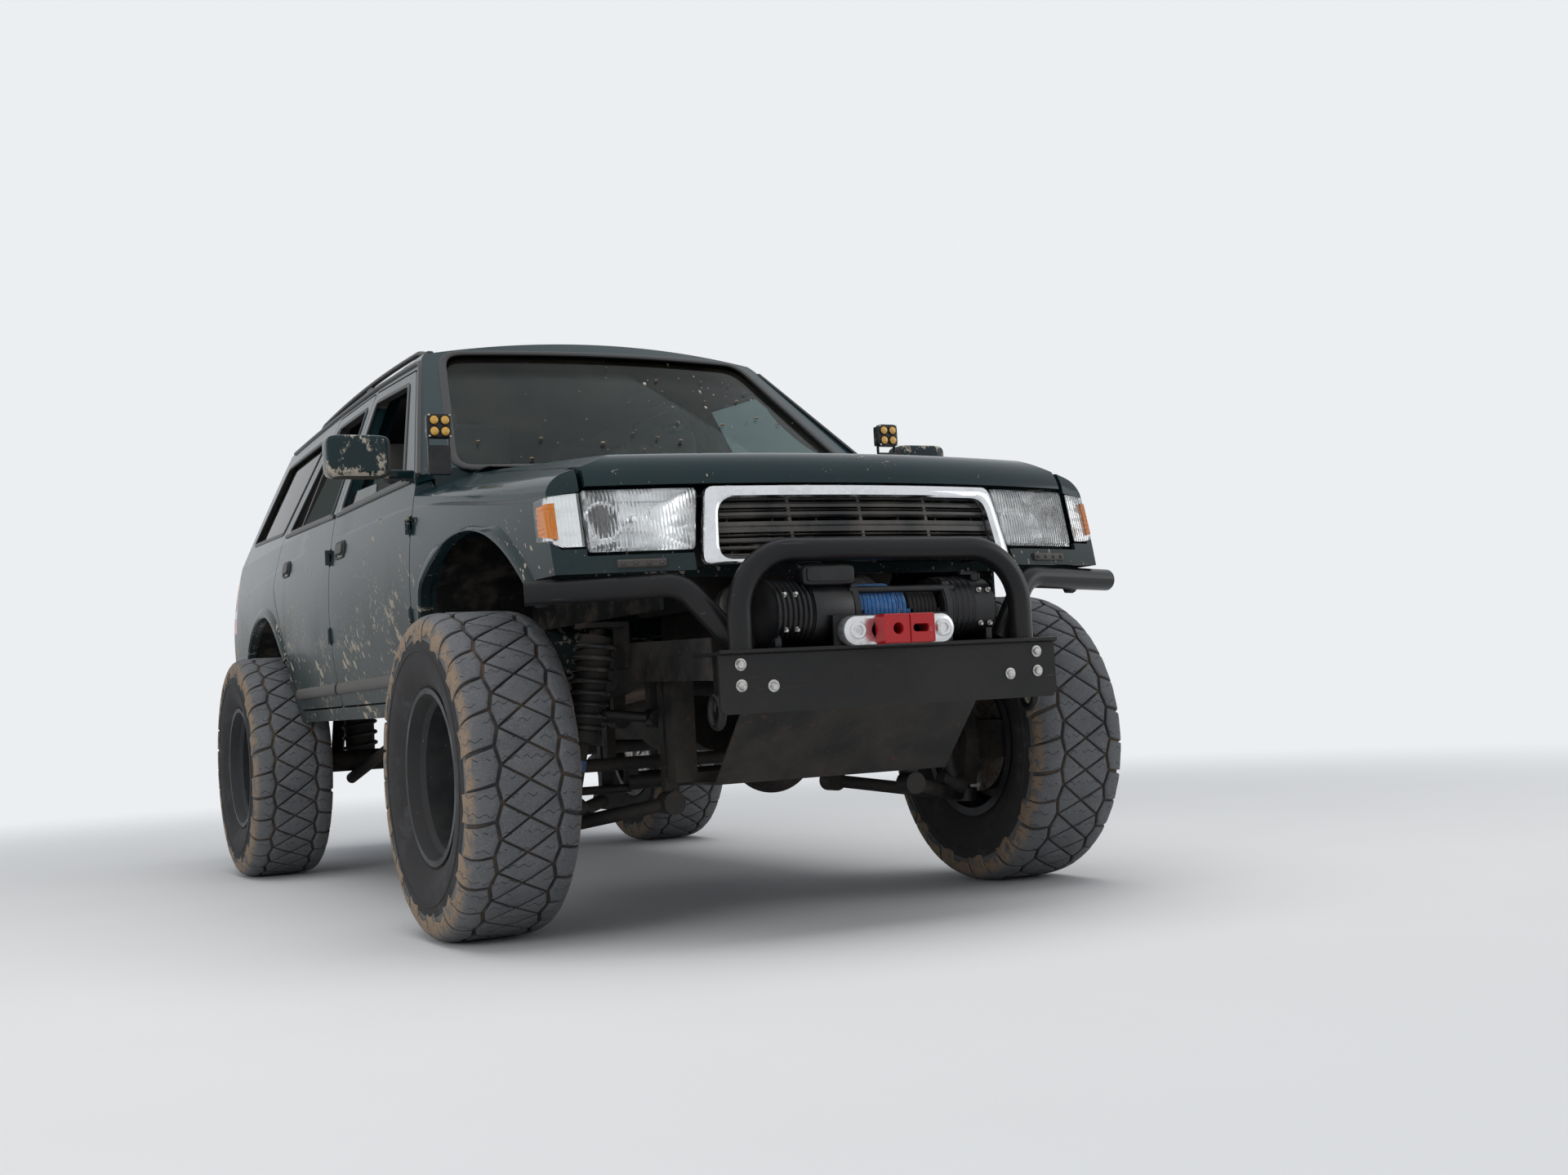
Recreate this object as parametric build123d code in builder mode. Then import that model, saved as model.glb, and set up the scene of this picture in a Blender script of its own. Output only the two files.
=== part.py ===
from build123d import *
from math import atan2, cos, degrees, hypot, radians, sin, sqrt, tan
import os

os.makedirs("parts", exist_ok=True)

# Lifted off-road 4x4, in millimetres. The front faces -Y, +X is the vehicle's left and the ground is z = 0.

# Main sizes
WHEELBASE = 2675.0
FRONT_REACH = 868.0  # from the front axle to the nose of the winch link
REAR_REACH = 3700.0  # from the front axle to the back of the rear bumper
FRONT_AXLE_Y = (FRONT_REACH - REAR_REACH) / 2
TRACK_HALF_FRONT = 833.0
TRACK_HALF_REAR = 830.0
CLEARANCE = 6.0  # gap round every panel that opens
RUNNING_GAP = 0.4  # round pins and shafts


def behind(distance):
    """Row y of a station that far behind the front axle."""
    return FRONT_AXLE_Y + distance


# Wheels and tyres
TYRE_RADIUS = 429.0
TYRE_WIDTH = 304.0
RIM_LIP_RADIUS = 233.0
RIM_WIDTH = 254.0
RIM_WALL = 7.0
RIM_DISC_SET = 38.0  # mounting face inboard of the wheel's middle
HUB_PCD_RADIUS = 69.85
STUD_RADIUS = 7.0
STUD_COUNT = 6
HUB_RADIUS = 53.0
DISC_RADIUS = 160.0
DISC_THICKNESS = 22.0
AXLE_HEIGHT = TYRE_RADIUS

# Body section at its widest station: half widths and heights
SILL_HALF = 800.0
SILL_Z = 592.0
WAIST_HALF = 845.0
WAIST_Z = 1050.0
BELT_HALF = 812.0
BELT_Z = 1290.0
CANTRAIL_HALF = 622.0
CANTRAIL_Z = 1750.0
ROOF_EDGE_HALF = 544.0
ROOF_EDGE_Z = 1812.0
ROOF_TOP_Z = 1860.0
ROOF_PEAK_Y = behind(1950)
ROOF_LONG_RADIUS = 14000.0
ROOF_CROSS_RADIUS = 3480.0
WIDEST_Y = behind(1500)
SIDE_PLAN_RADIUS = 45000.0
SIDE_AXIS_X = WAIST_HALF - SIDE_PLAN_RADIUS
SIDE_SWING = 3.2

# Nose: front face, leading edge and hood line on the centre plane
NOSE_PLAN_RADIUS = 2507.0
NOSE_FACE_Y = behind(-690)
NOSE_AXIS_Y = NOSE_FACE_Y + NOSE_PLAN_RADIUS
NOSE_LEAN = tan(radians(12.9))
NOSE_FACE_Z = 960.0
LEADING_EDGE_Z = 1120.0
HOOD_START_Y = behind(-550)
HOOD_START_Z = 1212.0
COWL_Z = 1300.0
HOOD_REAR_Y = behind(330)
FENDER_EDGE_Z = 1088.0
FENDER_EDGE_RADIUS = 78.0
FENDER_HALF = 792.0
FENDER_ROLL = 70.0  # degrees that the edge turns over before the top goes on straight
FENDER_LINE = (0.035, 1, 0.09)  # the edge's direction, rearward and rising with the hood
FENDER_START_Y = behind(-760)

# Windshield and tail
WINDSHIELD_BASE_Y = behind(430)
WINDSHIELD_SLOPE = 38.8
WINDSHIELD_RADIUS = 2600.0
TAIL_Y = behind(3668)
TAIL_RADIUS = 3500.0
TAIL_BEND_Z = 1050.0
TAIL_MID = (128.0, 1390.0)  # how far forward of the tail, and the height
TAIL_TOP = (418.0, 1800.0)

# Doors and side windows: outlines in distance behind the front axle and height
DOOR_FRONT_Y = behind(560)
DOOR_SPLIT_Y = behind(1543)
DOOR_BOTTOM_Z = 640.0
DOOR_SWEEP = 0.36  # how far a door's edge slants back for each unit outward
DOOR_INNER_ROOM = 25.0
FRONT_DOOR = [(560, 640), (560, 1270), (1105, 1722), (1640, 1740), (1540, 1290), (1540, 640)]
REAR_DOOR = [
    (1546, 640), (1546, 1290), (1646, 1740), (2195, 1738), (2478, 1310),
    (2563, 1127), (2420, 985), (2290, 840), (2215, 640),
]
FRONT_WINDOW = [(700, 1302), (1135, 1684), (1565, 1700), (1478, 1302)]
REAR_WINDOW = [(1612, 1304), (1700, 1700), (2140, 1698), (2385, 1325)]
QUARTER_WINDOW = [(2548, 1340), (2316, 1692), (3130, 1686), (3340, 1372)]
RIGHT_FRONT_WINDOW_DROP = 330.0
FRONT_ARCH = [(-452, 840), (-110, 1056), (436, 962), (505, 640), (505, 500)]
REAR_ARCH = [(2338, 820), (2720, 1026), (3152, 870)]
CORNER = 22.0  # radius on the corners of doors and windows
WINDSHIELD = [(690, 1322), (545, 1786)]  # half widths and heights of its opening
WINDSHIELD_SPAN = (behind(350), behind(1350))  # stations that its cut reaches from and to
REAR_WINDOW_GATE = [(560, 1395), (490, 1735)]
TAILGATE = [(640, 900), (648, 1330), (545, 1778)]
GATE_SPAN = (behind(3000), behind(3800))
HOOD_EDGE = [(716, -700), (655, 330)]
HOOD_LIP_Z = 1122.0
DOOR_HINGE_Z = (880.0, 1150.0)

# Walls
WALL = 40.0
PANEL = 16.0
GLASS = 5.0
GLASS_INSET = 14.0
FIREWALL_Y = behind(350)
FLOOR_Z = 700.0
LOAD_FLOOR_Z = 880.0
LOAD_FLOOR_Y = behind(2150)
FLOOR_THICKNESS = 12.0
FAR = 1000.0
HIGH = 2300.0


def upright(axis_x, axis_y, heading):
    """Upright plane through a vertical axis, its first direction heading degrees from +X."""
    turn = radians(heading)
    along = (cos(turn), sin(turn), 0)
    across = (sin(turn), -cos(turn), 0)
    return Plane(origin=(axis_x, axis_y, 0), x_dir=along, z_dir=across)


def side_plane(x, y=0, z=0, facing=1):
    """Plane across X, its first direction rearward, looking out to +X or, where facing is -1, to -X."""
    return Plane(origin=(x, y, z), x_dir=(0, 1, 0), z_dir=(facing, 0, 0))


def front_plane(y, z=0):
    """Plane across Y that looks forward, its first direction +X."""
    return Plane(origin=(0, y, z), x_dir=(1, 0, 0), z_dir=(0, -1, 0))


def vertical(axis_x, axis_y):
    return Axis((axis_x, axis_y, 0), (0, 0, 1))


def body_form(inset):
    """The body's closed outer form, from nose to tail, with every skin pushed in by inset."""
    with BuildPart() as form:
        # One side skin is the section swung about a far upright axis, and the other its mirror
        with BuildSketch(upright(SIDE_AXIS_X, WIDEST_Y, -SIDE_SWING)):
            with BuildLine():
                reach = -SIDE_AXIS_X - inset
                lean = (CANTRAIL_HALF - BELT_HALF, CANTRAIL_Z - BELT_Z)
                sill = (SILL_HALF + reach, SILL_Z)
                belt = (BELT_HALF + reach, BELT_Z)
                cantrail = (CANTRAIL_HALF + reach, CANTRAIL_Z)
                roof_edge = (ROOF_EDGE_HALF + reach, ROOF_EDGE_Z)
                Polyline((-FAR + reach, HIGH), (-FAR + reach, SILL_Z), sill)
                ThreePointArc(sill, (WAIST_HALF + reach, WAIST_Z), belt)
                Line(belt, cantrail)
                edge = TangentArc(cantrail, roof_edge, tangent=lean)
                rise = edge % 1
                ridge = (reach, ROOF_EDGE_Z + ROOF_EDGE_HALF * rise.Y / -rise.X)
                Polyline(roof_edge, ridge, (-FAR + reach, HIGH))
            make_face()
        revolve(axis=vertical(SIDE_AXIS_X, WIDEST_Y), revolution_arc=2 * SIDE_SWING)
        mirror(about=Plane.YZ, mode=Mode.INTERSECT)

        # Above the roof, crowned both ways
        roof_axis_z = ROOF_TOP_Z - inset - ROOF_LONG_RADIUS
        spread = radians(10)
        tilted = (0, -cos(spread), sin(spread))
        with BuildSketch(Plane(origin=(0, ROOF_PEAK_Y, roof_axis_z), x_dir=(1, 0, 0), z_dir=tilted)):
            with BuildLine():
                drop = FAR * FAR / (2 * ROOF_CROSS_RADIUS)
                sides = ROOF_LONG_RADIUS - drop
                ThreePointArc((-FAR, sides), (0, ROOF_LONG_RADIUS), (FAR, sides))
                top = ROOF_LONG_RADIUS + HIGH - ROOF_TOP_Z
                Polyline((FAR, sides), (FAR, top), (-FAR, top), (-FAR, sides))
            make_face()
        roof_axis = Axis((0, ROOF_PEAK_Y, roof_axis_z), (1, 0, 0))
        revolve(axis=roof_axis, revolution_arc=2 * degrees(spread), mode=Mode.SUBTRACT)

        # In front of the windshield and above the cowl
        axis_y = WINDSHIELD_BASE_Y + WINDSHIELD_RADIUS
        slope = radians(WINDSHIELD_SLOPE)
        with BuildSketch(upright(0, axis_y, -120)):
            with BuildLine():
                foot = WINDSHIELD_RADIUS - inset * (1 - cos(slope)) / sin(slope)
                run = 900.0
                base_z = COWL_Z - inset
                head = (foot - run, base_z + run * tan(slope))
                outer = WINDSHIELD_RADIUS + 1300
                Polyline((outer, base_z), (foot, base_z), head, (head[0], HIGH), (outer, HIGH), close=True)
            make_face()
        revolve(axis=vertical(0, axis_y), revolution_arc=60, mode=Mode.SUBTRACT)

        # In front of the face and above the hood
        with BuildSketch(upright(0, NOSE_AXIS_Y, -130)):
            with BuildLine():
                face = atan2(NOSE_LEAN, 1)
                low_z = SILL_Z - 50
                low = (NOSE_PLAN_RADIUS + (NOSE_FACE_Z - low_z) * NOSE_LEAN - inset / cos(face), low_z)
                edge_r = NOSE_PLAN_RADIUS - (LEADING_EDGE_Z - NOSE_FACE_Z) * NOSE_LEAN
                edge_start = (edge_r - inset * cos(face), LEADING_EDGE_Z - inset * sin(face))
                hood_run = HOOD_REAR_Y - HOOD_START_Y
                hood_slope = atan2(COWL_Z - HOOD_START_Z, hood_run)
                hood_start = (
                    NOSE_AXIS_Y - HOOD_START_Y - inset * sin(hood_slope),
                    HOOD_START_Z - inset * cos(hood_slope),
                )
                hood_end = (hood_start[0] - hood_run, hood_start[1] + COWL_Z - HOOD_START_Z)
                Line(low, edge_start)
                TangentArc(edge_start, hood_start, tangent=(-sin(face), cos(face)))
                outer = NOSE_PLAN_RADIUS + 600
                Polyline(hood_start, hood_end, (hood_end[0], HIGH), (outer, HIGH), (outer, low_z), low)
            make_face()
        revolve(axis=vertical(0, NOSE_AXIS_Y), revolution_arc=80, mode=Mode.SUBTRACT)

        # Behind the tail
        axis_y = TAIL_Y - TAIL_RADIUS
        with BuildSketch(upright(0, axis_y, 60)):
            with BuildLine():
                reach = TAIL_RADIUS - inset
                bend = (reach, TAIL_BEND_Z)
                crest = (reach - TAIL_TOP[0], TAIL_TOP[1])
                curve = ThreePointArc(bend, (reach - TAIL_MID[0], TAIL_MID[1]), crest)
                leave = curve % 1
                tip = (crest[0] + 200 * leave.X / leave.Y, crest[1] + 200)
                outer = TAIL_RADIUS + 400
                low_z = SILL_Z - 50
                Polyline(crest, tip, (tip[0], HIGH), (outer, HIGH), (outer, low_z), (reach, low_z), bend)
            make_face()
        revolve(axis=vertical(0, axis_y), revolution_arc=60, mode=Mode.SUBTRACT)

        # Outside the rounded fender tops, which rise with the hood
        with BuildSketch(front_plane(FENDER_START_Y)):
            with BuildLine():
                out = FENDER_HALF - inset
                base_z = FENDER_EDGE_Z - 26 - inset
                roll = radians(FENDER_ROLL)
                crown = (
                    out - FENDER_EDGE_RADIUS * (1 - cos(roll)),
                    base_z + FENDER_EDGE_RADIUS * sin(roll),
                )
                turned = TangentArc((out, base_z), crown, tangent=(0, 1)) % 1
                run = 260.0
                peak = (crown[0] - run, crown[1] + run * turned.Y / -turned.X)
                Polyline(crown, peak, (peak[0], 1700), (FAR, 1700), (FAR, base_z), (out, base_z))
            make_face()
        one_side = extrude(amount=DOOR_FRONT_Y - FENDER_START_Y, dir=FENDER_LINE, mode=Mode.SUBTRACT)
        mirror(one_side, about=Plane.YZ, mode=Mode.SUBTRACT)
    return form.part


OUTER = body_form(0)
SKIN_INSIDE = body_form(PANEL)
WALL_INSIDE = body_form(WALL)


SECTION_ARC = ThreePointArc((SILL_HALF, SILL_Z), (WAIST_HALF, WAIST_Z), (BELT_HALF, BELT_Z))


def section_half(z):
    """Half width of the body's section at a height."""
    if z > BELT_Z:
        return BELT_HALF + (CANTRAIL_HALF - BELT_HALF) * (z - BELT_Z) / (CANTRAIL_Z - BELT_Z)
    middle = SECTION_ARC.arc_center
    return middle.X + sqrt(SECTION_ARC.radius**2 - (z - middle.Y) ** 2)


def side_prism(outline, corner=CORNER, grow=0.0, from_x=400.0, to_x=FAR, slant=0.0):
    """A side outline, true where it meets the skin, carried outward in X, straight or slanting back."""

    def spot(y, z):
        return behind(y) - slant * (section_half(z) - from_x), z

    with BuildPart() as prism:
        with BuildSketch(side_plane(from_x)):
            with BuildLine():
                for (y, z), (next_y, next_z) in zip(outline, outline[1:] + outline[:1]):
                    # A slanted edge bows on this plane so that it lies straight on the curved skin
                    if slant and max(z, next_z) <= BELT_Z and z != next_z:
                        middle = spot((y + next_y) / 2, (z + next_z) / 2)
                        ThreePointArc(spot(y, z), middle, spot(next_y, next_z))
                    else:
                        Line(spot(y, z), spot(next_y, next_z))
            face = make_face()
            if corner:
                fillet(face.vertices(), radius=corner)
            if grow:
                offset(amount=grow, kind=Kind.INTERSECTION, mode=Mode.REPLACE)
        extrude(amount=(to_x - from_x) * hypot(1, slant), dir=(1, slant, 0))
    return prism.part


def arch_prism(points, tail=(), from_x=400.0, grow=0.0):
    """A wheel opening: an arc over the tyre, closed by straight runs below."""
    with BuildPart() as prism:
        with BuildSketch(side_plane(from_x)):
            with BuildLine():
                spots = [(behind(y), z) for y, z in points]
                ThreePointArc(*spots[:3])
                low = SILL_Z - 100
                rest = [(behind(y), z) for y, z in tail]
                rest += [(spots[2][0] + 40, low), (spots[0][0] - 100, low)]
                Polyline(spots[2], *rest, spots[0])
            make_face()
            if grow:
                offset(amount=grow, kind=Kind.INTERSECTION, mode=Mode.REPLACE)
        extrude(amount=FAR - from_x)
    return prism.part


def box_between(low, high):
    """A plain block between two opposite corners."""
    middle = [(a + b) / 2 for a, b in zip(low, high)]
    return Pos(*middle) * Box(*[b - a for a, b in zip(low, high)])


def block(low, high, mode=Mode.ADD):
    """Add or take away a plain block between two opposite corners."""
    with Locations(tuple((a + b) / 2 for a, b in zip(low, high))):
        return Box(*[b - a for a, b in zip(low, high)], mode=mode)


def side_block(side, halves, low, high, mode=Mode.ADD):
    """A plain block on one side (1 or -1) between two half widths; low and high hold Y and Z."""
    near, far = sorted(side * half for half in halves)
    return block((near, *low), (far, *high), mode=mode)


def front_prism(outline, near_y, far_y, corner=0.0, grow=0.0):
    """A closed outline seen from the front, carried along Y."""
    with BuildPart() as prism:
        with BuildSketch(front_plane(far_y)):
            with BuildLine():
                Polyline(outline, close=True)
            face = make_face()
            if corner:
                fillet(face.vertices(), radius=corner)
            if grow:
                offset(amount=grow, kind=Kind.INTERSECTION, mode=Mode.REPLACE)
        extrude(amount=far_y - near_y)
    return prism.part


def both_ways(half):
    """A half outline on +X, closed round by its mirror image."""
    return half + [(-x, z) for x, z in reversed(half)]


def mirrored(part):
    return mirror(part, about=Plane.YZ, mode=Mode.PRIVATE)


def main_solid(part):
    """The largest solid, leaving slivers that a cut left loose."""
    return part.solids().sort_by(SortBy.VOLUME)[-1]


pieces = {}


def finish(name, part):
    """Label a finished piece and write it."""
    part.label = name
    pieces[name] = part
    export_step(part, f"parts/{name}.step")


def door_prism(outline, grow=0.0):
    """A door's slanted cut, kept to the side skin by a plane that leans with the windows."""
    inner = WALL + DOOR_INNER_ROOM
    with BuildPart() as prism:
        add(side_prism(outline, grow=grow, slant=DOOR_SWEEP))
        with BuildSketch(front_plane(behind(0))):
            with BuildLine():
                belt = (BELT_HALF - inner, BELT_Z)
                cantrail = (CANTRAIL_HALF - inner, CANTRAIL_Z)
                Polyline((0, 0), (belt[0], 0), belt, cantrail, (0, HIGH), close=True)
            make_face()
        extrude(amount=WHEELBASE + REAR_REACH, both=True, mode=Mode.SUBTRACT)
    return prism.part


door_prisms = {"front": door_prism(FRONT_DOOR), "rear": door_prism(REAR_DOOR)}
window_prisms = {"front": side_prism(FRONT_WINDOW), "rear": side_prism(REAR_WINDOW)}
front_arch = arch_prism(FRONT_ARCH[:3], tail=FRONT_ARCH[3:])
rear_arch = arch_prism(REAR_ARCH)


def skin_half(y):
    """Half width of the body's widest line at a station."""
    return WAIST_HALF - (y - WIDEST_Y) ** 2 / (2 * SIDE_PLAN_RADIUS)


# Hinges: a fixed pin with two knuckles, and the moving panel's sleeve between them.
# Each stands on a plane whose Z is the pin's line, and its lugs are given by two corners on that plane.
PIN_RADIUS = 5.0
KNUCKLE_RADIUS = 9.0
SLEEVE_LENGTH = 26.0
KNUCKLE_LENGTH = 12.0
HINGE_PLAY = 0.5
HINGE_REACH = SLEEVE_LENGTH / 2 + HINGE_PLAY + KNUCKLE_LENGTH
HINGE_LUG = 22.0
LEAF_THICKNESS = 9.0
SLEEVE_ROOM = SLEEVE_LENGTH / 2 + HINGE_PLAY
WHOLE_ROOM = HINGE_REACH + CLEARANCE
ROOM_OUT = 50.0  # past any panel's thickness
PILLAR_INSET = WALL + 2 * CLEARANCE
PILLAR_DEPTH = 36.0


def rectangle_between(low, high):
    with Locations(((low[0] + high[0]) / 2, (low[1] + high[1]) / 2)):
        Rectangle(high[0] - low[0], high[1] - low[1])


def hinge_fixed(place, low, high):
    """The standing half of a hinge: pin, two knuckles and their lugs."""
    with BuildPart() as half:
        with BuildSketch(place.offset(-HINGE_REACH)):
            Circle(PIN_RADIUS)
        extrude(amount=2 * HINGE_REACH)
        for start in (-HINGE_REACH, HINGE_REACH - KNUCKLE_LENGTH):
            with BuildSketch(place.offset(start)):
                Circle(KNUCKLE_RADIUS)
                rectangle_between(low, high)
            extrude(amount=KNUCKLE_LENGTH)
    return half.part


def hinge_moving(place, low, high):
    """The sleeve that turns on the pin, with its lug."""
    with BuildPart() as half:
        with BuildSketch(place.offset(-SLEEVE_LENGTH / 2)):
            Circle(KNUCKLE_RADIUS)
            rectangle_between(low, high)
            Circle(PIN_RADIUS + RUNNING_GAP, mode=Mode.SUBTRACT)
        extrude(amount=SLEEVE_LENGTH)
    return half.part


def hinge_room(place, low, high, half_length):
    """Room cut for a hinge between two corners seen along its pin."""
    with BuildPart() as room:
        with BuildSketch(place.offset(-half_length)):
            rectangle_between(low, high)
        extrude(amount=2 * half_length)
    return room.part


def door_hinges(y):
    """Planes of a door's hinges, at the widest line of the body."""
    return [Plane(origin=(skin_half(y), y, z), x_dir=(1, 0, 0), z_dir=(0, 0, 1)) for z in DOOR_HINGE_Z]


def cross_hinges(half, y, z):
    """Planes of a pair of hinges whose pins lie across the vehicle."""
    return [Plane(origin=(x, y, z), x_dir=(0, 1, 0), z_dir=(1, 0, 0)) for x in (-half, half)]


DOOR_HINGES = {"front": door_hinges(DOOR_FRONT_Y - CLEARANCE / 2), "rear": door_hinges(DOOR_SPLIT_Y)}
HOOD_HINGE_HALF = 480.0
HOOD_RUN = NOSE_AXIS_Y - HOOD_REAR_Y
HOOD_RISE = (COWL_Z - HOOD_START_Z) / (HOOD_REAR_Y - HOOD_START_Y)
HOOD_HINGE_Z = COWL_Z - HOOD_RISE * (hypot(HOOD_HINGE_HALF, HOOD_RUN) - HOOD_RUN)
HOOD_HINGES = cross_hinges(HOOD_HINGE_HALF, HOOD_REAR_Y, HOOD_HINGE_Z)
GATE_HINGE_HALF = 250.0
GATE_HINGE_Y = behind(3259)
GATE_HINGE_Z = TAILGATE[-1][1] + CLEARANCE / 2
GATE_HINGES = cross_hinges(GATE_HINGE_HALF, GATE_HINGE_Y, GATE_HINGE_Z)

# Hood: one pressed panel as thick as its frame, with its front lip over the grille
with BuildPart() as hood:
    add(OUTER)
    add(SKIN_INSIDE, mode=Mode.SUBTRACT)
    with BuildSketch(Plane.XY.offset(HOOD_LIP_Z)):
        with BuildLine():
            edge = [(x - CLEARANCE / 2, behind(y)) for x, y in HOOD_EDGE]
            Polyline(both_ways([edge[0], (edge[1][0], HOOD_REAR_Y - CLEARANCE / 2)]), close=True)
        make_face()
    extrude(amount=HIGH - HOOD_LIP_Z, mode=Mode.INTERSECT)
    for place in HOOD_HINGES:
        room = hinge_room(place, (-KNUCKLE_RADIUS - 1, -ROOM_OUT), (ROOM_OUT, ROOM_OUT), WHOLE_ROOM)
        add(room, mode=Mode.SUBTRACT)
        add(hinge_moving(place, (-HINGE_LUG, -KNUCKLE_RADIUS), (0, 0)))
finish("hood", hood.part)

# Front fenders: side panel, rounded top and the strip under the headlamp
STRIP_Z = (905.0, 948.0)
STRIP_HALF = 466.0
STRIP_BACK_Y = behind(-500)
LAMP_FRONT_Y = behind(-720)
FENDER_TOP_Z = COWL_Z - 4
CORNER_LAMP_HOLE = [(700, 966), (775, 966), (812, 1000), (812, 1096), (700, 1112)]
with BuildPart() as fender:
    add(OUTER)
    add(SKIN_INSIDE, mode=Mode.SUBTRACT)
    with BuildSketch(Plane.XY):
        with BuildLine():
            edge = [(x + CLEARANCE / 2, behind(y)) for x, y in HOOD_EDGE]
            rear = DOOR_FRONT_Y - CLEARANCE
            Polyline(edge[0], (FAR, edge[0][1]), (FAR, rear), (edge[1][0], rear), edge[1], close=True)
        make_face()
        with BuildLine():
            near = (STRIP_HALF, LAMP_FRONT_Y)
            far = (FAR, STRIP_BACK_Y)
            Polyline(near, (far[0], near[1]), far, (near[0], far[1]), close=True)
        make_face()
    extrude(amount=FENDER_TOP_Z, mode=Mode.INTERSECT)
    # Room for the headlamp, the wheel, the corner lamp and the door
    lamp_far = (HOOD_EDGE[0][0] + CLEARANCE / 2, behind(-450), FENDER_TOP_Z)
    block((0, LAMP_FRONT_Y, STRIP_Z[1]), lamp_far, mode=Mode.SUBTRACT)
    block((0, LAMP_FRONT_Y, 0), (FAR, behind(-300), STRIP_Z[0]), mode=Mode.SUBTRACT)
    add(front_arch, mode=Mode.SUBTRACT)
    corner_lamp_room = front_prism(CORNER_LAMP_HOLE, LAMP_FRONT_Y, behind(-501))
    add(corner_lamp_room, mode=Mode.SUBTRACT)
    add(door_prism(FRONT_DOOR, CLEARANCE), mode=Mode.SUBTRACT)
    for place in DOOR_HINGES["front"]:
        low = (-KNUCKLE_RADIUS - 8, -KNUCKLE_RADIUS - 3)
        add(hinge_room(place, low, (ROOM_OUT, ROOM_OUT), SLEEVE_ROOM), mode=Mode.SUBTRACT)
        add(hinge_fixed(place, (-KNUCKLE_RADIUS, -HINGE_LUG), (0, 0)))
fender_half = main_solid(fender.part)
fender_pair = Compound([fender_half, mirrored(fender_half).solid()])

# Lamps: headlamp and wrapped corner lamp, each a sealed block behind its lens
LAMP_BACK_Y = behind(-505)
SUPPORT_Y = LAMP_BACK_Y
SEAT_GAP = 0.3
HEADLAMP = [(452, 952), (718, 952), (718, 1118), (427, 1118)]
CORNER_LAMP = [(722, 970), (772, 970), (808, 1003), (808, 1092), (722, 1106)]
with BuildPart() as headlamp:
    add(OUTER)
    add(front_prism(HEADLAMP, LAMP_FRONT_Y, LAMP_BACK_Y, corner=8), mode=Mode.INTERSECT)
with BuildPart() as corner_lamp:
    add(OUTER)
    add(front_prism(CORNER_LAMP, LAMP_FRONT_Y, LAMP_BACK_Y, corner=6), mode=Mode.INTERSECT)
lamps = [headlamp.part.solid(), corner_lamp.part.solid()]
lamps += [mirrored(lamp).solid() for lamp in (headlamp.part, corner_lamp.part)]
finish("front_lamps", Compound(lamps))

# Grille surround: one bright frame that follows the curve of the nose
SURROUND_OUTER = [(452, 916), (420, 1117)]
SURROUND_INNER = [(405, 932), (385, 1085)]
NOSE_TIP_Y = behind(-740)
SURROUND_BACK_Y = behind(-560)
with BuildPart() as surround:
    add(OUTER)
    add(SKIN_INSIDE, mode=Mode.SUBTRACT)
    frame_outline = front_prism(both_ways(SURROUND_OUTER), NOSE_TIP_Y, SURROUND_BACK_Y, corner=12)
    add(frame_outline, mode=Mode.INTERSECT)
    frame_opening = front_prism(both_ways(SURROUND_INNER), NOSE_TIP_Y, SURROUND_BACK_Y, corner=20)
    add(frame_opening, mode=Mode.SUBTRACT)
finish("grille_surround", surround.part)

# Grille: level bars on upright ribs, cut to the same curve behind the surround
GRILLE_BACK_Y = behind(-618)
GRILLE_HALF = 412.0
BARS = [(938, 10), (958, 8), (978, 8), (1010, 26), (1044, 8), (1064, 8), (1084, 10)]  # middle and depth in Z
RIBS_X = (-400, -200, 0, 200, 400)
RIB_HALF = 4.0
RIB_Z = (924.0, 1096.0)
with BuildPart() as grille:
    for z, height in BARS:
        low = (-GRILLE_HALF, NOSE_TIP_Y, z - height / 2)
        high = (GRILLE_HALF, GRILLE_BACK_Y, z + height / 2)
        block(low, high)
    for x in RIBS_X:
        back = SUPPORT_Y - SEAT_GAP if abs(x) == RIBS_X[-1] else GRILLE_BACK_Y
        block((x - RIB_HALF, NOSE_TIP_Y, RIB_Z[0]), (x + RIB_HALF, back, RIB_Z[1]))
    add(SKIN_INSIDE, mode=Mode.INTERSECT)
finish("grille", grille.part)

# Tail lamps: upright blocks let into the rear corners
TAIL_LAMP_LOW = (668.0, behind(3500), 1000.0)
TAIL_LAMP_HIGH = (FAR, behind(3800), 1245.0)
tail_lamp_seat = box_between(TAIL_LAMP_LOW, TAIL_LAMP_HIGH)
tail_lamp_seats = [tail_lamp_seat, mirrored(tail_lamp_seat)]
lamp_near = [value + SEAT_GAP for value in TAIL_LAMP_LOW]
tail_lamp_block = box_between(lamp_near, (*TAIL_LAMP_HIGH[:2], TAIL_LAMP_HIGH[2] - SEAT_GAP))
with BuildPart() as tail_lamp:
    add(OUTER)
    add(WALL_INSIDE, mode=Mode.SUBTRACT)
    add(tail_lamp_block, mode=Mode.INTERSECT)
finish("tail_lamps", Compound([tail_lamp.part.solid(), mirrored(tail_lamp.part).solid()]))

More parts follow.
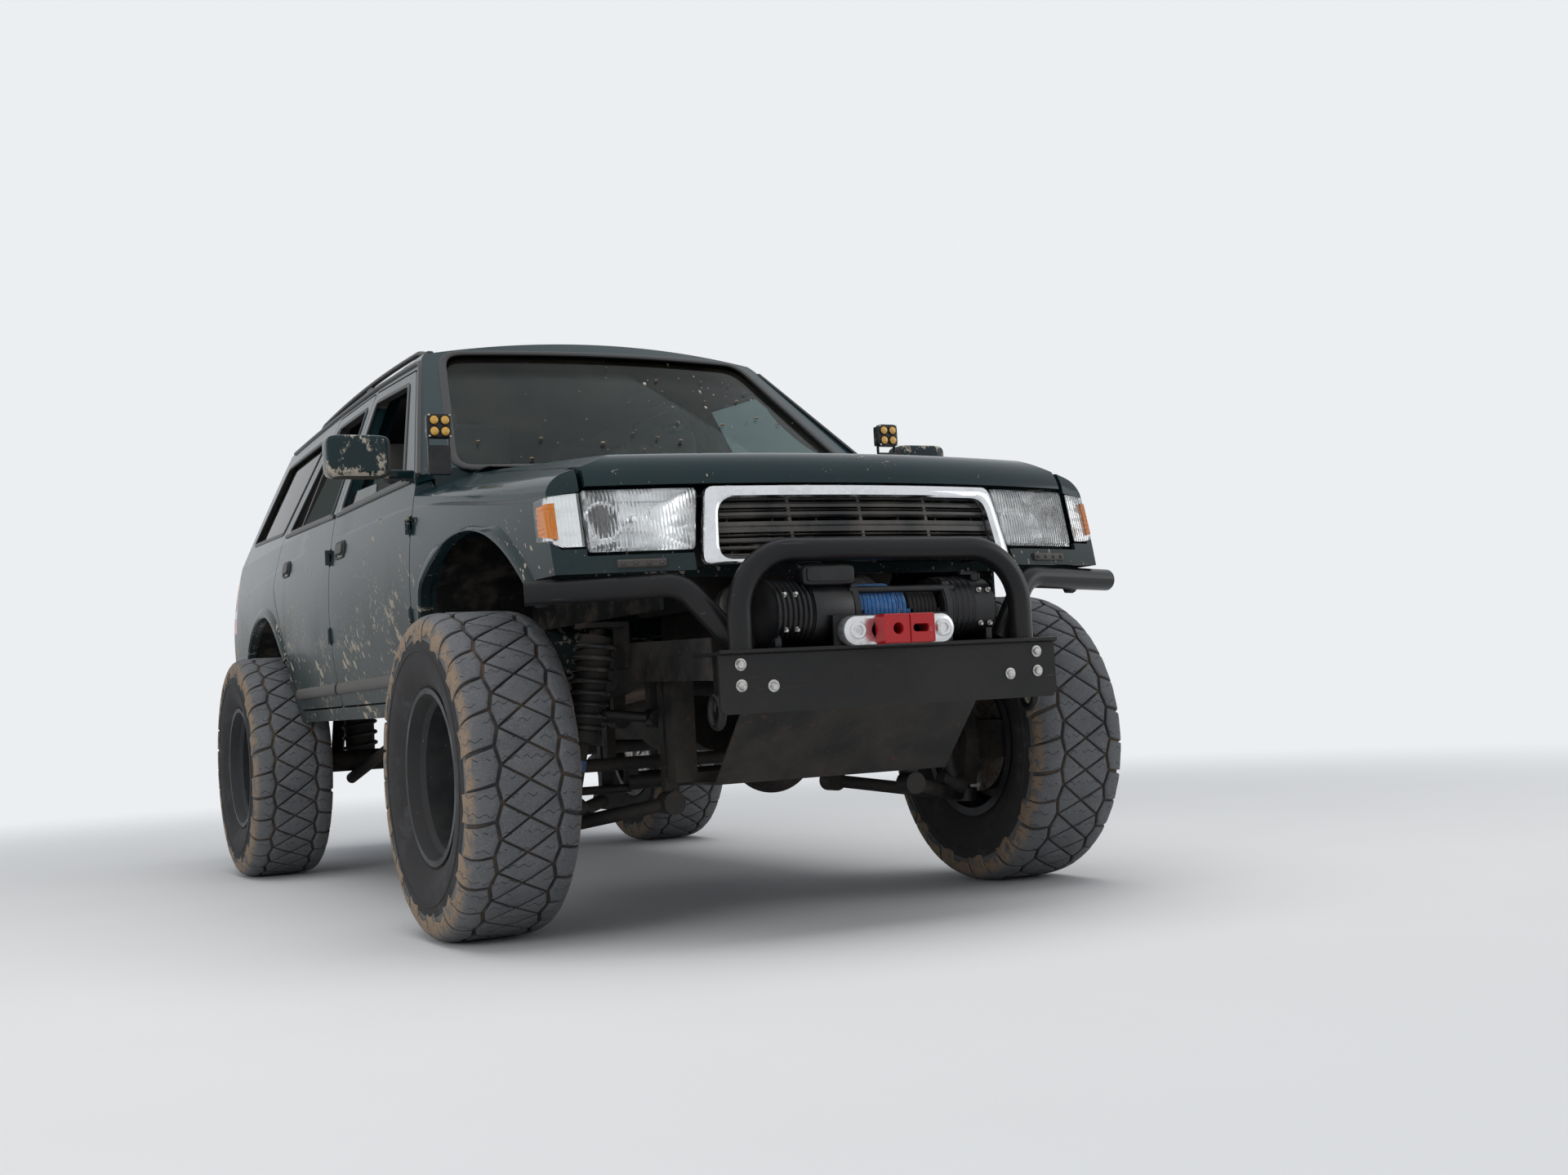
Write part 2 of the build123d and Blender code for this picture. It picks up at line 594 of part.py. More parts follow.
# Body shell: pillars, roof, quarters, cowl, floor, firewall, wheelhouses and front aprons, welded as one
WHEELHOUSE_INNER = 560.0
SHEET = 8.0
FIREWALL = 30.0
B_PILLAR_HEAD_HALF = 520.0
APRON_HALF = 500.0
APRON_LOW_Z = 820.0
APRON_TOP_Z = 1120.0
SUPPORT_Z = (900.0, 1112.0)
SILL_INNER_HALF = 690.0
SILL_OUTER_HALF = 770.0
FLOOR_HALF = 760.0
B_PILLAR = [(1520, SILL_Z), (1520, 1290), (1640, 1830), (1696, 1830), (1590, 1290), (1590, SILL_Z)]
PILLAR_HEAD_Z = 1752.0
inside_wall = body_form(WALL - 1)
with BuildPart() as pillar_head:
    add(inside_wall)
    block((-FAR, behind(-900), 0), (FAR, behind(3800), PILLAR_HEAD_Z), mode=Mode.SUBTRACT)
with BuildPart() as b_pillar:
    add(body_form(PILLAR_INSET))
    add(pillar_head.part)
    add(body_form(PILLAR_INSET + PILLAR_DEPTH), mode=Mode.SUBTRACT)
    with BuildSketch(side_plane(-FAR)):
        with BuildLine():
            Polyline([(behind(y), z) for y, z in B_PILLAR], close=True)
        make_face()
    extrude(amount=2 * FAR, mode=Mode.INTERSECT)
    head_room = (B_PILLAR_HEAD_HALF, behind(1800), HIGH)
    block((-B_PILLAR_HEAD_HALF, behind(1400), 0), head_room, mode=Mode.SUBTRACT)

# The wheelhouses' openings and the tubs that line them; columns are arch and inner half width
wheelhouses = []
for arch, inner_half in ((FRONT_ARCH, APRON_HALF), (REAR_ARCH, WHEELHOUSE_INNER)):
    opening = arch_prism(arch[:3], arch[3:], inner_half)
    tub = arch_prism(arch[:3], arch[3:], inner_half - SHEET, SHEET)
    wheelhouses.append((opening, tub))

# Floors, firewall and tubs, kept inside the body's walls
FLOOR_LOW_Z = FLOOR_Z - FLOOR_THICKNESS
LOAD_FLOOR_LOW_Z = LOAD_FLOOR_Z - FLOOR_THICKNESS
STEP_BACK_Y = LOAD_FLOOR_Y + FLOOR_THICKNESS
AHEAD_Y = behind(-900)
with BuildPart() as partitions:
    block((-FAR, LOAD_FLOOR_Y, LOAD_FLOOR_LOW_Z), (FAR, TAIL_Y, LOAD_FLOOR_Z))
    block((-FLOOR_HALF, LOAD_FLOOR_Y, FLOOR_LOW_Z), (FLOOR_HALF, STEP_BACK_Y, LOAD_FLOOR_Z))
    block((-FAR, FIREWALL_Y, FLOOR_LOW_Z), (FAR, FIREWALL_Y + FIREWALL, HIGH))
    for opening, tub in wheelhouses:
        add(tub)
        add(mirrored(tub))
    block((-FAR, AHEAD_Y, 0), (FAR, FIREWALL_Y, HIGH), mode=Mode.SUBTRACT)
    block((-FAR, AHEAD_Y, 0), (FAR, LOAD_FLOOR_Y, FLOOR_LOW_Z), mode=Mode.SUBTRACT)
    block((-FAR, STEP_BACK_Y, 0), (FAR, TAIL_Y, LOAD_FLOOR_LOW_Z), mode=Mode.SUBTRACT)
    add(inside_wall, mode=Mode.INTERSECT)
    for side in (-1, 1):
        low = (DOOR_FRONT_Y - 2 * CLEARANCE, 0)
        side_block(side, (FLOOR_HALF, FAR), low, (behind(2352), HIGH), mode=Mode.SUBTRACT)
with BuildPart() as body_shell:
    add(OUTER)
    add(WALL_INSIDE, mode=Mode.SUBTRACT)
    block((-FAR, AHEAD_Y, 0), (FAR, HOOD_REAR_Y + 1.5 * CLEARANCE, HIGH), mode=Mode.SUBTRACT)
    for prism in (door_prism(FRONT_DOOR, CLEARANCE), door_prism(REAR_DOOR, CLEARANCE)):
        add(prism, mode=Mode.SUBTRACT)
        add(mirrored(prism), mode=Mode.SUBTRACT)
    quarter = side_prism(QUARTER_WINDOW)
    for prism in (quarter, rear_arch):
        add(prism, mode=Mode.SUBTRACT)
        add(mirrored(prism), mode=Mode.SUBTRACT)
    windshield_hole = front_prism(both_ways(WINDSHIELD), *WINDSHIELD_SPAN, corner=60)
    add(windshield_hole, mode=Mode.SUBTRACT)
    gate_hole = front_prism(both_ways(TAILGATE), *GATE_SPAN, corner=45, grow=CLEARANCE)
    add(gate_hole, mode=Mode.SUBTRACT)
    # The tailgate's crowned top edge needs more room in the middle as it swings
    block((-190, behind(3235), GATE_HINGE_Z), (190, behind(3300), GATE_HINGE_Z + 11), mode=Mode.SUBTRACT)
    block((-FAR, behind(2340), 0), (FAR, GATE_SPAN[1], LOAD_FLOOR_LOW_Z), mode=Mode.SUBTRACT)
    for place in DOOR_HINGES["front"]:
        room = hinge_room(place, (-HINGE_LUG, -HINGE_LUG), (ROOM_OUT, ROOM_OUT), SLEEVE_ROOM)
        add(room, mode=Mode.SUBTRACT)
        add(mirrored(room), mode=Mode.SUBTRACT)
    # The fender covers the front post, so it is taken out of the skin
    for solid in fender_pair.solids():
        add(solid, mode=Mode.SUBTRACT)
    add(partitions.part)
    add(b_pillar.part)
    with BuildSketch(Plane.XY.offset(FLOOR_LOW_Z)):
        with BuildLine():
            Polyline(both_ways([(FLOOR_HALF, FIREWALL_Y), (FLOOR_HALF, LOAD_FLOOR_Y)]), close=True)
        make_face()
    extrude(amount=FLOOR_THICKNESS)
    # Sills, outer and inner, and the aprons beside the engine
    sill_start = (DOOR_FRONT_Y - 50, SILL_Z)
    sill_top = DOOR_BOTTOM_Z - CLEARANCE
    apron_start = (SUPPORT_Y, APRON_LOW_Z)
    for side in (-1, 1):
        side_block(side, (SILL_INNER_HALF, SILL_OUTER_HALF), sill_start, (behind(2330), sill_top))
        side_block(side, (SILL_INNER_HALF, FLOOR_HALF), sill_start, (LOAD_FLOOR_Y, FLOOR_Z))
        side_block(side, (APRON_HALF - SHEET, APRON_HALF), apron_start, (FIREWALL_Y + SHEET, APRON_TOP_Z))
    for opening, tub in wheelhouses:
        add(opening, mode=Mode.SUBTRACT)
        add(mirrored(opening), mode=Mode.SUBTRACT)
    # Tail lamp seats
    for lamp in tail_lamp_seats:
        add(lamp, mode=Mode.SUBTRACT)
    # Standing halves of the rear doors', the hood's and the tailgate's hinges
    for place in DOOR_HINGES["rear"]:
        leaf = hinge_fixed(place, (-PILLAR_INSET - PILLAR_DEPTH / 2, -LEAF_THICKNESS), (0, 0))
        add(leaf)
        add(mirrored(leaf))
    around = KNUCKLE_RADIUS + 3
    for place in HOOD_HINGES:
        room = hinge_room(place, (-ROOM_OUT, -around), (around, ROOM_OUT), SLEEVE_ROOM)
        add(room, mode=Mode.SUBTRACT)
        add(hinge_fixed(place, (0, -KNUCKLE_RADIUS), (HINGE_LUG, 0)))
    for place in GATE_HINGES:
        add(hinge_room(place, (-around, 0), (ROOM_OUT, around), SLEEVE_ROOM), mode=Mode.SUBTRACT)
        add(hinge_fixed(place, (-HINGE_LUG, 0), (0, KNUCKLE_RADIUS)))

# Radiator support, which the lamps and the grille stand on
with BuildPart() as support:
    block((-FAR, SUPPORT_Y, SUPPORT_Z[0]), (FAR, SUPPORT_Y + SHEET, SUPPORT_Z[1]))
    block((-395, SUPPORT_Y, 930), (395, SUPPORT_Y + SHEET, 1082), mode=Mode.SUBTRACT)
    add(SKIN_INSIDE, mode=Mode.INTERSECT)
with BuildPart() as whole_shell:
    add(body_shell.part)
    add(support.part)

# Doors: whole thickness, with the window cut, the hinge seats notched and the sleeves welded on
doors = {}
for name, places in DOOR_HINGES.items():
    with BuildPart() as door:
        add(OUTER)
        add(WALL_INSIDE, mode=Mode.SUBTRACT)
        add(door_prisms[name], mode=Mode.INTERSECT)
        add(window_prisms[name], mode=Mode.SUBTRACT)
        high = (ROOM_OUT, KNUCKLE_RADIUS + 1)
        for place in DOOR_HINGES["rear"]:
            low = (-2 * PILLAR_INSET, -LEAF_THICKNESS - CLEARANCE)
            add(hinge_room(place, low, high, WHOLE_ROOM), mode=Mode.SUBTRACT)
        if name == "front":
            for place in places:
                low = (-2 * PILLAR_INSET, -2 * KNUCKLE_RADIUS)
                add(hinge_room(place, low, high, WHOLE_ROOM), mode=Mode.SUBTRACT)
            # The inner front corner is cut back under the belt, where it swings past the post
            block((0, DOOR_FRONT_Y - 40, 1190), (756, DOOR_FRONT_Y + 18, BELT_Z), mode=Mode.SUBTRACT)
        for place in places:
            add(hinge_moving(place, (-KNUCKLE_RADIUS, 0), (0, HINGE_LUG)))
    doors[name] = main_solid(door.part)

# Tailgate, hung from the roof's rear edge
with BuildPart() as tailgate:
    add(OUTER)
    add(WALL_INSIDE, mode=Mode.SUBTRACT)
    add(front_prism(both_ways(TAILGATE), *GATE_SPAN, corner=45), mode=Mode.INTERSECT)
    add(front_prism(both_ways(REAR_WINDOW_GATE), *GATE_SPAN, corner=40), mode=Mode.SUBTRACT)
    for place in GATE_HINGES:
        low = (-KNUCKLE_RADIUS - 6, -KNUCKLE_RADIUS - 2)
        add(hinge_room(place, low, (90, ROOM_OUT), WHOLE_ROOM), mode=Mode.SUBTRACT)
        add(hinge_moving(place, (-KNUCKLE_RADIUS, -HINGE_LUG), (0, 0)))

# Glass: one thin shell inside the skin, cut to each opening
with BuildPart() as glass_shell:
    add(body_form(GLASS_INSET))
    add(body_form(GLASS_INSET + GLASS), mode=Mode.SUBTRACT)


def pane(prism, *more):
    with BuildPart() as glass:
        add(glass_shell.part)
        add(prism, mode=Mode.INTERSECT)
        for other in more:
            add(other, mode=Mode.INTERSECT)
    return glass.part


window_seat = {
    "front": side_prism(FRONT_WINDOW, grow=-SEAT_GAP),
    "rear": side_prism(REAR_WINDOW, grow=-SEAT_GAP),
}
dropped = side_prism([(y, z - RIGHT_FRONT_WINDOW_DROP) for y, z in FRONT_WINDOW], grow=-SEAT_GAP)
quarter_pane = pane(side_prism(QUARTER_WINDOW, grow=-SEAT_GAP))
windshield_seat = front_prism(both_ways(WINDSHIELD), *WINDSHIELD_SPAN, corner=60, grow=-SEAT_GAP)
windshield_pane = pane(windshield_seat)
fixed_glass = [windshield_pane.solid(), quarter_pane.solid(), mirrored(quarter_pane).solid()]
finish("fixed_glass", Compound(fixed_glass))
finish("door_glass_fl", pane(window_seat["front"]))
finish("door_glass_rl", pane(window_seat["rear"]))
finish("door_glass_fr", mirrored(pane(window_seat["front"], dropped)))
gate_window_seat = front_prism(both_ways(REAR_WINDOW_GATE), *GATE_SPAN, corner=40, grow=-SEAT_GAP)
finish("tailgate_glass", pane(gate_window_seat))

# Mirrors: rounded housings on short arms at the front corners of the windows
MIRROR_LOW = (868.0, behind(562), 1292.0)
MIRROR_HIGH = (1062.0, behind(650), 1424.0)
with BuildPart() as mirror_housing:
    block(MIRROR_LOW, MIRROR_HIGH)
    fillet(mirror_housing.edges().filter_by(Axis.Y), radius=26)
    fillet(mirror_housing.faces().sort_by(Axis.Y)[0].edges(), radius=18)
    plate_low = (MIRROR_LOW[0] + 12, MIRROR_HIGH[1] - 6, MIRROR_LOW[2] + 12)
    plate_high = (MIRROR_HIGH[0] - 12, MIRROR_HIGH[1], MIRROR_HIGH[2] - 12)
    block(plate_low, plate_high, mode=Mode.SUBTRACT)
    block((770, behind(640), 1296), (MIRROR_LOW[0] + 20, behind(672), 1330))
    add(OUTER, mode=Mode.SUBTRACT)
mirror_l = main_solid(mirror_housing.part)
finish("mirror_l", mirror_l)
finish("mirror_r", mirrored(mirror_l))
for name in ("front", "rear"):
    finish(f"door_{name[0]}l", doors[name])
    finish(f"door_{name[0]}r", mirrored(doors[name]))
finish("tailgate", tailgate.part)
finish("body_shell", whole_shell.part)
finish("front_fenders", fender_pair)

# Running gear sizes that the frame and the suspension share
KINGPIN_HALF = 690.0
LOWER_BALL_Z = 309.0
UPPER_BALL_Z = 552.0
BALL_EAR = 16.0
BALL_RADIUS = 34.0
BALL_STUD = 14.0
BALL_GAP = 11.0
LOWER_ARM = 19.0
UPPER_ARM = 14.0
LOWER_ARM_Z = LOWER_BALL_Z - BALL_EAR - LOWER_ARM - BALL_GAP
UPPER_ARM_Z = UPPER_BALL_Z + BALL_EAR + UPPER_ARM + BALL_GAP
ARM_PIVOT_HALF = 372.0
# Height of the pivots, their places along the frame and the bar's radius
ARM_TABLE = [(LOWER_ARM_Z + 60, (-210, 250), LOWER_ARM), (UPPER_ARM_Z - 44, (-130, 130), UPPER_ARM)]
COILOVER_TOP_Z = 800.0
SPRING_TOP_Z = 740.0
DAMPER_TOP_Z = 780.0
RACK_Y = 195
RACK_TOP_Z = 420.0
TIE_ROD_HALF = 575.0
SKID_Z = 378.0
GEARBOX_MOUNT_Y = 1080
GEARBOX_TAIL_LOW = 474.0
TUBE_RADIUS = 30.0
SHAFT_SHORT = 56.0  # how far the half shafts stop short of the kingpins


def rod(start, end, radius):
    """A straight round bar between two points."""
    line = Vector(*end) - Vector(*start)
    with BuildPart() as bar:
        with BuildSketch(Plane(origin=start, z_dir=tuple(line))):
            Circle(radius)
        extrude(amount=line.length)
    return bar.part


def tube(points, bend, radius=TUBE_RADIUS):
    """A bent round bar along a path with rounded corners."""
    with BuildPart() as bent:
        with BuildLine() as path:
            FilletPolyline(*points, radius=bend)
        with BuildSketch(Plane(origin=path.line @ 0, z_dir=path.line % 0)):
            Circle(radius)
        sweep()
    return bent.part


# Frame: two boxed rails that kick up over the rear axle, joined by cross tubes
RAIL_HALF = 395.0
RAIL_WIDTH = 70.0
RAIL_DEPTH = 105.0
RAIL_LINE = [
    (-640, 635), (-100, 650), (350, 575), (2165, 575), (2450, 745), (3000, 745), (3300, 700), (3560, 700),
]
CROSS_TUBES = [(-560, 690, 30), (1350, 627, 26), (2250, 680, 26), (3250, 760, 26)]  # place, height, radius
BODY_MOUNTS_Y = (620, 1450, 2100)
MOUNT_RADIUS = 36.0
MOUNT_HEIGHT = 12.0
CRADLE_RADIUS = 22.0
RAIL_MIDDLE_Z = 665.0
BRACKET_TOP_Z = COILOVER_TOP_Z + 14
# Brackets on each rail: half widths, distances behind the front axle, heights
BRACKETS = [
    ((330, 392), (-300, -246), (SKID_Z + SEAT_GAP, RAIL_MIDDLE_Z)),
    ((300, 392), (RACK_Y - 20, RACK_Y + 20), (RACK_TOP_Z + SEAT_GAP, RACK_TOP_Z + 20)),
    ((366, 392), (RACK_Y - 20, RACK_Y + 20), (RACK_TOP_Z + SEAT_GAP, RAIL_MIDDLE_Z)),
    ((425, 440), (-110, -30), (690, BRACKET_TOP_Z)),
    ((425, 550), (-110, -30), (COILOVER_TOP_Z + SEAT_GAP, BRACKET_TOP_Z)),
    ((425, 545), (WHEELBASE - 60, WHEELBASE + 60), (SPRING_TOP_Z + SEAT_GAP, SPRING_TOP_Z + 20)),
    ((425, 545), (WHEELBASE + 160, WHEELBASE + 200), (DAMPER_TOP_Z + 9.5, DAMPER_TOP_Z + 28)),
]
with BuildPart() as frame:
    for side in (-1, 1):
        with BuildSketch(side_plane(side * RAIL_HALF - RAIL_WIDTH / 2)):
            with BuildLine():
                lower = [(behind(y), z) for y, z in RAIL_LINE]
                upper = [(y, z + RAIL_DEPTH) for y, z in reversed(lower)]
                Polyline(lower + upper, close=True)
            make_face()
        extrude(amount=RAIL_WIDTH)
    for y, z, radius in CROSS_TUBES:
        with BuildSketch(side_plane(-RAIL_HALF, behind(y), z)):
            Circle(radius)
        extrude(amount=2 * RAIL_HALF)
    for y in BODY_MOUNTS_Y:
        for side in (-1, 1):
            with BuildSketch(Plane.XY.offset(FLOOR_LOW_Z - MOUNT_HEIGHT)):
                with Locations((side * RAIL_HALF, behind(y))):
                    Circle(MOUNT_RADIUS)
            extrude(amount=MOUNT_HEIGHT - SEAT_GAP)
    # Gearbox crossmember, bowed under the gearbox's tail
    cradle_y = behind(GEARBOX_MOUNT_Y)
    cradle_z = GEARBOX_TAIL_LOW - CRADLE_RADIUS
    half = [(150, cradle_y, cradle_z), (RAIL_HALF, cradle_y, 610)]
    add(tube([(-x, y, z) for x, y, z in reversed(half)] + half, 60, CRADLE_RADIUS))
    # Hangers for the arms, then brackets for skid plate, rack, coil-overs, rear springs and dampers
    for side in (-1, 1):
        for z, pivots, thick in ARM_TABLE:
            for pivot in pivots:
                low = (behind(pivot) - 14, z + thick + 12 + SEAT_GAP)
                halves = (ARM_PIVOT_HALF - 18, ARM_PIVOT_HALF + 18)
                side_block(side, halves, low, (behind(pivot) + 14, RAIL_MIDDLE_Z))
        for halves, (ahead, back), (low_z, high_z) in BRACKETS:
            side_block(side, halves, (behind(ahead), low_z), (behind(back), high_z))
    block((-392, behind(-300), SKID_Z + SEAT_GAP), (392, behind(-246), SKID_Z + 24))
finish("frame", frame.part)


# Wheels: deep dished steel rim, hub with brake disc, and tyre
def wheel_ring(centre_x, centre_y, outline, flip):
    """A ring round the axle line from an outline of offsets outboard and radii."""
    centre = (centre_x, centre_y, AXLE_HEIGHT)
    with BuildPart() as ring:
        with BuildSketch(Plane(origin=centre, x_dir=(flip, 0, 0), z_dir=(0, -flip, 0))):
            with BuildLine():
                Polyline(outline, close=True)
            make_face()
        revolve(axis=Axis(centre, (1, 0, 0)))
    return ring.part


HALF_RIM = RIM_WIDTH / 2
SEAT_RADIUS = 216.0
WELL_RADIUS = 196.0
DISH_RADIUS = 190.0
TREAD_HALF = 126.0
SIDE_HALF = TYRE_WIDTH / 2
BEAD_HALF = HALF_RIM - 8
RIM_OUTLINE = [
    (HALF_RIM, RIM_LIP_RADIUS),
    (HALF_RIM - RIM_WALL, RIM_LIP_RADIUS),
    (HALF_RIM - RIM_WALL, SEAT_RADIUS),
    (90, SEAT_RADIUS - 1),
    (76, WELL_RADIUS + RIM_WALL),
    (-62, WELL_RADIUS),
    (-76, SEAT_RADIUS - 4),
    (-HALF_RIM + RIM_WALL, SEAT_RADIUS),
    (-HALF_RIM + RIM_WALL, RIM_LIP_RADIUS),
    (-HALF_RIM, RIM_LIP_RADIUS),
    (-HALF_RIM, SEAT_RADIUS - RIM_WALL),
    (-84, SEAT_RADIUS - 4 - RIM_WALL),
    (-66, WELL_RADIUS - RIM_WALL),
    (-RIM_DISC_SET, DISH_RADIUS - RIM_WALL),
    (-RIM_DISC_SET, HUB_RADIUS + RUNNING_GAP),
    (-RIM_DISC_SET + 10, HUB_RADIUS + RUNNING_GAP),
    (-RIM_DISC_SET + 10, DISH_RADIUS - 6),
    (20, DISH_RADIUS),
    (80, DISH_RADIUS + RIM_WALL),
    (94, SEAT_RADIUS - RIM_WALL - 3),
    (HALF_RIM, SEAT_RADIUS + 2),
]
TYRE_OUTLINE = [
    (-BEAD_HALF + 1, SEAT_RADIUS + RUNNING_GAP),
    (-BEAD_HALF + 1, 246),
    (-SIDE_HALF + 6, 286),
    (-SIDE_HALF, 330),
    (-SIDE_HALF + 2, 372),
    (-TREAD_HALF - 12, TYRE_RADIUS - 18),
    (-TREAD_HALF, TYRE_RADIUS - 6),
    (-TREAD_HALF + 40, TYRE_RADIUS),
]
TYRE_INNER = [(-96, SEAT_RADIUS + RUNNING_GAP), (-98, 246), (-130, 300), (-130, 350), (-112, 398)]
tyre_outer = TYRE_OUTLINE + [(-x, r) for x, r in reversed(TYRE_OUTLINE)]
tyre_inner = TYRE_INNER + [(-x, r) for x, r in reversed(TYRE_INNER)]
HUB_BORE = 24.4
HUB_FACE = 14.0
HUB_OUTLINE = [
    (-64, HUB_BORE), (-64, 60), (-58, 60), (-58, DISC_RADIUS), (-36, DISC_RADIUS),
    (-36, 78), (0, 78), (0, HUB_RADIUS), (HUB_FACE, HUB_RADIUS), (HUB_FACE, HUB_BORE),
]
# Corner, side, half track and distance behind the front axle of each wheel
WHEELS = [
    ("fl", 1, TRACK_HALF_FRONT, 0.0),
    ("fr", -1, TRACK_HALF_FRONT, 0.0),
    ("rl", 1, TRACK_HALF_REAR, WHEELBASE),
    ("rr", -1, TRACK_HALF_REAR, WHEELBASE),
]
for corner, side, track, back in WHEELS:
    x, y = side * track, behind(back)
    with BuildPart() as rim:
        add(wheel_ring(x, y, RIM_OUTLINE, side))
        with BuildSketch(side_plane(x - side * (RIM_DISC_SET + 10), y, AXLE_HEIGHT, side)):
            with PolarLocations(HUB_PCD_RADIUS, STUD_COUNT):
                Circle(STUD_RADIUS + RUNNING_GAP)
            with PolarLocations(132, 8, start_angle=22.5):
                Circle(17)
        extrude(amount=24, mode=Mode.SUBTRACT)
    finish(f"rim_{corner}", rim.part)
    with BuildPart() as tyre:
        add(wheel_ring(x, y, tyre_outer, side))
        add(wheel_ring(x, y, tyre_inner, side), mode=Mode.SUBTRACT)
    finish(f"tyre_{corner}", tyre.part)
    with BuildPart() as hub:
        face_x = x - side * (RIM_DISC_SET + SEAT_GAP)
        add(wheel_ring(face_x, y, HUB_OUTLINE, side))
        with BuildSketch(side_plane(face_x, y, AXLE_HEIGHT, side)):
            with PolarLocations(HUB_PCD_RADIUS, STUD_COUNT):
                Circle(STUD_RADIUS)
        extrude(amount=26)
        with BuildSketch(side_plane(face_x + side * HUB_FACE, y, AXLE_HEIGHT, side)):
            Circle(HUB_RADIUS)
        extrude(amount=6)
    finish(f"hub_{corner}", hub.part)

# Steering knuckles: upright, ball joint ears, spindle and brake caliper, turning about an upright axis
SPINDLE_RADIUS = 24.0
SPINDLE_END = TRACK_HALF_FRONT - RIM_DISC_SET + 6
# Outline of the upright: distance behind its axle, and height
UPRIGHT = [
    (-34, LOWER_BALL_Z - BALL_EAR), (34, LOWER_BALL_Z - BALL_EAR), (74, AXLE_HEIGHT),
    (30, UPPER_BALL_Z + BALL_EAR), (-30, UPPER_BALL_Z + BALL_EAR), (-74, AXLE_HEIGHT),
]
CALIPER_HALF = 56.0
with BuildPart() as knuckle:
    with BuildSketch(side_plane(KINGPIN_HALF - 30)):
        with BuildLine():
            Polyline([(behind(y), z) for y, z in UPRIGHT], close=True)
        make_face()
    extrude(amount=50)
    with BuildSketch(side_plane(KINGPIN_HALF - 40, behind(0), AXLE_HEIGHT)):
        Circle(SPINDLE_RADIUS)
    extrude(amount=SPINDLE_END - KINGPIN_HALF + 40)
    # Steering arm, reaching back
    block((KINGPIN_HALF - 30, behind(30), 370), (KINGPIN_HALF, behind(RACK_Y + 14), 396))
    add(rod((KINGPIN_HALF - 100, behind(RACK_Y), 383), (KINGPIN_HALF - 15, behind(RACK_Y), 383), 12))
    # Caliper beside the disc's front edge
    caliper_near = (KINGPIN_HALF + 14, behind(-178), AXLE_HEIGHT - CALIPER_HALF)
    block(caliper_near, (KINGPIN_HALF + 42, behind(-66), AXLE_HEIGHT + CALIPER_HALF))
finish("knuckle_l", knuckle.part)
finish("knuckle_r", mirrored(knuckle.part))

# Front suspension: lower and upper arms, coil-overs, steering rack and rods, on the frame's brackets
with BuildPart() as front_suspension:
    ball = KINGPIN_HALF
    for z, (pivot_z, pivots, thick) in zip((LOWER_ARM_Z, UPPER_ARM_Z), ARM_TABLE):
        for pivot in pivots:
            add(rod((ball - BALL_EAR, behind(0), z), (ARM_PIVOT_HALF, behind(pivot), pivot_z), thick))
            eye = (ARM_PIVOT_HALF, behind(pivot) - 30, pivot_z)
            with BuildSketch(Plane(origin=eye, x_dir=(1, 0, 0), z_dir=(0, 1, 0))):
                Circle(thick + 12)
            extrude(amount=60)
        with BuildSketch(Plane.XY.offset(z - thick)):
            with Locations((ball, behind(0))):
                Circle(BALL_RADIUS)
        extrude(amount=2 * thick)
        # The ball stud reaches to the knuckle's ear
        reach = thick + BALL_GAP - RUNNING_GAP
        low = z if z < AXLE_HEIGHT else z - reach
        with BuildSketch(Plane.XY.offset(low)):
            with Locations((ball, behind(0))):
                Circle(BALL_STUD)
        extrude(amount=reach)
front_arms = front_suspension.part
with BuildPart() as coilover:
    foot = (600.0, behind(-70), 324.0)
    head = (500.0, behind(-70), COILOVER_TOP_Z - 5)
    spring = [tuple(a + (b - a) * share for a, b in zip(foot, head)) for share in (0.36, 0.42, 0.96)]
    add(rod(foot, head, 22))
    add(rod(spring[1], spring[2], 46))
    add(rod(spring[0], spring[1], 58))
with BuildPart() as front_side:
    add(front_arms)
    add(coilover.part)
    add(rod((560, behind(-70), 323), (640, behind(-70), 293), 24))
with BuildPart() as rack:
    add(rod((-330, behind(RACK_Y), 372), (330, behind(RACK_Y), 372), 26))
    for side in (-1, 1):
        add(rod((side * 320, behind(RACK_Y), 352), (side * TIE_ROD_HALF, behind(RACK_Y), 352), 12))
        side_block(side, (300, 330), (behind(RACK_Y) - 20, 380), (behind(RACK_Y) + 20, RACK_TOP_Z))
both_sides = front_side.part.solids() + mirrored(front_side.part).solids()
finish("front_suspension", Compound(both_sides + rack.part.solids()))

# Rear axle: tubes, centre housing with its nose, and brake backing
with BuildPart() as rear_axle:
    y = behind(WHEELBASE)
    reach = TRACK_HALF_REAR - RIM_DISC_SET + 6
    add(rod((-reach, y, AXLE_HEIGHT), (reach, y, AXLE_HEIGHT), SPINDLE_RADIUS))
    add(rod((-700, y, AXLE_HEIGHT), (700, y, AXLE_HEIGHT), 42))
    with Locations((0, y, AXLE_HEIGHT)):
        Sphere(150)
    add(rod((0, y - 100, AXLE_HEIGHT), (0, y - 260, AXLE_HEIGHT + 12), 62))
finish("rear_axle", rear_axle.part)

# Rear suspension: coil springs, dampers, trailing links and a cross rod
with BuildPart() as rear_suspension:
    for side in (-1, 1):
        y = behind(WHEELBASE)
        add(rod((side * 480, y, AXLE_HEIGHT + 42.3), (side * 480, y, SPRING_TOP_Z), 58))
        add(rod((side * 560, y + 69, AXLE_HEIGHT), (side * 500, y + 180, DAMPER_TOP_Z), 26))
        add(rod((side * 520, y, AXLE_HEIGHT - 71), (side * 452.5, behind(1750), 590), 22))
finish("rear_suspension", rear_suspension.part)

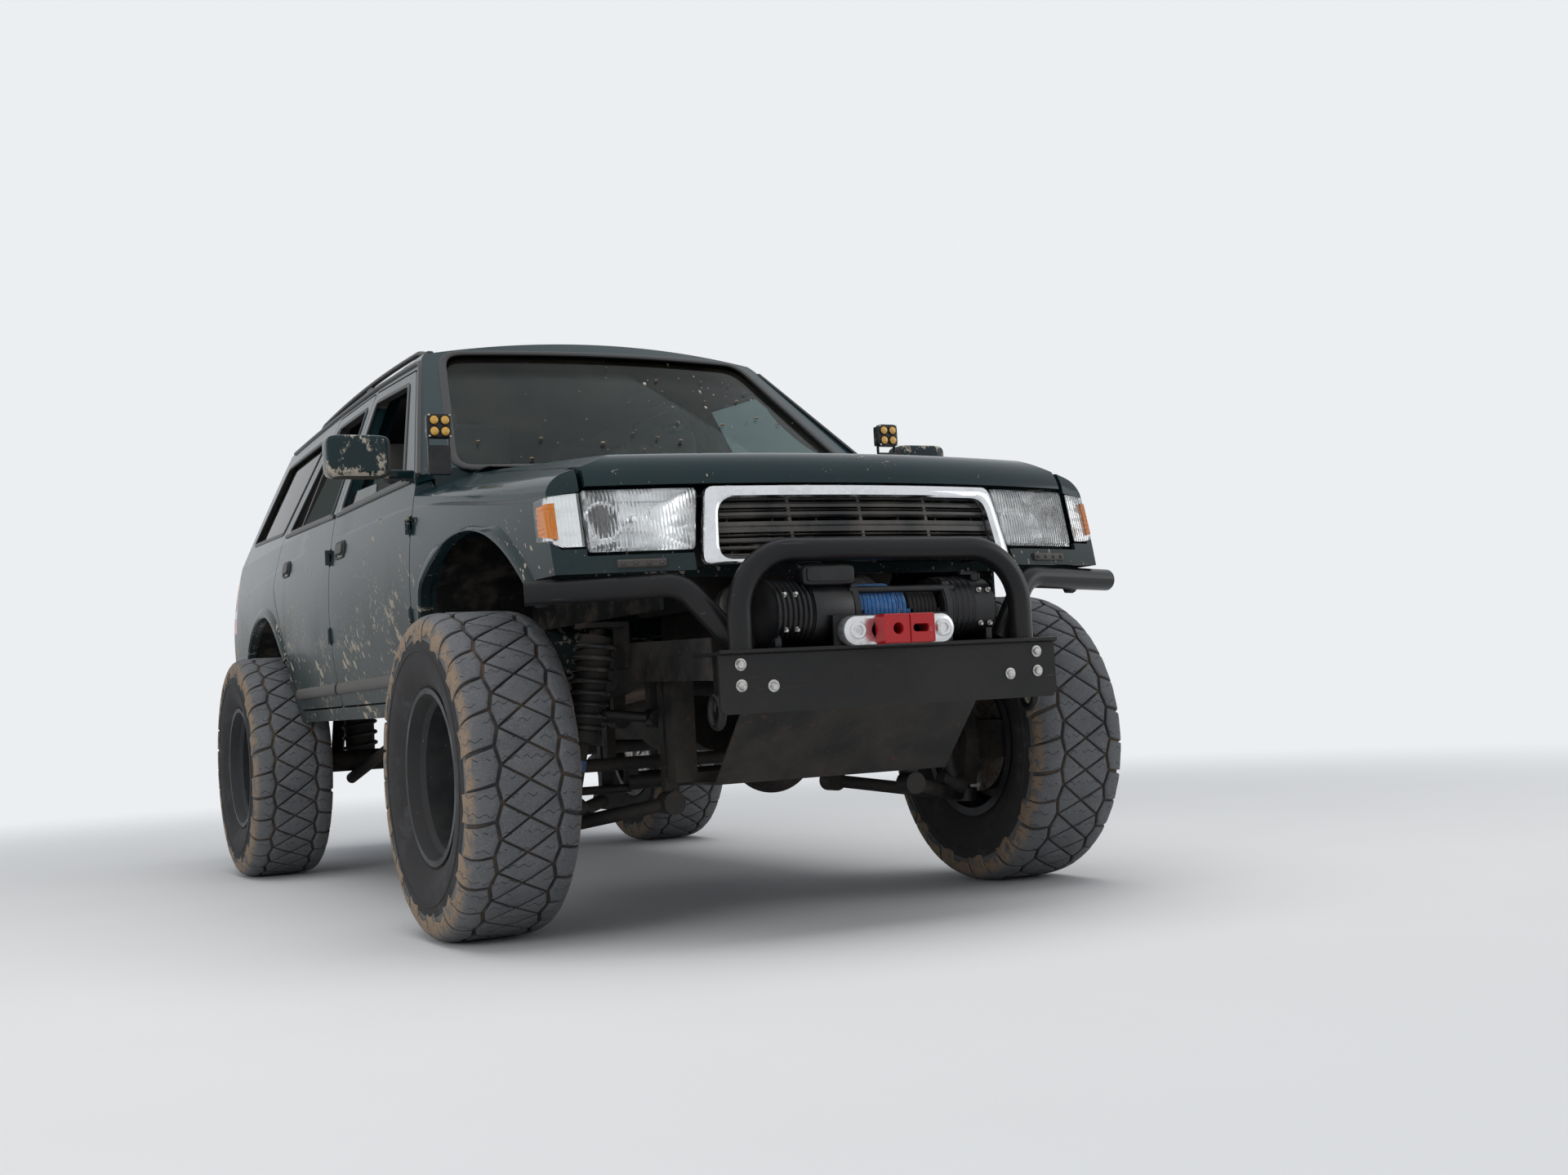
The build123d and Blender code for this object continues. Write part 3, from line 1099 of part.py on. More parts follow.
# Engine, gearbox, transfer case and shafts
BETWEEN_RAILS = RAIL_HALF - RAIL_WIDTH / 2 - SEAT_GAP
with BuildPart() as engine_block:
    block((-240, behind(-380), 600), (240, behind(250), 1080))
    block((-BETWEEN_RAILS, behind(-80), 700), (BETWEEN_RAILS, behind(0), 740))
finish("engine_block", engine_block.part)
with BuildPart() as driveline:
    add(rod((0, behind(250.3), 560), (0, behind(640), 560), 122))
    add(rod((0, behind(600), 560), (0, behind(1150), 560), 560 - GEARBOX_TAIL_LOW - SEAT_GAP))
    block((-60, behind(920), 500), (210, behind(1040), 640))
    add(rod((0, behind(1150), 560), (0, behind(WHEELBASE - 261), AXLE_HEIGHT + 13), 32))
    add(rod((150, behind(980), 540), (100, behind(150), 450), 26))
    with Locations((60, behind(40), AXLE_HEIGHT + 6)):
        Sphere(122)
    shaft_half = KINGPIN_HALF - SHAFT_SHORT
    add(rod((-shaft_half, behind(0), AXLE_HEIGHT), (shaft_half, behind(0), AXLE_HEIGHT), 18))
finish("driveline", driveline.part)

# Skid plate under the nose
SKID_HALF = 345.0
with BuildPart() as skid_plate:
    with BuildSketch(side_plane(-SKID_HALF)):
        with BuildLine():
            low = [(-650, 588), (-440, SKID_Z - 6), (-240, SKID_Z - 6)]
            high = [(-240, SKID_Z), (-437, SKID_Z), (-641, 590.7), (-650, 590.7)]
            Polyline([(behind(y), z) for y, z in low + high], close=True)
        make_face()
    extrude(amount=2 * SKID_HALF)
finish("skid_plate", skid_plate.part)

# Exhaust and tank
EXHAUST_X = -250.0
with BuildPart() as exhaust:
    front_pipe = [(-200, 255, 640), (EXHAUST_X, 700, 600), (EXHAUST_X, 1180, 600), (EXHAUST_X, 1450, 500)]
    tail_pipe = [(EXHAUST_X, 1850, 500), (EXHAUST_X, 2050, 500), (EXHAUST_X, 2260, 566)]
    for run in (front_pipe, tail_pipe):
        add(tube([(x, behind(y), z) for x, y, z in run], 60, 32))
    add(rod((EXHAUST_X, behind(1400), 500), (EXHAUST_X, behind(1900), 500), 90))
    for y, low, high in ((1350, 537, 600.5), (2240, 560, 653.5)):
        add(rod((EXHAUST_X, behind(y), low), (EXHAUST_X, behind(y), high), 7))
finish("exhaust", exhaust.part)
with BuildPart() as fuel_tank:
    block((60, behind(1400), 480), (BETWEEN_RAILS, behind(2100), 640))
    fillet(fuel_tank.edges().filter_by(Axis.Y), radius=40)
finish("fuel_tank", fuel_tank.part)

# Winch bumper: bent plate and tray, hoop and side tubes welded on
PLATE_FRONT_Y = behind(-785)
PLATE_THICKNESS = 8.0
PLATE_HALF = 482.0
PLATE_Z = (551.0, 700.0)
PLATE_OUTLINE = [
    (PLATE_HALF - 12, PLATE_Z[0]), (PLATE_HALF, PLATE_Z[0] + 14), (PLATE_HALF, PLATE_Z[1]),
    (168, PLATE_Z[1]), (168, 778),
]
PLATE_BOLTS = ((425, 668), (425, 618), (340, 614))
TRAY_BACK_Y = behind(-640.3)
FAIRLEAD_Z = 737.0
FAIRLEAD_BOLT_HALF = 127.0
FAIRLEAD_BOLT_RADIUS = 9.0
HOOP_TOP_Z = 942.0
HOOP_HALF = 405.0
HOOP_Y = behind(-752)
with BuildPart() as winch_bumper:
    with BuildSketch(front_plane(PLATE_FRONT_Y + PLATE_THICKNESS)):
        with BuildLine():
            Polyline(both_ways(PLATE_OUTLINE), close=True)
        make_face()
        for side in (-1, 1):
            with Locations(*[(side * x, z) for x, z in PLATE_BOLTS]):
                Circle(6.5, mode=Mode.SUBTRACT)
        with Locations((-FAIRLEAD_BOLT_HALF, FAIRLEAD_Z), (FAIRLEAD_BOLT_HALF, FAIRLEAD_Z)):
            Circle(FAIRLEAD_BOLT_RADIUS, mode=Mode.SUBTRACT)
        with Locations((0, FAIRLEAD_Z)):
            SlotOverall(150, 40, mode=Mode.SUBTRACT)
    extrude(amount=PLATE_THICKNESS)
    tray_low = (-PLATE_HALF, PLATE_FRONT_Y, PLATE_Z[1] - PLATE_THICKNESS)
    block(tray_low, (PLATE_HALF, TRAY_BACK_Y, PLATE_Z[1]))
    for side in (-1, 1):
        side_block(side, (320, 430), (PLATE_FRONT_Y, PLATE_Z[0] + 40), (TRAY_BACK_Y, PLATE_Z[1]))
    # Hoop over the winch, and a tube out to each side
    foot_z = PLATE_Z[1] - 2
    half_hoop = [(HOOP_HALF, HOOP_Y, HOOP_TOP_Z), (HOOP_HALF, HOOP_Y, foot_z)]
    add(tube([(-x, y, z) for x, y, z in reversed(half_hoop)] + half_hoop, 150))
    side_tube = [(862, behind(-528), 866), (505, behind(-648), 872), (368, behind(-700), foot_z)]
    for side in (-1, 1):
        add(tube([(side * x, y, z) for x, y, z in side_tube], 90))
finish("winch_bumper", winch_bumper.part)

# Winch, its rope, fairlead and link
WINCH_Y = behind(-690)
WINCH_Z = 790.0
with BuildPart() as winch:
    add(rod((-311, WINCH_Y, WINCH_Z), (-80, WINCH_Y, WINCH_Z), 84))
    add(rod((175, WINCH_Y, WINCH_Z), (330, WINCH_Y, WINCH_Z), 84))
    add(rod((-90, WINCH_Y, WINCH_Z), (185, WINCH_Y, WINCH_Z), 34))
    for x in (-80, 165):
        add(rod((x, WINCH_Y, WINCH_Z), (x + 10, WINCH_Y, WINCH_Z), 80))
    for x in (-300, -100, 190, 310):
        block((x - 9, WINCH_Y - 50, PLATE_Z[1] + SEAT_GAP), (x + 9, WINCH_Y + 50, WINCH_Z))
    block((-230, behind(-762), 852), (-82, behind(-706), 906))
    for y in (WINCH_Y - 62, WINCH_Y + 62):
        add(rod((-100, y, WINCH_Z + 50), (200, y, WINCH_Z + 50), 8))
finish("winch", winch.part)
with BuildPart() as winch_rope:
    add(rod((-69.5, WINCH_Y, WINCH_Z), (164.5, WINCH_Y, WINCH_Z), 60))
    add(rod((-70, WINCH_Y, WINCH_Z), (165, WINCH_Y, WINCH_Z), 34 + SEAT_GAP), mode=Mode.SUBTRACT)
finish("winch_rope", winch_rope.part)
FAIRLEAD_Y = PLATE_FRONT_Y - SEAT_GAP
FAIRLEAD_DEPTH = 36.0
with BuildPart() as fairlead:
    with BuildSketch(front_plane(FAIRLEAD_Y, FAIRLEAD_Z)):
        SlotOverall(320, 76)
        SlotOverall(150, 30, mode=Mode.SUBTRACT)
        with Locations((-FAIRLEAD_BOLT_HALF, 0), (FAIRLEAD_BOLT_HALF, 0)):
            Circle(FAIRLEAD_BOLT_RADIUS, mode=Mode.SUBTRACT)
    extrude(amount=FAIRLEAD_DEPTH)
finish("fairlead", fairlead.part)
LINK_BACK_Y = FAIRLEAD_Y - FAIRLEAD_DEPTH - SEAT_GAP
with BuildPart() as rope_link:
    with BuildSketch(front_plane(LINK_BACK_Y, FAIRLEAD_Z)):
        RectangleRounded(144, 72, 10)
        with Locations((-34, 0)):
            Circle(13, mode=Mode.SUBTRACT)
        with Locations((32, 0)):
            SlotOverall(44, 18, mode=Mode.SUBTRACT)
    extrude(amount=FRONT_REACH + LINK_BACK_Y - FRONT_AXLE_Y)
finish("rope_link", rope_link.part)

# Light pods on the cowl
with BuildPart() as light_pods:
    for side in (-1, 1):
        x, y, z = side * 760, behind(459), 1431
        block((x - 38, y - 24, z - 38), (x + 38, y + 24, z + 38))
        block((x - 34, y - 4, 1200), (x + 34, y + 4, z - 30))
    add(body_form(-SEAT_GAP), mode=Mode.SUBTRACT)
finish("light_pods", light_pods.part)

# Wipers at the foot of the windshield
with BuildPart() as wipers:
    for x in (-330, 150):
        add(rod((x, behind(395), COWL_Z + 14), (x + 420, behind(400), COWL_Z + 20), 7))
        add(rod((x, behind(395), COWL_Z + SEAT_GAP), (x, behind(395), COWL_Z + 18), 12))
finish("wipers", wipers.part)

# Rear bumper with a tow receiver
RECEIVER_HALF = 31.75
RECEIVER_WALL = 6.0
RECEIVER_PIN_RADIUS = 8.0
REAR_BUMPER_Z = 690.0
REAR_BUMPER_HEIGHT = 165.0
REAR_BUMPER_BACK_Y = behind(3560.5)
REAR_BUMPER_OUTER = [(790, behind(3330)), (790, behind(3560)), (680, behind(REAR_REACH))]
REAR_BUMPER_INNER = [(660, REAR_BUMPER_BACK_Y), (700, behind(3520)), (700, behind(3330))]
with BuildPart() as rear_bumper:
    with BuildSketch(Plane.XY.offset(REAR_BUMPER_Z)):
        with BuildLine():
            inside = [(-x, y) for x, y in reversed(REAR_BUMPER_INNER)] + REAR_BUMPER_INNER
            Polyline(both_ways(REAR_BUMPER_OUTER) + inside, close=True)
        make_face()
    extrude(amount=REAR_BUMPER_HEIGHT)
    receiver_low = (-RECEIVER_HALF, REAR_BUMPER_BACK_Y, REAR_BUMPER_Z - 2 * RECEIVER_HALF)
    block(receiver_low, (RECEIVER_HALF, behind(REAR_REACH), REAR_BUMPER_Z + 2))
    bore = RECEIVER_HALF - RECEIVER_WALL
    middle = REAR_BUMPER_Z - RECEIVER_HALF
    bore_end = (bore, behind(REAR_REACH + 10), middle + bore)
    block((-bore, behind(3540), middle - bore), bore_end, mode=Mode.SUBTRACT)
    with BuildSketch(side_plane(-RECEIVER_HALF - 1, behind(REAR_REACH - 44), middle)):
        Circle(RECEIVER_PIN_RADIUS)
    extrude(amount=2 * RECEIVER_HALF + 2, mode=Mode.SUBTRACT)
finish("rear_bumper", rear_bumper.part)

# Roof rails on feet
with BuildPart() as roof_rails:
    for side in (-1, 1):
        x = side * 520
        for y in (1350, 2100, 2950):
            block((x - 18, behind(y) - 40, 1790), (x + 18, behind(y) + 40, 1856))
        add(rod((x, behind(1300), 1862), (x, behind(3000), 1862), 15))
    add(OUTER, mode=Mode.SUBTRACT)
finish("roof_rails", roof_rails.part)

# Dashboard with column and steering wheel, and the seats
DASHBOARD_HALF = 606.0
DASHBOARD_SIDE = [
    (380.3, 1084), (525, 1080), (560, 1000), (640, 1060), (660, 1180), (600, 1254), (470, 1254), (380.3, 1240),
]
COLUMN_FOOT = (350, behind(600), 1130)
COLUMN_HEAD = (350, behind(800), 1180)
WHEEL_RADIUS = 190.0
WHEEL_GRIP = 25.0
with BuildPart() as dashboard:
    with BuildSketch(side_plane(-DASHBOARD_HALF)):
        with BuildLine():
            Polyline([(behind(y), z) for y, z in DASHBOARD_SIDE], close=True)
        face = make_face()
        fillet(face.vertices(), radius=20)
    extrude(amount=2 * DASHBOARD_HALF)
    add(rod(COLUMN_FOOT, COLUMN_HEAD, 28))
    with BuildSketch(Plane(origin=COLUMN_HEAD, x_dir=(1, 0, 0), z_dir=(0, 200, 50))):
        Circle(WHEEL_RADIUS)
        Circle(WHEEL_RADIUS - WHEEL_GRIP, mode=Mode.SUBTRACT)
        with PolarLocations(90, 3, start_angle=-90):
            Rectangle(170, 34)
    extrude(amount=22)
finish("dashboard", dashboard.part)
SEAT_SIDE = [(0, 0), (480, -30), (520, 60), (560, 520), (600, 760), (520, 790), (430, 160), (20, 150)]
# Each seat's edges in X, distance behind the front axle and height of its front lower edge
SEATS = [(110, 610, 850, 830), (-610, -110, 850, 830), (-600, 600, 1610, 880)]
with BuildPart() as seats:
    for x_low, x_high, y, z in SEATS:
        with BuildSketch(side_plane(x_low)):
            with BuildLine():
                Polyline([(behind(y) + along, z + up) for along, up in SEAT_SIDE], close=True)
            face = make_face()
            fillet(face.vertices(), radius=25)
        extrude(amount=x_high - x_low)
        block((x_low + 60, behind(y) + 60, FLOOR_Z + SEAT_GAP), (x_high - 60, behind(y) + 400, z + 20))
finish("seats", seats.part)
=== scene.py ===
from math import pi, radians, sqrt, tan

import bpy
import numpy as np
from mathutils import Matrix, Vector


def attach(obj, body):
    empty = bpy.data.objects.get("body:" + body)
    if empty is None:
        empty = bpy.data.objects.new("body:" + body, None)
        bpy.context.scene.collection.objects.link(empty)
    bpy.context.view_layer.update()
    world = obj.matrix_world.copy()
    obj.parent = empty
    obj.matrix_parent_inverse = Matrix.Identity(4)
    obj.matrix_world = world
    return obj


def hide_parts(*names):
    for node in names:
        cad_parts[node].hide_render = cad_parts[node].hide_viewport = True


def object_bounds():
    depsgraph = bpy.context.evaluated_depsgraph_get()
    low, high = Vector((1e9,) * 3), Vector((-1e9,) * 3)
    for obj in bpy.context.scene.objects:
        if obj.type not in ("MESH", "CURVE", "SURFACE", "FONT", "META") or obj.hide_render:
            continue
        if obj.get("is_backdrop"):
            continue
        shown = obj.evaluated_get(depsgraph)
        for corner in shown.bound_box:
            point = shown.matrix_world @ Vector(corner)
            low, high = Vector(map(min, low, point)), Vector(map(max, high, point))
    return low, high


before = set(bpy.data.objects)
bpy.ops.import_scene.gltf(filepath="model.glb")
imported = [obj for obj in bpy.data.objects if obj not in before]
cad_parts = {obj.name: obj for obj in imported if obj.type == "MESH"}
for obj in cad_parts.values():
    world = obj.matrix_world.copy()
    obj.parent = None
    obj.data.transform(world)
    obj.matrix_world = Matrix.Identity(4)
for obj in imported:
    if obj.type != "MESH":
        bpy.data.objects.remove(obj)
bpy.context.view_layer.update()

# The viewpoint. A person crouching off the right front corner, four and a half metres ahead of the axle,
# holding the camera a little turned and tipped back.
turned_head = Matrix.Rotation(radians(-27.47), 3, "Z") @ Matrix.Rotation(radians(3.56), 3, "X")
turned_head = turned_head @ Matrix.Rotation(radians(3.20), 3, "Y")
eye = bpy.data.cameras.new("viewpoint")
eye.sensor_width = 36.0
eye.lens = 40.67
eye.clip_end = 200.0
viewpoint = bpy.data.objects.new("viewpoint", eye)
level_lens = Matrix.Rotation(radians(90), 3, "X")
viewpoint.matrix_world = Matrix.Translation((-2.256, -5.968, 0.584)) @ (turned_head @ level_lens).to_4x4()
bpy.context.scene.collection.objects.link(viewpoint)
bpy.context.scene.camera = viewpoint


# The studio. A pale level floor under an even pale surround, with one broad soft panel overhead
# and two weaker ones at the sides, as under a bright overcast sky.
class Wire:
    """One output of a material's nodes. Arithmetic written on it adds Math nodes."""

    def __init__(self, tree, socket=None):
        self.tree = tree
        self.socket = socket

    def node(self, kind, settings=None, sockets=None, output=0):
        """Add a node: its settings first, then a value or a wire for each named socket."""
        made = self.tree.nodes.new(kind)
        for name, value in (settings or {}).items():
            if name == "stops":
                for index, (place, colour) in enumerate(value):
                    ramp = made.color_ramp.elements
                    stop = ramp[index] if index < 2 else ramp.new(place)
                    stop.position = place
                    stop.color = colour
            else:
                setattr(made, name, value)
        for name, value in (sockets or {}).items():
            if isinstance(value, Wire):
                self.tree.links.new(value.socket, made.inputs[name])
            else:
                made.inputs[name].default_value = value
        return Wire(self.tree, made.outputs[output]) if made.outputs else None

    def maths(self, operation, first, second=0.0):
        """A Math node's result."""
        return self.node("ShaderNodeMath", {"operation": operation}, {0: first, 1: second})

    def __add__(self, other):
        return self.maths("ADD", self, other)

    __radd__ = __add__

    def __mul__(self, other):
        return self.maths("MULTIPLY", self, other)

    __rmul__ = __mul__

    def __sub__(self, other):
        return self.maths("SUBTRACT", self, other)

    def __rsub__(self, other):
        return self.maths("SUBTRACT", other, self)

    def __pow__(self, other):
        return self.maths("POWER", self, other)

    def __abs__(self):
        return self.maths("ABSOLUTE", self)

    def sine(self):
        return self.maths("SINE", self)

    def over(self, other):
        """The larger of this and another value."""
        return self.maths("MAXIMUM", self, other)

    def under(self, other):
        """The smaller of this and another value."""
        return self.maths("MINIMUM", self, other)

    def step(self, low, high):
        """A smooth rise from 0 at low to 1 at high, or a fall where high is the smaller."""
        return self.node(
            "ShaderNodeMapRange",
            {"interpolation_type": "SMOOTHSTEP"},
            {"Value": self, "From Min": low, "From Max": high, "To Min": 0.0, "To Max": 1.0},
        )

    def other(self, output):
        """Another output of the same node."""
        return Wire(self.tree, self.socket.node.outputs[output])


def mixed(mask, first, second):
    """Colour first where the mask is 0, second where it is 1."""
    return mask.node("ShaderNodeMix", {"data_type": "RGBA"}, {0: mask, 6: first, 7: second}, output=2)


def link_object(name, data):
    """A new object in the scene."""
    made = bpy.data.objects.new(name, data)
    bpy.context.scene.collection.objects.link(made)
    return made


def seen_by_lens(start):
    """1 for rays that reach the lens, straight or by way of gloss or glass, and 0 for light on its way."""
    rays = start.node("ShaderNodeLightPath", output="Is Camera Ray")
    return rays.over(rays.other("Is Glossy Ray")).over(rays.other("Is Transmission Ray"))


SURROUND = (0.84, 0.86, 0.88, 1.0)
floor_mesh = bpy.data.meshes.new("floor")
FLOOR = 60.0
floor_corners = [(-FLOOR, -FLOOR, 0), (FLOOR, -FLOOR, 0), (FLOOR, FLOOR, 0), (-FLOOR, FLOOR, 0)]
floor_mesh.from_pydata(floor_corners, [], [(0, 1, 2, 3)])
floor = link_object("floor", floor_mesh)
floor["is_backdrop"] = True
floor_finish = bpy.data.materials.new("pale_floor")
floor_finish.use_nodes = True
floor_finish.node_tree.nodes.clear()
start = Wire(floor_finish.node_tree)
place = start.node("ShaderNodeTexCoord", output="Object")
grain = start.node("ShaderNodeTexNoise", sockets={"Vector": place, "Scale": 1.5, "Detail": 5.0})
floor_colour = mixed(grain, (0.72, 0.715, 0.70, 1.0), (0.76, 0.755, 0.745, 1.0))
matt = {"Base Color": floor_colour, "Roughness": 0.9}
floor_surface = start.node("ShaderNodeBsdfPrincipled", sockets=matt)
# Far from the vehicle the floor runs into the surround without a line
how_far = start.node("ShaderNodeVectorMath", {"operation": "LENGTH"}, {0: place}, output="Value")
haze = start.node("ShaderNodeEmission", sockets={"Color": SURROUND, "Strength": 1.0})
fade = how_far.step(2.6, 8.5) * seen_by_lens(start)
floor_fade = start.node("ShaderNodeMixShader", sockets={0: fade, 1: floor_surface, 2: haze})
start.node("ShaderNodeOutputMaterial", sockets={"Surface": floor_fade})
floor_mesh.materials.append(floor_finish)

world = bpy.data.worlds.new("surround")
bpy.context.scene.world = world
world.use_nodes = True
world.node_tree.nodes.clear()
start = Wire(world.node_tree)
lit = start.node("ShaderNodeBackground", sockets={"Color": (0.84, 0.90, 1.0, 1.0), "Strength": 0.42})
shown = start.node("ShaderNodeBackground", sockets={"Color": SURROUND, "Strength": 1.0})
both = start.node("ShaderNodeMixShader", sockets={0: seen_by_lens(start), 1: lit, 2: shown})
start.node("ShaderNodeOutputWorld", sockets={"Surface": both})

# Each panel: name, place, aimed at, width, height and power in watts
PANELS = [
    ("sky_panel", (0.0, -1.0, 6.5), (0.0, 0.0, 0.5), 8.0, 6.0, 330.0),
    ("right_panel", (-6.5, -4.5, 3.2), (0.0, -0.8, 0.9), 4.0, 3.0, 120.0),
    ("left_panel", (6.5, -5.0, 3.0), (0.0, -0.8, 0.9), 4.0, 3.0, 60.0),
]
for name, spot, aim, width, height, power in PANELS:
    lamp = bpy.data.lights.new(name, "AREA")
    lamp.shape = "RECTANGLE"
    lamp.size = width
    lamp.size_y = height
    lamp.energy = power
    light = link_object(name, lamp)
    light.location = spot
    light.rotation_euler = (Vector(spot) - Vector(aim)).to_track_quat("Z", "Y").to_euler()
    # Only the left panel shows as a reflection in paint and glass
    light.visible_glossy = name == "left_panel"
bpy.context.scene.view_settings.view_transform = "Standard"


# The painted panels: shell, hood, fenders, doors and tailgate, pressed steel in dark blue-green with a
# clear coat, dulled by road dust that thickens towards the sills and spattered with pale mud. Inside
# the cab the same panels carry grained grey lining, and round the wheels a black under-seal.
FRONT_AXLE_Y = -1.416
WHEELBASE = 2.675
WHEEL_RADIUS = 0.429
DUST = (0.27, 0.24, 0.20, 1.0)
PALE_MUD = (0.42, 0.37, 0.30, 1.0)


def behind(distance):
    """Row y, in metres, of a station that far behind the front axle."""
    return distance + FRONT_AXLE_Y


def noise(place, scale, detail=4.0, roughness=0.55):
    """Cloudy noise, of so many cells to a metre."""
    sockets = {"Vector": place, "Scale": scale, "Detail": detail, "Roughness": roughness}
    return place.node("ShaderNodeTexNoise", sockets=sockets)


def cells(place, scale):
    """Distance to the nearest of a scatter of points; its Color output is that point's own."""
    return place.node("ShaderNodeTexVoronoi", sockets={"Vector": place, "Scale": scale})


def stretched(place, scale=(1.0, 1.0, 1.0), rotation=(0.0, 0.0, 0.0)):
    """The place with its axes scaled, then turned."""
    return place.node("ShaderNodeMapping", sockets={"Vector": place, "Scale": scale, "Rotation": rotation})


def split(place):
    """The three numbers of a place."""
    x = place.node("ShaderNodeSeparateXYZ", sockets={0: place})
    return x, x.other(1), x.other(2)


def new_finish(name):
    """An empty material, and the place on the object that its nodes start from."""
    made = bpy.data.materials.new(name)
    made.use_nodes = True
    made.node_tree.nodes.clear()
    return made, Wire(made.node_tree).node("ShaderNodeTexCoord", output="Object")


SOCKETS = {
    "metallic": "Metallic",
    "specular": "Specular IOR Level",
    "coat": "Coat Weight",
    "coat_roughness": "Coat Roughness",
    "sheen": "Sheen Weight",
    "clear": "Transmission Weight",
    "ior": "IOR",
}


def close_finish(place, colour, roughness, height=None, distance=0.001, **others):
    """The surface shader, with a bump from a height of 0 to 1 that stands for that distance in metres."""
    sockets = {"Base Color": colour, "Roughness": roughness}
    sockets.update((SOCKETS[name], value) for name, value in others.items())
    if height is not None:
        bump = {"Strength": 1.0, "Distance": distance, "Height": height}
        sockets["Normal"] = place.node("ShaderNodeBump", sockets=bump, output="Normal")
    surface = place.node("ShaderNodeBsdfPrincipled", sockets=sockets)
    place.node("ShaderNodeOutputMaterial", sockets={"Surface": surface})


def road_dust(place, top=1.35, bottom=0.45, least=0.10, most=0.75):
    """How much dust lies on a surface: more towards the ground, in patches and fine grain."""
    x, y, z = split(place)
    low = z.step(top, bottom) * (most - least) + least
    patches = noise(place, 2.2, 6.0, 0.62).step(0.30, 0.72) * 0.9 + 0.35
    fine = noise(place, 60.0, 3.0) * 0.5 + 0.75
    return (low * patches * fine).under(1.0)


def spatter(place, scale, cover, lean):
    """Thrown drops of mud: stretched cells whose size varies from drop to drop, thinned by a slow noise."""
    slanted = stretched(place, rotation=(lean, 0.0, 0.0))
    wobble = noise(place, scale * 1.6, 2.0)
    drop = cells(stretched(slanted, (1.0, 1.0, 0.42)), scale)
    own = split(drop.other("Color"))[0]
    size = own**4.0 * 0.42 * cover
    return (size - drop - wobble * 0.26 + 0.09).step(0.0, 0.03)


panel_paint, place = new_finish("panel_paint")
facing = place.node("ShaderNodeTexCoord", output="Normal")
x, y, z = split(place)
dust = road_dust(place, 1.25, 0.55, 0.03, 0.42)
streaks = noise(stretched(place, (3.0, 16.0, 1.1)), 1.0, 5.0, 0.6).step(0.50, 0.78)
dust = (dust + streaks * z.step(1.25, 0.8) * 0.14).under(1.0)


def thrown(y, z, x, axle_y, fineness):
    """Streaks of mud flung off a wheel: noise that runs along rays from its axle."""
    along, up = y - axle_y, z - 0.35
    ray = up.maths("ARCTAN2", up, along)
    reach = (along * along + up * up) ** 0.5
    fan = x.node("ShaderNodeCombineXYZ", sockets={"X": ray * fineness, "Y": reach * 9.0, "Z": x * 4.0})
    streak = noise(fan, 1.0, 8.0, 0.75)
    near = reach.step(1.9, 0.5) * ray.step(-0.35, 0.05) * ray.step(1.25, 0.70)
    return (streak + near * 0.11).step(0.655, 0.675)


# Mud is thrown up behind each wheel, so it lies thickest on the lower doors and the rear quarter
patches = noise(place, 2.6, 4.0).step(0.40, 0.62)
thrown_area = z.step(1.34, 0.80) * (patches * 0.8 + 0.45)
mud = spatter(place, 30.0, thrown_area * 1.1, 0.9).over(spatter(place, 62.0, thrown_area * 1.3, 0.5) * 0.9)
mud = mud.over(spatter(place, 120.0, thrown_area * 1.5, 0.7) * 0.8)
mud = mud.over(thrown(y, z, x, behind(0.0), 26.0) * 0.85)
mud = mud.over(thrown(y, z, x, behind(WHEELBASE), 26.0) * 0.8)
mud = mud * noise(place, 90.0, 3.0).step(0.30, 0.46)
on_mirror = abs(x).step(0.862, 0.868)
mirror_foot = noise(place, 45.0, 5.0, 0.7) + z.step(1.330, 1.300) * 0.22
splashes = noise(stretched(place, (30.0, 30.0, 17.0)), 1.0, 6.0, 0.7).step(0.56, 0.60)
splashes = splashes.over(mirror_foot.step(0.66, 0.70)) * on_mirror
mud = mud.over(splashes * y.step(behind(0.640), behind(0.625)))
# Which way a face looks from the cab's middle line tells its outside from its inside
axis_y = y.over(-0.6).under(1.7)
middle = place.node("ShaderNodeCombineXYZ", sockets={"Y": axis_y, "Z": 1.12})
outward = place.node("ShaderNodeVectorMath", {"operation": "SUBTRACT"}, {0: place, 1: middle})
outside = place.node(
    "ShaderNodeVectorMath", {"operation": "DOT_PRODUCT"}, {0: outward, 1: facing}, output="Value"
)
inside = outside.step(0.015, -0.015) * y.step(-1.08, -1.06)
normal_x, normal_y, normal_z = split(facing)
across = abs(x)


def wheel_house(axle_y, radius):
    """1 on faces within that reach of an axle line that look towards the wheel, 0 elsewhere."""
    along, up, inboard = y - axle_y, z - WHEEL_RADIUS, across - 0.83
    near = (along * along + up * up).step(radius * radius + 0.01, radius * radius - 0.01)
    looks = normal_x * x.maths("SIGN", x) * inboard + normal_y * along + normal_z * up
    return near * looks.step(0.0, -0.01)


arches = wheel_house(behind(0.0), 0.75).over(wheel_house(behind(WHEELBASE), 0.70))
arches = arches * across.step(0.800, 0.785) * across.step(0.480, 0.495)
underside = normal_z.step(-0.6, -0.8) * z.step(0.80, 0.76)
sealed = arches.over(underside)
flake = noise(place, 900.0, 1.0)
paint = mixed(flake, (0.0035, 0.014, 0.017, 1.0), (0.008, 0.027, 0.032, 1.0))
colour = mixed(dust * 0.38, paint, DUST)
colour = mixed(mud, colour, PALE_MUD)
lining = mixed(noise(place, 7.0), (0.055, 0.053, 0.050, 1.0), (0.075, 0.072, 0.068, 1.0))
caked = noise(place, 14.0, 6.0).step(0.45, 0.7)
seal = mixed(caked, (0.012, 0.012, 0.012, 1.0), (0.060, 0.052, 0.043, 1.0))
colour = mixed(inside, colour, lining)
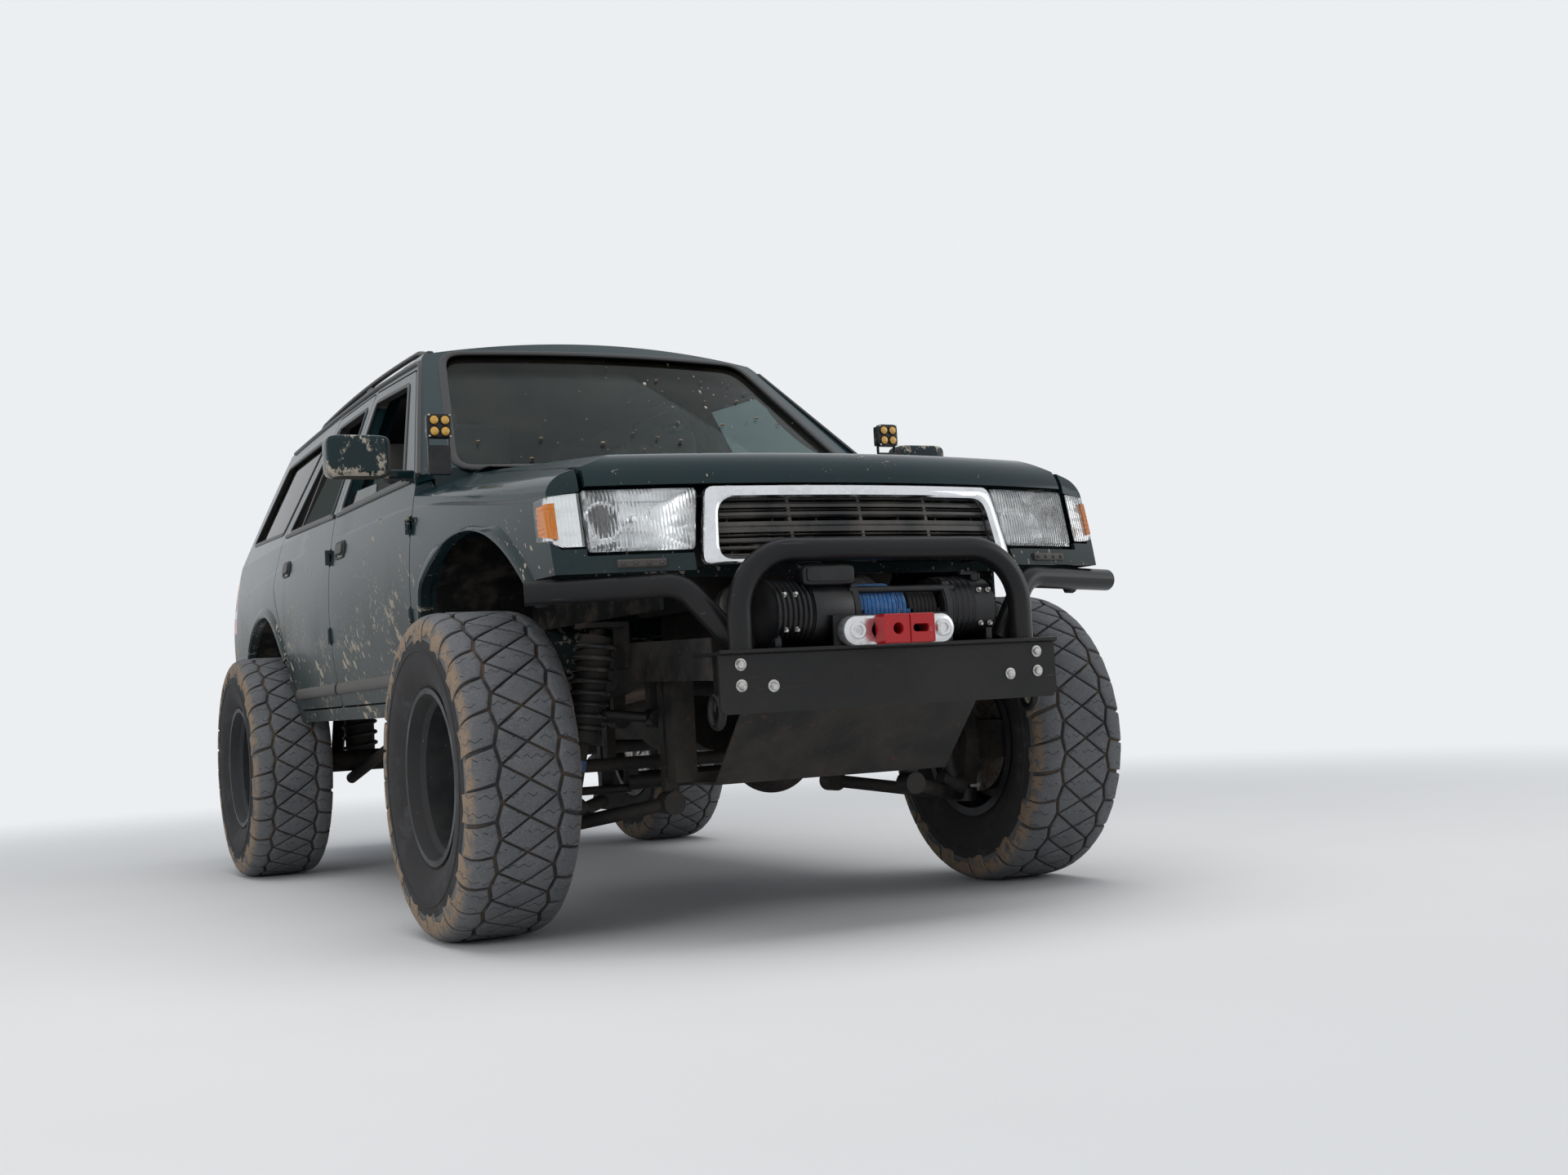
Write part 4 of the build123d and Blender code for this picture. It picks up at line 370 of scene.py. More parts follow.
colour = mixed(sealed, colour, seal)
dull = inside.over(sealed)
grain = noise(place, 420.0, 2.0) * dull
# The pressed crease under the belt: it rises from the lamp to the front door, stops there, and starts
# again on the rear door. The bump presses it in, and a thin dark line of painted shade runs along it
crease_z = y.step(behind(-0.70), behind(0.75)) * 0.118 + 1.092 - y.step(behind(1.9), behind(3.6)) * 0.062
from_crease = z - crease_z
upright = abs(normal_x).step(0.80, 0.92)
ahead_of_it, behind_it = y.step(behind(1.45), behind(1.25)), y.step(behind(1.95), behind(2.10))
drawn = (ahead_of_it + behind_it).under(1.0) * (1.0 - dull) * upright
crease = from_crease.step(-0.006, 0.006) * drawn
# Painted shade: the colour along the crease is darkened almost to black, standing for the shade in the fold
line = abs(from_crease).step(0.0055, 0.0025) * drawn
colour = mixed(line * 0.75, colour, (0.003, 0.004, 0.004, 1.0))
roughness = ((0.24 + dust * 0.45).over(mud * 0.9).over(dull * 0.72)).under(1.0)
coat = (z.step(0.85, 1.20) * 0.26 + 0.08 - dust * 0.3).over(0.0) * (1.0 - mud) * (1.0 - dull)
height = mud * 0.25 + grain * 0.10 - crease
close_finish(place, colour, roughness, height, 0.0032, coat=coat, coat_roughness=0.05, specular=0.08)


def dress(material, *names):
    """Give carried-over nodes one finish."""
    for name in names:
        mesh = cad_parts[name].data
        mesh.materials.clear()
        mesh.materials.append(material)


dress(panel_paint, "body_shell", "hood", "front_fenders", "tailgate")
CORNERS = ("fl", "fr", "rl", "rr")
dress(panel_paint, *[f"door_{corner}" for corner in CORNERS])


# The wheel-arch lips, rolled from the fender and quarter panels: a rounded flare that stands out
# round each opening, in the body colour, turned in at its edge.
def circle_through(first, second, third):
    """Centre and radius of the circle through three points of a plane."""
    (ax, ay), (bx, by), (cx, cy) = first, second, third
    twice = 2 * (ax * (by - cy) + bx * (cy - ay) + cx * (ay - by))
    a, b, c = ax * ax + ay * ay, bx * bx + by * by, cx * cx + cy * cy
    middle_x = (a * (by - cy) + b * (cy - ay) + c * (ay - by)) / twice
    middle = (middle_x, (a * (cx - bx) + b * (ax - cx) + c * (bx - ax)) / twice)
    return middle, sqrt((ax - middle[0]) ** 2 + (ay - middle[1]) ** 2)


# The side in cross-section, as (half width, height): an arc from sill to belt, then a line to the roof's edge
WIDEST_X = 0.845
BELT_X, BELT_Z = 0.812, 1.290
ROOF_EDGE_X, ROOF_EDGE_Z = 0.622, 1.750
SECTION_MIDDLE, SECTION_RADIUS = circle_through((0.800, 0.592), (WIDEST_X, 1.050), (BELT_X, BELT_Z))
PLAN_RADIUS = 45.0


def side_x(y, z):
    """Half width of the body: an arc from sill to belt and a straight lean above, swung in plan."""
    y, z = np.asarray(y, float), np.asarray(z, float)
    arc = SECTION_MIDDLE[0] + np.sqrt(np.maximum(SECTION_RADIUS**2 - (z - SECTION_MIDDLE[1]) ** 2, 0.0))
    lean = BELT_X + (ROOF_EDGE_X - BELT_X) * (z - BELT_Z) / (ROOF_EDGE_Z - BELT_Z)
    half = np.where(z > BELT_Z, lean, arc)
    axis = WIDEST_X - PLAN_RADIUS
    return axis + np.sqrt((half - axis) ** 2 - (y - behind(1.5)) ** 2)


def unit(vectors):
    """The same directions with length 1."""
    return vectors / np.maximum(np.linalg.norm(vectors, axis=-1, keepdims=True), 1e-12)


def volume(points, quads, caps):
    """Signed volume inside the faces, from the cones that they make with the origin."""
    corner = [quads[:, [0, 1, 2]], quads[:, [0, 2, 3]]]
    corner += [np.stack([np.full(len(cap) - 2, cap[0]), cap[1:-1], cap[2:]], -1) for cap in caps]
    a, b, c = np.moveaxis(points[np.concatenate(corner)], 1, 0)
    return float(np.einsum("ij,ij->i", a, np.cross(b, c)).sum())


def carried(points, along=False, finish=0, steps=None):
    """A closed surface over a grid: columns around it and rows along it, as a loop or to end faces."""
    rows, columns = points.shape[:2]
    i, j = np.meshgrid(np.arange(rows if along else rows - 1), np.arange(columns), indexing="ij")
    row = np.stack([i, i, i + 1, i + 1], -1).reshape(-1, 4)
    column = np.stack([j, j + 1, j + 1, j], -1).reshape(-1, 4)
    quads = (row % rows) * columns + column % columns
    marks = None if steps is None else np.stack([row * steps[0], column * steps[1]], -1)
    caps = [] if along else [np.arange(columns)[::-1], (rows - 1) * columns + np.arange(columns)]
    flat = points.reshape(-1, 3)
    if volume(flat - flat.mean(0), quads, caps) < 0:
        quads = quads[:, ::-1]
        caps = [cap[::-1] for cap in caps]
        marks = None if marks is None else marks[:, ::-1]
    return {"points": flat, "quads": quads, "caps": caps, "finish": finish, "marks": marks}


def piece(name, shells, finishes, body, replaces=(), angle=35.0):
    """One object from several closed surfaces, riding on a body."""
    points = np.concatenate([shell["points"] for shell in shells])
    faces, finish, marks, base = [], [], [], 0
    for shell in shells:
        faces += (shell["quads"] + base).tolist() + [(cap + base).tolist() for cap in shell["caps"]]
        finish += [shell["finish"]] * (len(shell["quads"]) + len(shell["caps"]))
        own = np.zeros((len(shell["quads"]), 4, 2)) if shell["marks"] is None else shell["marks"]
        marks.append(own.reshape(-1, 2))
        marks.append(np.zeros((sum(len(cap) for cap in shell["caps"]), 2)))
        base += len(shell["points"])
    mesh = bpy.data.meshes.new(name)
    mesh.from_pydata(points.tolist(), [], faces)
    mesh.polygons.foreach_set("material_index", finish)
    mesh.polygons.foreach_set("use_smooth", [True] * len(faces))
    run = mesh.uv_layers.new(name="run")
    run.data.foreach_set("uv", np.concatenate(marks).ravel())
    mesh.set_sharp_from_angle(angle=radians(angle))
    for material in finishes:
        mesh.materials.append(material)
    made = link_object(name, mesh)
    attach(made, body)
    if replaces:
        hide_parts(*replaces)
    return made


# Unit steps to the vehicle's left, to its rear and upwards
LEFT, BACK, UP = np.eye(3)


def along_path(path, first, second, profile, closed=False, **rest):
    """A closed profile carried along a path, its numbers along two directions given once or per point."""
    first, second = np.broadcast_to(first, path.shape), np.broadcast_to(second, path.shape)
    grid = path[:, None] + first[:, None] * profile[None, :, :1] + second[:, None] * profile[None, :, 1:]
    return carried(grid, along=closed, **rest)


def arc_points(first, second, third, count):
    """Points along the arc through three points, from the first to the third."""
    middle, radius = circle_through(first, second, third)
    angles = np.unwrap([np.arctan2(q[1] - middle[1], q[0] - middle[0]) for q in (first, second, third)])
    t = np.linspace(angles[0], angles[2], count)
    return np.stack([middle[0] + radius * np.cos(t), middle[1] + radius * np.sin(t)], -1)


def evenly(points, count, closed=False):
    """The same line with its points spaced evenly."""
    line = np.concatenate([points, points[:1]]) if closed else points
    run = np.concatenate([[0.0], np.cumsum(np.linalg.norm(np.diff(line, axis=0), axis=1))])
    at = np.linspace(0.0, run[-1], count, endpoint=not closed)
    return np.stack([np.interp(at, run, line[:, k]) for k in range(line.shape[1])], -1)


def on_side(line, side):
    """Points of distance and height set on a side skin."""
    y, z = behind(line[:, 0]), line[:, 1]
    return np.stack([side * side_x(y, z), y, z], -1)


# The lip's section, as (away from the wheel, outboard)
LIP = np.array([
    (-0.004, -0.024), (-0.006, 0.005), (0.000, 0.011), (0.010, 0.012), (0.022, 0.008),
    (0.032, 0.003), (0.038, -0.002), (0.022, -0.004), (0.008, -0.006), (0.004, -0.024),
])
front_line = arc_points((-0.452, 0.840), (-0.110, 1.056), (0.436, 0.962), 34)
front_line = np.concatenate([front_line, [(0.474, 0.800), (0.496, 0.700), (0.502, 0.652)]])
rear_line = arc_points((2.338, 0.822), (2.720, 1.026), (3.152, 0.872), 34)
for arch, line in (("front", front_line), ("rear", rear_line)):
    shells = []
    for side in (-1, 1):
        line_3d = on_side(evenly(line, 44), side)
        tangent = unit(np.gradient(line_3d, axis=0))
        away = unit(np.cross(tangent, LEFT))
        away *= np.sign((away * (line_3d - (0, line_3d[:, 1].mean(), WHEEL_RADIUS))).sum())
        # The lip thins where it nears the pressed crease
        away *= np.clip((1.080 - line_3d[:, 2:]) / 0.050, 0.35, 1.0)
        shells.append(along_path(line_3d, away, side * LEFT, LIP))
    piece(f"{arch}_arch_lips", shells, [panel_paint], "chassis")

# The black trim: side mouldings, belt strips, roof gutters and window rubbers, moulded or extruded in
# soft black plastic and pressed or glued on.
black_trim, place = new_finish("black_trim")
dust = road_dust(place, 1.5, 0.5, 0.05, 0.6)
colour = mixed(dust * 0.35, (0.009, 0.009, 0.010, 1.0), DUST)
close_finish(place, colour, dust * 0.35 + 0.42, noise(place, 700.0, 2.0), 0.0002)


def strip(height, lift):
    """A D-section: a flat foot on the skin and a rounded face."""
    half = [(0.15, lift), (0.36, lift * 0.85), (0.5, lift * 0.45), (0.5, -0.003)]
    left = [(-height * share, out) for share, out in half[::-1]]
    return np.array(left + [(height * share, out) for share, out in half])


def side_strip(line, side, profile, count=24, closed=False, finish=0):
    """A profile laid along a line of the side skin."""
    line_3d = on_side(evenly(np.array(line, float), count, closed), side)
    ahead = np.roll(line_3d, -1, 0) - np.roll(line_3d, 1, 0) if closed else np.gradient(line_3d, axis=0)
    tangent = unit(ahead)
    lean = np.where(line_3d[:, 2:] > BELT_Z, 0.413, 0.06)
    outward = unit(side * LEFT + lean * UP)
    across = unit(np.cross(tangent, outward))
    return along_path(line_3d, across, outward, profile, closed, finish=finish)


MOULDING = strip(0.038, 0.012)
BELT = strip(0.016, 0.007)
GUTTER = strip(0.014, 0.008)
# Each door's moulding and belt strip, as (distance behind the front axle, height) of their ends
DOOR_STRIPS = {
    "front": ([(0.570, 0.705), (1.530, 0.700)], [(0.612, 1.291), (1.512, 1.293)]),
    "rear": ([(1.556, 0.700), (2.200, 0.697)], [(1.560, 1.294), (2.440, 1.318)]),
}
GUTTER_LINE = [(0.545, 1.300), (1.094, 1.752), (1.640, 1.768), (2.250, 1.764), (3.150, 1.752)]
SIDES = ((-1, "r"), (1, "l"))


def trim_piece(name, shells, body="chassis", replaces=()):
    """A piece of black trim."""
    return piece(name, shells, [black_trim], body, replaces)


for side, tag in SIDES:
    for door, (low_line, belt_line) in DOOR_STRIPS.items():
        shells = [side_strip(low_line, side, MOULDING), side_strip(belt_line, side, BELT)]
        trim_piece(f"moulding_{door}_{tag}", shells, f"door_{door[0]}{tag}")
    trim_piece(f"gutter_{tag}", [side_strip(GUTTER_LINE, side, GUTTER, 60)])


def rounded(corners, radius, per_corner=7):
    """A closed outline with its corners rounded by short parabolas."""
    corners = np.array(corners, float)
    before, after = np.roll(corners, 1, 0), np.roll(corners, -1, 0)
    near = corners + unit(before - corners) * radius
    far = corners + unit(after - corners) * radius
    t = np.linspace(0, 1, per_corner)[None, :, None]
    bend = near[:, None] * (1 - t) ** 2 + corners[:, None] * 2 * t * (1 - t) + far[:, None] * t**2
    return bend.reshape(-1, corners.shape[1])


FRONT_WINDOW = [(0.700, 1.302), (1.135, 1.684), (1.565, 1.700), (1.478, 1.302)]
REAR_WINDOW = [(1.612, 1.304), (1.700, 1.700), (2.140, 1.698), (2.385, 1.325)]
QUARTER_WINDOW = [(2.548, 1.340), (2.316, 1.692), (3.130, 1.686), (3.340, 1.372)]
RUBBER = strip(0.016, 0.004)
# The upright channel that divides the rear door's window
CHANNEL = [(2.150, 1.310), (2.118, 1.694)]
for side, tag in SIDES:
    windows = (
        ("front", FRONT_WINDOW, f"door_f{tag}"),
        ("rear", REAR_WINDOW, f"door_r{tag}"),
        ("quarter", QUARTER_WINDOW, "chassis"),
    )
    for window, outline, body in windows:
        rubber = side_strip(rounded(outline, 0.024), side, RUBBER, 90, True)
        trim_piece(f"{window}_window_rubber_{tag}", [rubber], body)
    trim_piece(f"window_channel_{tag}", [side_strip(CHANNEL, side, strip(0.020, 0.002), 8)], f"door_r{tag}")

GLASS_RADIUS = 2.6
GLASS_FOOT_Z = 1.300
GLASS_RAKE = radians(38.8)
WINDSHIELD_AXIS_Y = behind(0.430) + GLASS_RADIUS


def windshield_y(x, z):
    """The windshield lies on a cone about an upright line: its radius shrinks as it rises."""
    radius = GLASS_RADIUS - (z - GLASS_FOOT_Z) / tan(GLASS_RAKE)
    return WINDSHIELD_AXIS_Y - np.sqrt(radius**2 - x**2)


ring = evenly(rounded([(-0.690, 1.322), (0.690, 1.322), (0.545, 1.786), (-0.545, 1.786)], 0.062), 160, True)
edge = np.stack([ring[:, 0], windshield_y(ring[:, 0], ring[:, 1]), ring[:, 1]], -1)
tangent = unit(np.roll(edge, -1, 0) - np.roll(edge, 1, 0))
outward = unit(edge[:, :1] * 0.25 * LEFT - 0.627 * BACK + 0.779 * UP)
rubber = along_path(edge, unit(np.cross(tangent, outward)), outward, strip(0.026, 0.005), True)
trim_piece("windshield_rubber", [rubber])

# The cowl panel: a black moulded grille that lies across the foot of the windshield, clipped to the
# firewall, and lets air into the heater between its low louvres.
x, t = np.meshgrid(np.linspace(-0.640, 0.640, 90), np.linspace(0, 1, 14), indexing="ij")
front_y = behind(0.346)
back_y = windshield_y(x, 1.304) - 0.012
louvre = 0.0022 * np.abs(np.sin(t * pi * 6))
top = np.stack([x, front_y + (back_y - front_y) * t, 1.3012 + 0.004 * np.sin(pi * t) + louvre], -1)
under = top - (0.0, 0.0, 0.003)
cowl = np.concatenate([top, under[:, ::-1]], 1)
trim_piece("cowl_panel", [carried(cowl)])

# The glass. The windshield and the front door panes are lightly tinted, the panes behind them darker;
# the windshield is laminated, the others toughened. Each wears a film of dust, with specks of mud.
glass_finish, place = new_finish("clear_glass")
x, y, z = split(place)
band = z.step(1.665, 1.715) * y.step(behind(1.25), behind(1.05)) * abs(x).step(0.62, 0.60)
film = noise(place, 3.5, 6.0, 0.65).step(0.40, 0.85) * 0.03 + 0.005
specks = spatter(place, 40.0, noise(place, 2.0).step(0.45, 0.65) * 0.75, 0.2)
rear = y.step(behind(1.55), behind(1.62))
tint = mixed(rear, (0.29, 0.36, 0.36, 1.0), (0.050, 0.058, 0.056, 1.0))
tint = mixed(band, tint, (0.04, 0.07, 0.065, 1.0))
tint = mixed(film.over(specks * 0.8), tint, PALE_MUD)
clear = place.node(
    "ShaderNodeBsdfPrincipled",
    sockets={"Base Color": tint, "Roughness": 0.0, "Transmission Weight": 1.0, "IOR": 1.13},
)
dirt = place.node("ShaderNodeBsdfPrincipled", sockets={"Base Color": PALE_MUD, "Roughness": 0.9})
whole = place.node("ShaderNodeMixShader", sockets={0: film.over(specks * 0.9), 1: clear, 2: dirt})
# Light falls straight through the panes on to the seats
open_pane = place.node("ShaderNodeBsdfTransparent", sockets={"Color": tint})
shadow_ray = place.node("ShaderNodeLightPath", output="Is Shadow Ray")
lit_through = place.node("ShaderNodeMixShader", sockets={0: shadow_ray, 1: whole, 2: open_pane})
place.node("ShaderNodeOutputMaterial", sockets={"Surface": lit_through})
dress(glass_finish, "fixed_glass", "door_glass_fl", "door_glass_fr", "door_glass_rl", "tailgate_glass")


# The door handles: a black pull flap in a rounded black cup, set in the upper rear corner of each door.
def filled(outline, centre, depths, shares, direction, finish=0):
    """A closed disc-like form: an outline shrunk towards its centre in steps, each at its own depth."""
    shares, depths = np.array(shares)[:, None, None], np.array(depths)[:, None, None]
    return carried(centre + (outline - centre) * shares + np.array(direction) * depths, finish=finish)


def side_patch(y, z, half_length, half_height, radius, side):
    """A rounded outline set on the side skin."""
    corners = np.array([(-1, -1), (1, -1), (1, 1), (-1, 1)]) * (half_length, half_height) + (y, z)
    return on_side(evenly(rounded(corners, radius), 56, True), side)


# The flap's and the cup's faces step in from the edge: how far outboard, and the share of the outline
CUP_DEPTHS, CUP_SHARES = (-0.004, 0.003, 0.005, 0.003, -0.002, -0.004), (1.0, 1.0, 0.95, 0.84, 0.80, 0.05)
FLAP_DEPTHS, FLAP_SHARES = (-0.003, 0.008, 0.011, 0.012), (1.0, 0.98, 0.90, 0.05)
for side, tag in SIDES:
    for door, y, z in (("f", 1.400, 1.163), ("r", 2.300, 1.177)):
        cup = side_patch(y, z, 0.062, 0.030, 0.020, side)
        flap = side_patch(y - 0.006, z + 0.004, 0.048, 0.019, 0.014, side)
        shells = [
            filled(cup, cup.mean(0), CUP_DEPTHS, CUP_SHARES, side * LEFT),
            filled(flap, flap.mean(0), FLAP_DEPTHS, FLAP_SHARES, side * LEFT),
        ]
        trim_piece(f"handle_{door}{tag}", shells, f"door_{door}{tag}")


# The door mirrors: a rounded housing on a stout foot, painted like the body and muddy, with a glass
# plate set back in its rear face.
def rounded_block(low, high, power=0.28, around=56, down=34, finish=0):
    """A block with soft edges: a sphere whose sines and cosines are raised to a small power."""
    low, high = np.array(low, float), np.array(high, float)
    u = np.linspace(0.02, pi - 0.02, down)[:, None]
    v = np.linspace(0, 2 * pi, around, endpoint=False)[None, :]
    waves = np.sin(u) + 0 * v, np.cos(v) + 0 * u, np.sin(v) + 0 * u, np.cos(u) + 0 * v
    sin_u, cos_v, sin_v, cos_u = [np.sign(wave) * np.abs(wave) ** power for wave in waves]
    grid = np.stack([sin_u * cos_v, sin_u * sin_v, cos_u], -1)
    return carried((low + high) / 2 + grid * (high - low) / 2, finish=finish)


mirror_plate, place = new_finish("mirror_plate")
film = noise(place, 30.0, 5.0).step(0.4, 0.8)
colour = mixed(film * 0.3, (0.75, 0.77, 0.78, 1.0), DUST)
close_finish(place, colour, film * 0.25 + 0.03, metallic=1.0)
PLATE_DEPTHS, PLATE_SHARES = (-0.004, 0.001, 0.001, -0.001, -0.001), (1.0, 0.99, 0.93, 0.91, 0.02)
for side, tag in SIDES:
    low, high = sorted((side * 0.870, side * 1.060))
    near, far = sorted((side * 0.775, side * 0.890))
    left, right = low + 0.010, high - 0.010
    rim = evenly(rounded([(left, 1.306), (right, 1.306), (right, 1.412), (left, 1.412)], 0.030), 60, True)
    plate = np.stack([rim[:, 0], np.full(len(rim), behind(0.6445)), rim[:, 1]], -1)
    shells = [
        rounded_block((low, behind(0.564), 1.296), (high, behind(0.644), 1.422), 0.30),
        rounded_block((near, behind(0.628), 1.298), (far, behind(0.668), 1.328), 0.5),
        filled(plate, plate.mean(0), PLATE_DEPTHS, PLATE_SHARES, BACK, finish=1),
    ]
    finishes = [panel_paint, mirror_plate]
    piece(f"mirror_housing_{tag}", shells, finishes, f"door_f{tag}", (f"mirror_{tag}",))


# The grille surround: one bright plated frame, wide across the top and thin along the bottom, with a
# crowned face, clipped to the front panel.
NOSE_RADIUS = 2.507
NOSE_Z = 0.960
NOSE_LEAN = radians(12.9)
NOSE_AXIS_Y = behind(-0.690) + NOSE_RADIUS


def nose_y(x, z):
    """The front face lies on a cone about an upright line far behind it, leaning back as it rises."""
    radius = NOSE_RADIUS - (z - NOSE_Z) * tan(NOSE_LEAN)
    return NOSE_AXIS_Y - np.sqrt(radius**2 - x**2)


bright_trim, place = new_finish("bright_trim")
film = noise(place, 18.0, 6.0, 0.65).step(0.42, 0.8)
pits = noise(place, 400.0, 2.0).step(0.66, 0.72)
colour = mixed((film * 0.28).over(pits * 0.5), (0.74, 0.75, 0.77, 1.0), DUST)
close_finish(place, colour, film * 0.28 + 0.07, film * 0.4, 0.0002, metallic=1.0 - film * 0.25)


def nose_ring(corners, radius):
    """A rounded outline of the front view, set on the front face and begun at its top middle."""
    ring = evenly(rounded(corners, radius), 220, True)
    start_at = int(np.argmin(np.abs(ring[:, 0]) + 10 * (ring[:, 1] < ring[:, 1].mean())))
    ring = np.roll(ring, -start_at, 0)
    return np.stack([ring[:, 0], nose_y(ring[:, 0], ring[:, 1]), ring[:, 1]], -1)


def both_sides(half):
    """The left half of an outline with its mirror image."""
    return half + [(-x, z) for x, z in reversed(half)]


outer = nose_ring(both_sides([(0.450, 0.917), (0.418, 1.116)]), 0.022)
inner = nose_ring(both_sides([(0.406, 0.931), (0.388, 1.082)]), 0.040)
# The band's section: how far from the outer outline to the inner one, and how far ahead of the front face
share = np.array([0.0, 0.0, 0.06, 0.2, 0.4, 0.6, 0.8, 0.94, 1.0, 1.0])[:, None, None]
ahead = np.array([-0.012, 0.0, 0.006, 0.010, 0.012, 0.012, 0.010, 0.005, -0.004, -0.014])[:, None, None]
band = outer * (1 - share) + inner * share - ahead * BACK
shells = [carried(band, along=True)]
piece("surround", shells, [bright_trim], "chassis", ("grille_surround",))

# The grille: level slats with a broad middle bar, moulded in one piece with upright ribs behind them in
# black plastic, and clipped into the surround.
grille_black, place = new_finish("grille_black")
dust = noise(place, 9.0, 5.0).step(0.35, 0.8) * 0.35
colour = mixed(dust, (0.010, 0.010, 0.011, 1.0), DUST)
close_finish(place, colour, dust * 0.5 + 0.32, noise(place, 600.0), 0.00015)
# Height, half thickness and half length of each slat
SLATS = [
    (0.9385, 0.0040, 0.398), (0.955, 0.0032, 0.396), (0.972, 0.0032, 0.394), (0.989, 0.0032, 0.392),
    (1.012, 0.0120, 0.391), (1.036, 0.0032, 0.389), (1.053, 0.0032, 0.387), (1.070, 0.0040, 0.385),
]
slats = []
for z, half, reach in SLATS:
    x = np.linspace(-reach, reach, 60)
    path = np.stack([x, nose_y(x, z) + 0.017, np.full(60, z)], -1)
    section = [(0.034, -0.6), (0.006, -1.0), (0.0, -0.5), (-0.002, 0.2), (0.002, 1.0), (0.034, 0.8)]
    section = np.array(section) * (1.0, half)
    slats.append(along_path(path, BACK, UP, section))
z = np.linspace(0.930, 1.084, 12)
section = np.array([(0.020, -0.002), (0.0, -0.002), (0.0, 0.002), (0.020, 0.002)])
for x in np.linspace(-0.36, 0.36, 7):
    path = np.stack([np.full(12, x), nose_y(x, z) + 0.030, z], -1)
    slats.append(along_path(path, BACK, LEFT, section))
piece("grille_slats", slats, [grille_black], "chassis")
dress(grille_black, "grille")

# The headlamps: a plated bowl with a capped bulb, closed by a clear cover pressed with upright flutes
# and prism bands; the corner lamp beside each is clear inboard and amber where it wraps the corner.
lamp_bowl, place = new_finish("lamp_bowl")
haze = noise(place, 26.0, 4.0).step(0.4, 0.75)
colour = mixed(haze * 0.25, (0.86, 0.87, 0.88, 1.0), (0.45, 0.44, 0.40, 1.0))
close_finish(place, colour, haze * 0.15 + 0.10, metallic=1.0)


def lens_finish(name, tint, flute, row, weight, clouded):
    """Moulded clear plastic: rounded flutes across and coarser rows down, clouded by dust in patches."""
    made, place = new_finish(name)
    x, y, z = split(place)
    flutes = (x * (2 * pi / flute)).sine()
    rows = (z * (2 * pi / row)).sine()
    blocks = noise(place, 14.0, 1.0).step(0.48, 0.52)
    height = flutes * (blocks * 0.6 + 0.4) + rows * (1.0 - blocks) * 0.7
    cloud = noise(place, 20.0, 5.0).step(0.45, 0.85) * clouded
    colour = mixed(cloud, tint, (0.55, 0.52, 0.46, 1.0))
    close_finish(place, colour, cloud * 0.5 + 0.04, height, 0.0010, clear=weight, ior=1.42)
    return made


clear_lens = lens_finish("clear_lens", (0.97, 0.98, 0.98, 1.0), 0.009, 0.030, 0.94, 0.28)
amber_lens = lens_finish("amber_lens", (0.95, 0.30, 0.02, 1.0), 0.006, 0.012, 0.45, 0.15)


def turned(profile, origin, axis, sides=48, finish=0):
    """A turned form: a profile of (along, radius) swept round an axis through the origin."""
    profile = np.array(profile, float)
    axis = unit(np.array(axis, float))
    helper = UP if abs(axis[2]) < 0.9 else LEFT
    first = unit(np.cross(helper, axis))
    second = np.cross(axis, first)
    t = np.linspace(0, 2 * pi, sides, endpoint=False)
    round_it = first * np.cos(t)[:, None] + second * np.sin(t)[:, None]
    grid = np.array(origin, float) + axis * profile[:, 0, None, None] + round_it * profile[:, 1, None, None]
    return carried(grid, finish=finish)


def nose_sheet(ring, shares, depths):
    """A 4 mm sheet behind the front face: an outline shrunk in steps, each step set at its own depth."""
    centre = ring.mean(0)
    flat = centre + (ring - centre) * shares[:, None, None]
    x, z = flat[..., 0], flat[..., 1]
    sheet = np.stack([x, nose_y(x, z) + depths[:, None], z], -1)
    return carried(np.concatenate([sheet[::-1], sheet + 0.004 * BACK]))


HEADLAMP = [(0.454, 0.954), (0.716, 0.954), (0.716, 1.116), (0.429, 1.116)]
LAMP_GAP = 0.003
BULB_X, BULB_Z = 0.585, 1.035
# Profiles as (along the lamp's axis, radius): the bulb's cap, and the rings pressed in the bowl
BULB_CAP = [
    (0.0, 0.016), (-0.012, 0.016), (-0.016, 0.010), (-0.040, 0.010), (-0.044, 0.006),
    (-0.045, 0.001),
]
BOWL_RING = [(0.004, 0.050), (-0.004, 0.050), (-0.006, 0.046), (-0.004, 0.041), (0.004, 0.040)]
LENS_SHARES = np.array([1.0, 0.99, 0.9, 0.7, 0.5, 0.3, 0.12, 0.02])
BOWL_SHARES = np.array([1.0, 0.97, 0.88, 0.74, 0.58, 0.42, 0.26, 0.10])
# The lens bulges forward and rolls back at its edge; the bowl is a deep dish
LENS_DEPTHS = 0.010 * LENS_SHARES**14 - 0.004 * (1 - LENS_SHARES**2) + 0.002
BOWL_DEPTHS = 0.062 * (1 - BOWL_SHARES**2) ** 0.8 + 0.012
bowls, lenses = [], []
for side in (-1, 1):
    ring = evenly(rounded([(side * x, z) for x, z in HEADLAMP], 0.010), 72, True)
    centre = ring.mean(0)
    ring = centre + (ring - centre) * (1 - LAMP_GAP / np.abs(ring - centre).max(0))
    lenses.append(nose_sheet(ring, LENS_SHARES, LENS_DEPTHS))
    bowls.append(nose_sheet(ring, 0.985 * BOWL_SHARES, BOWL_DEPTHS))
    bulb_y = float(nose_y(BULB_X, BULB_Z)) + 0.072
    bowls.append(turned(BULB_CAP, (side * BULB_X, bulb_y, BULB_Z), BACK, 28))
    for dx in (-0.075, 0.075):
        bowls.append(turned(BOWL_RING, (side * BULB_X + dx, bulb_y - 0.012, BULB_Z), BACK, 40))
piece("headlamp_bowls", bowls, [lamp_bowl], "chassis")
piece("headlamp_lenses", lenses, [clear_lens], "chassis", ("front_lamps",))


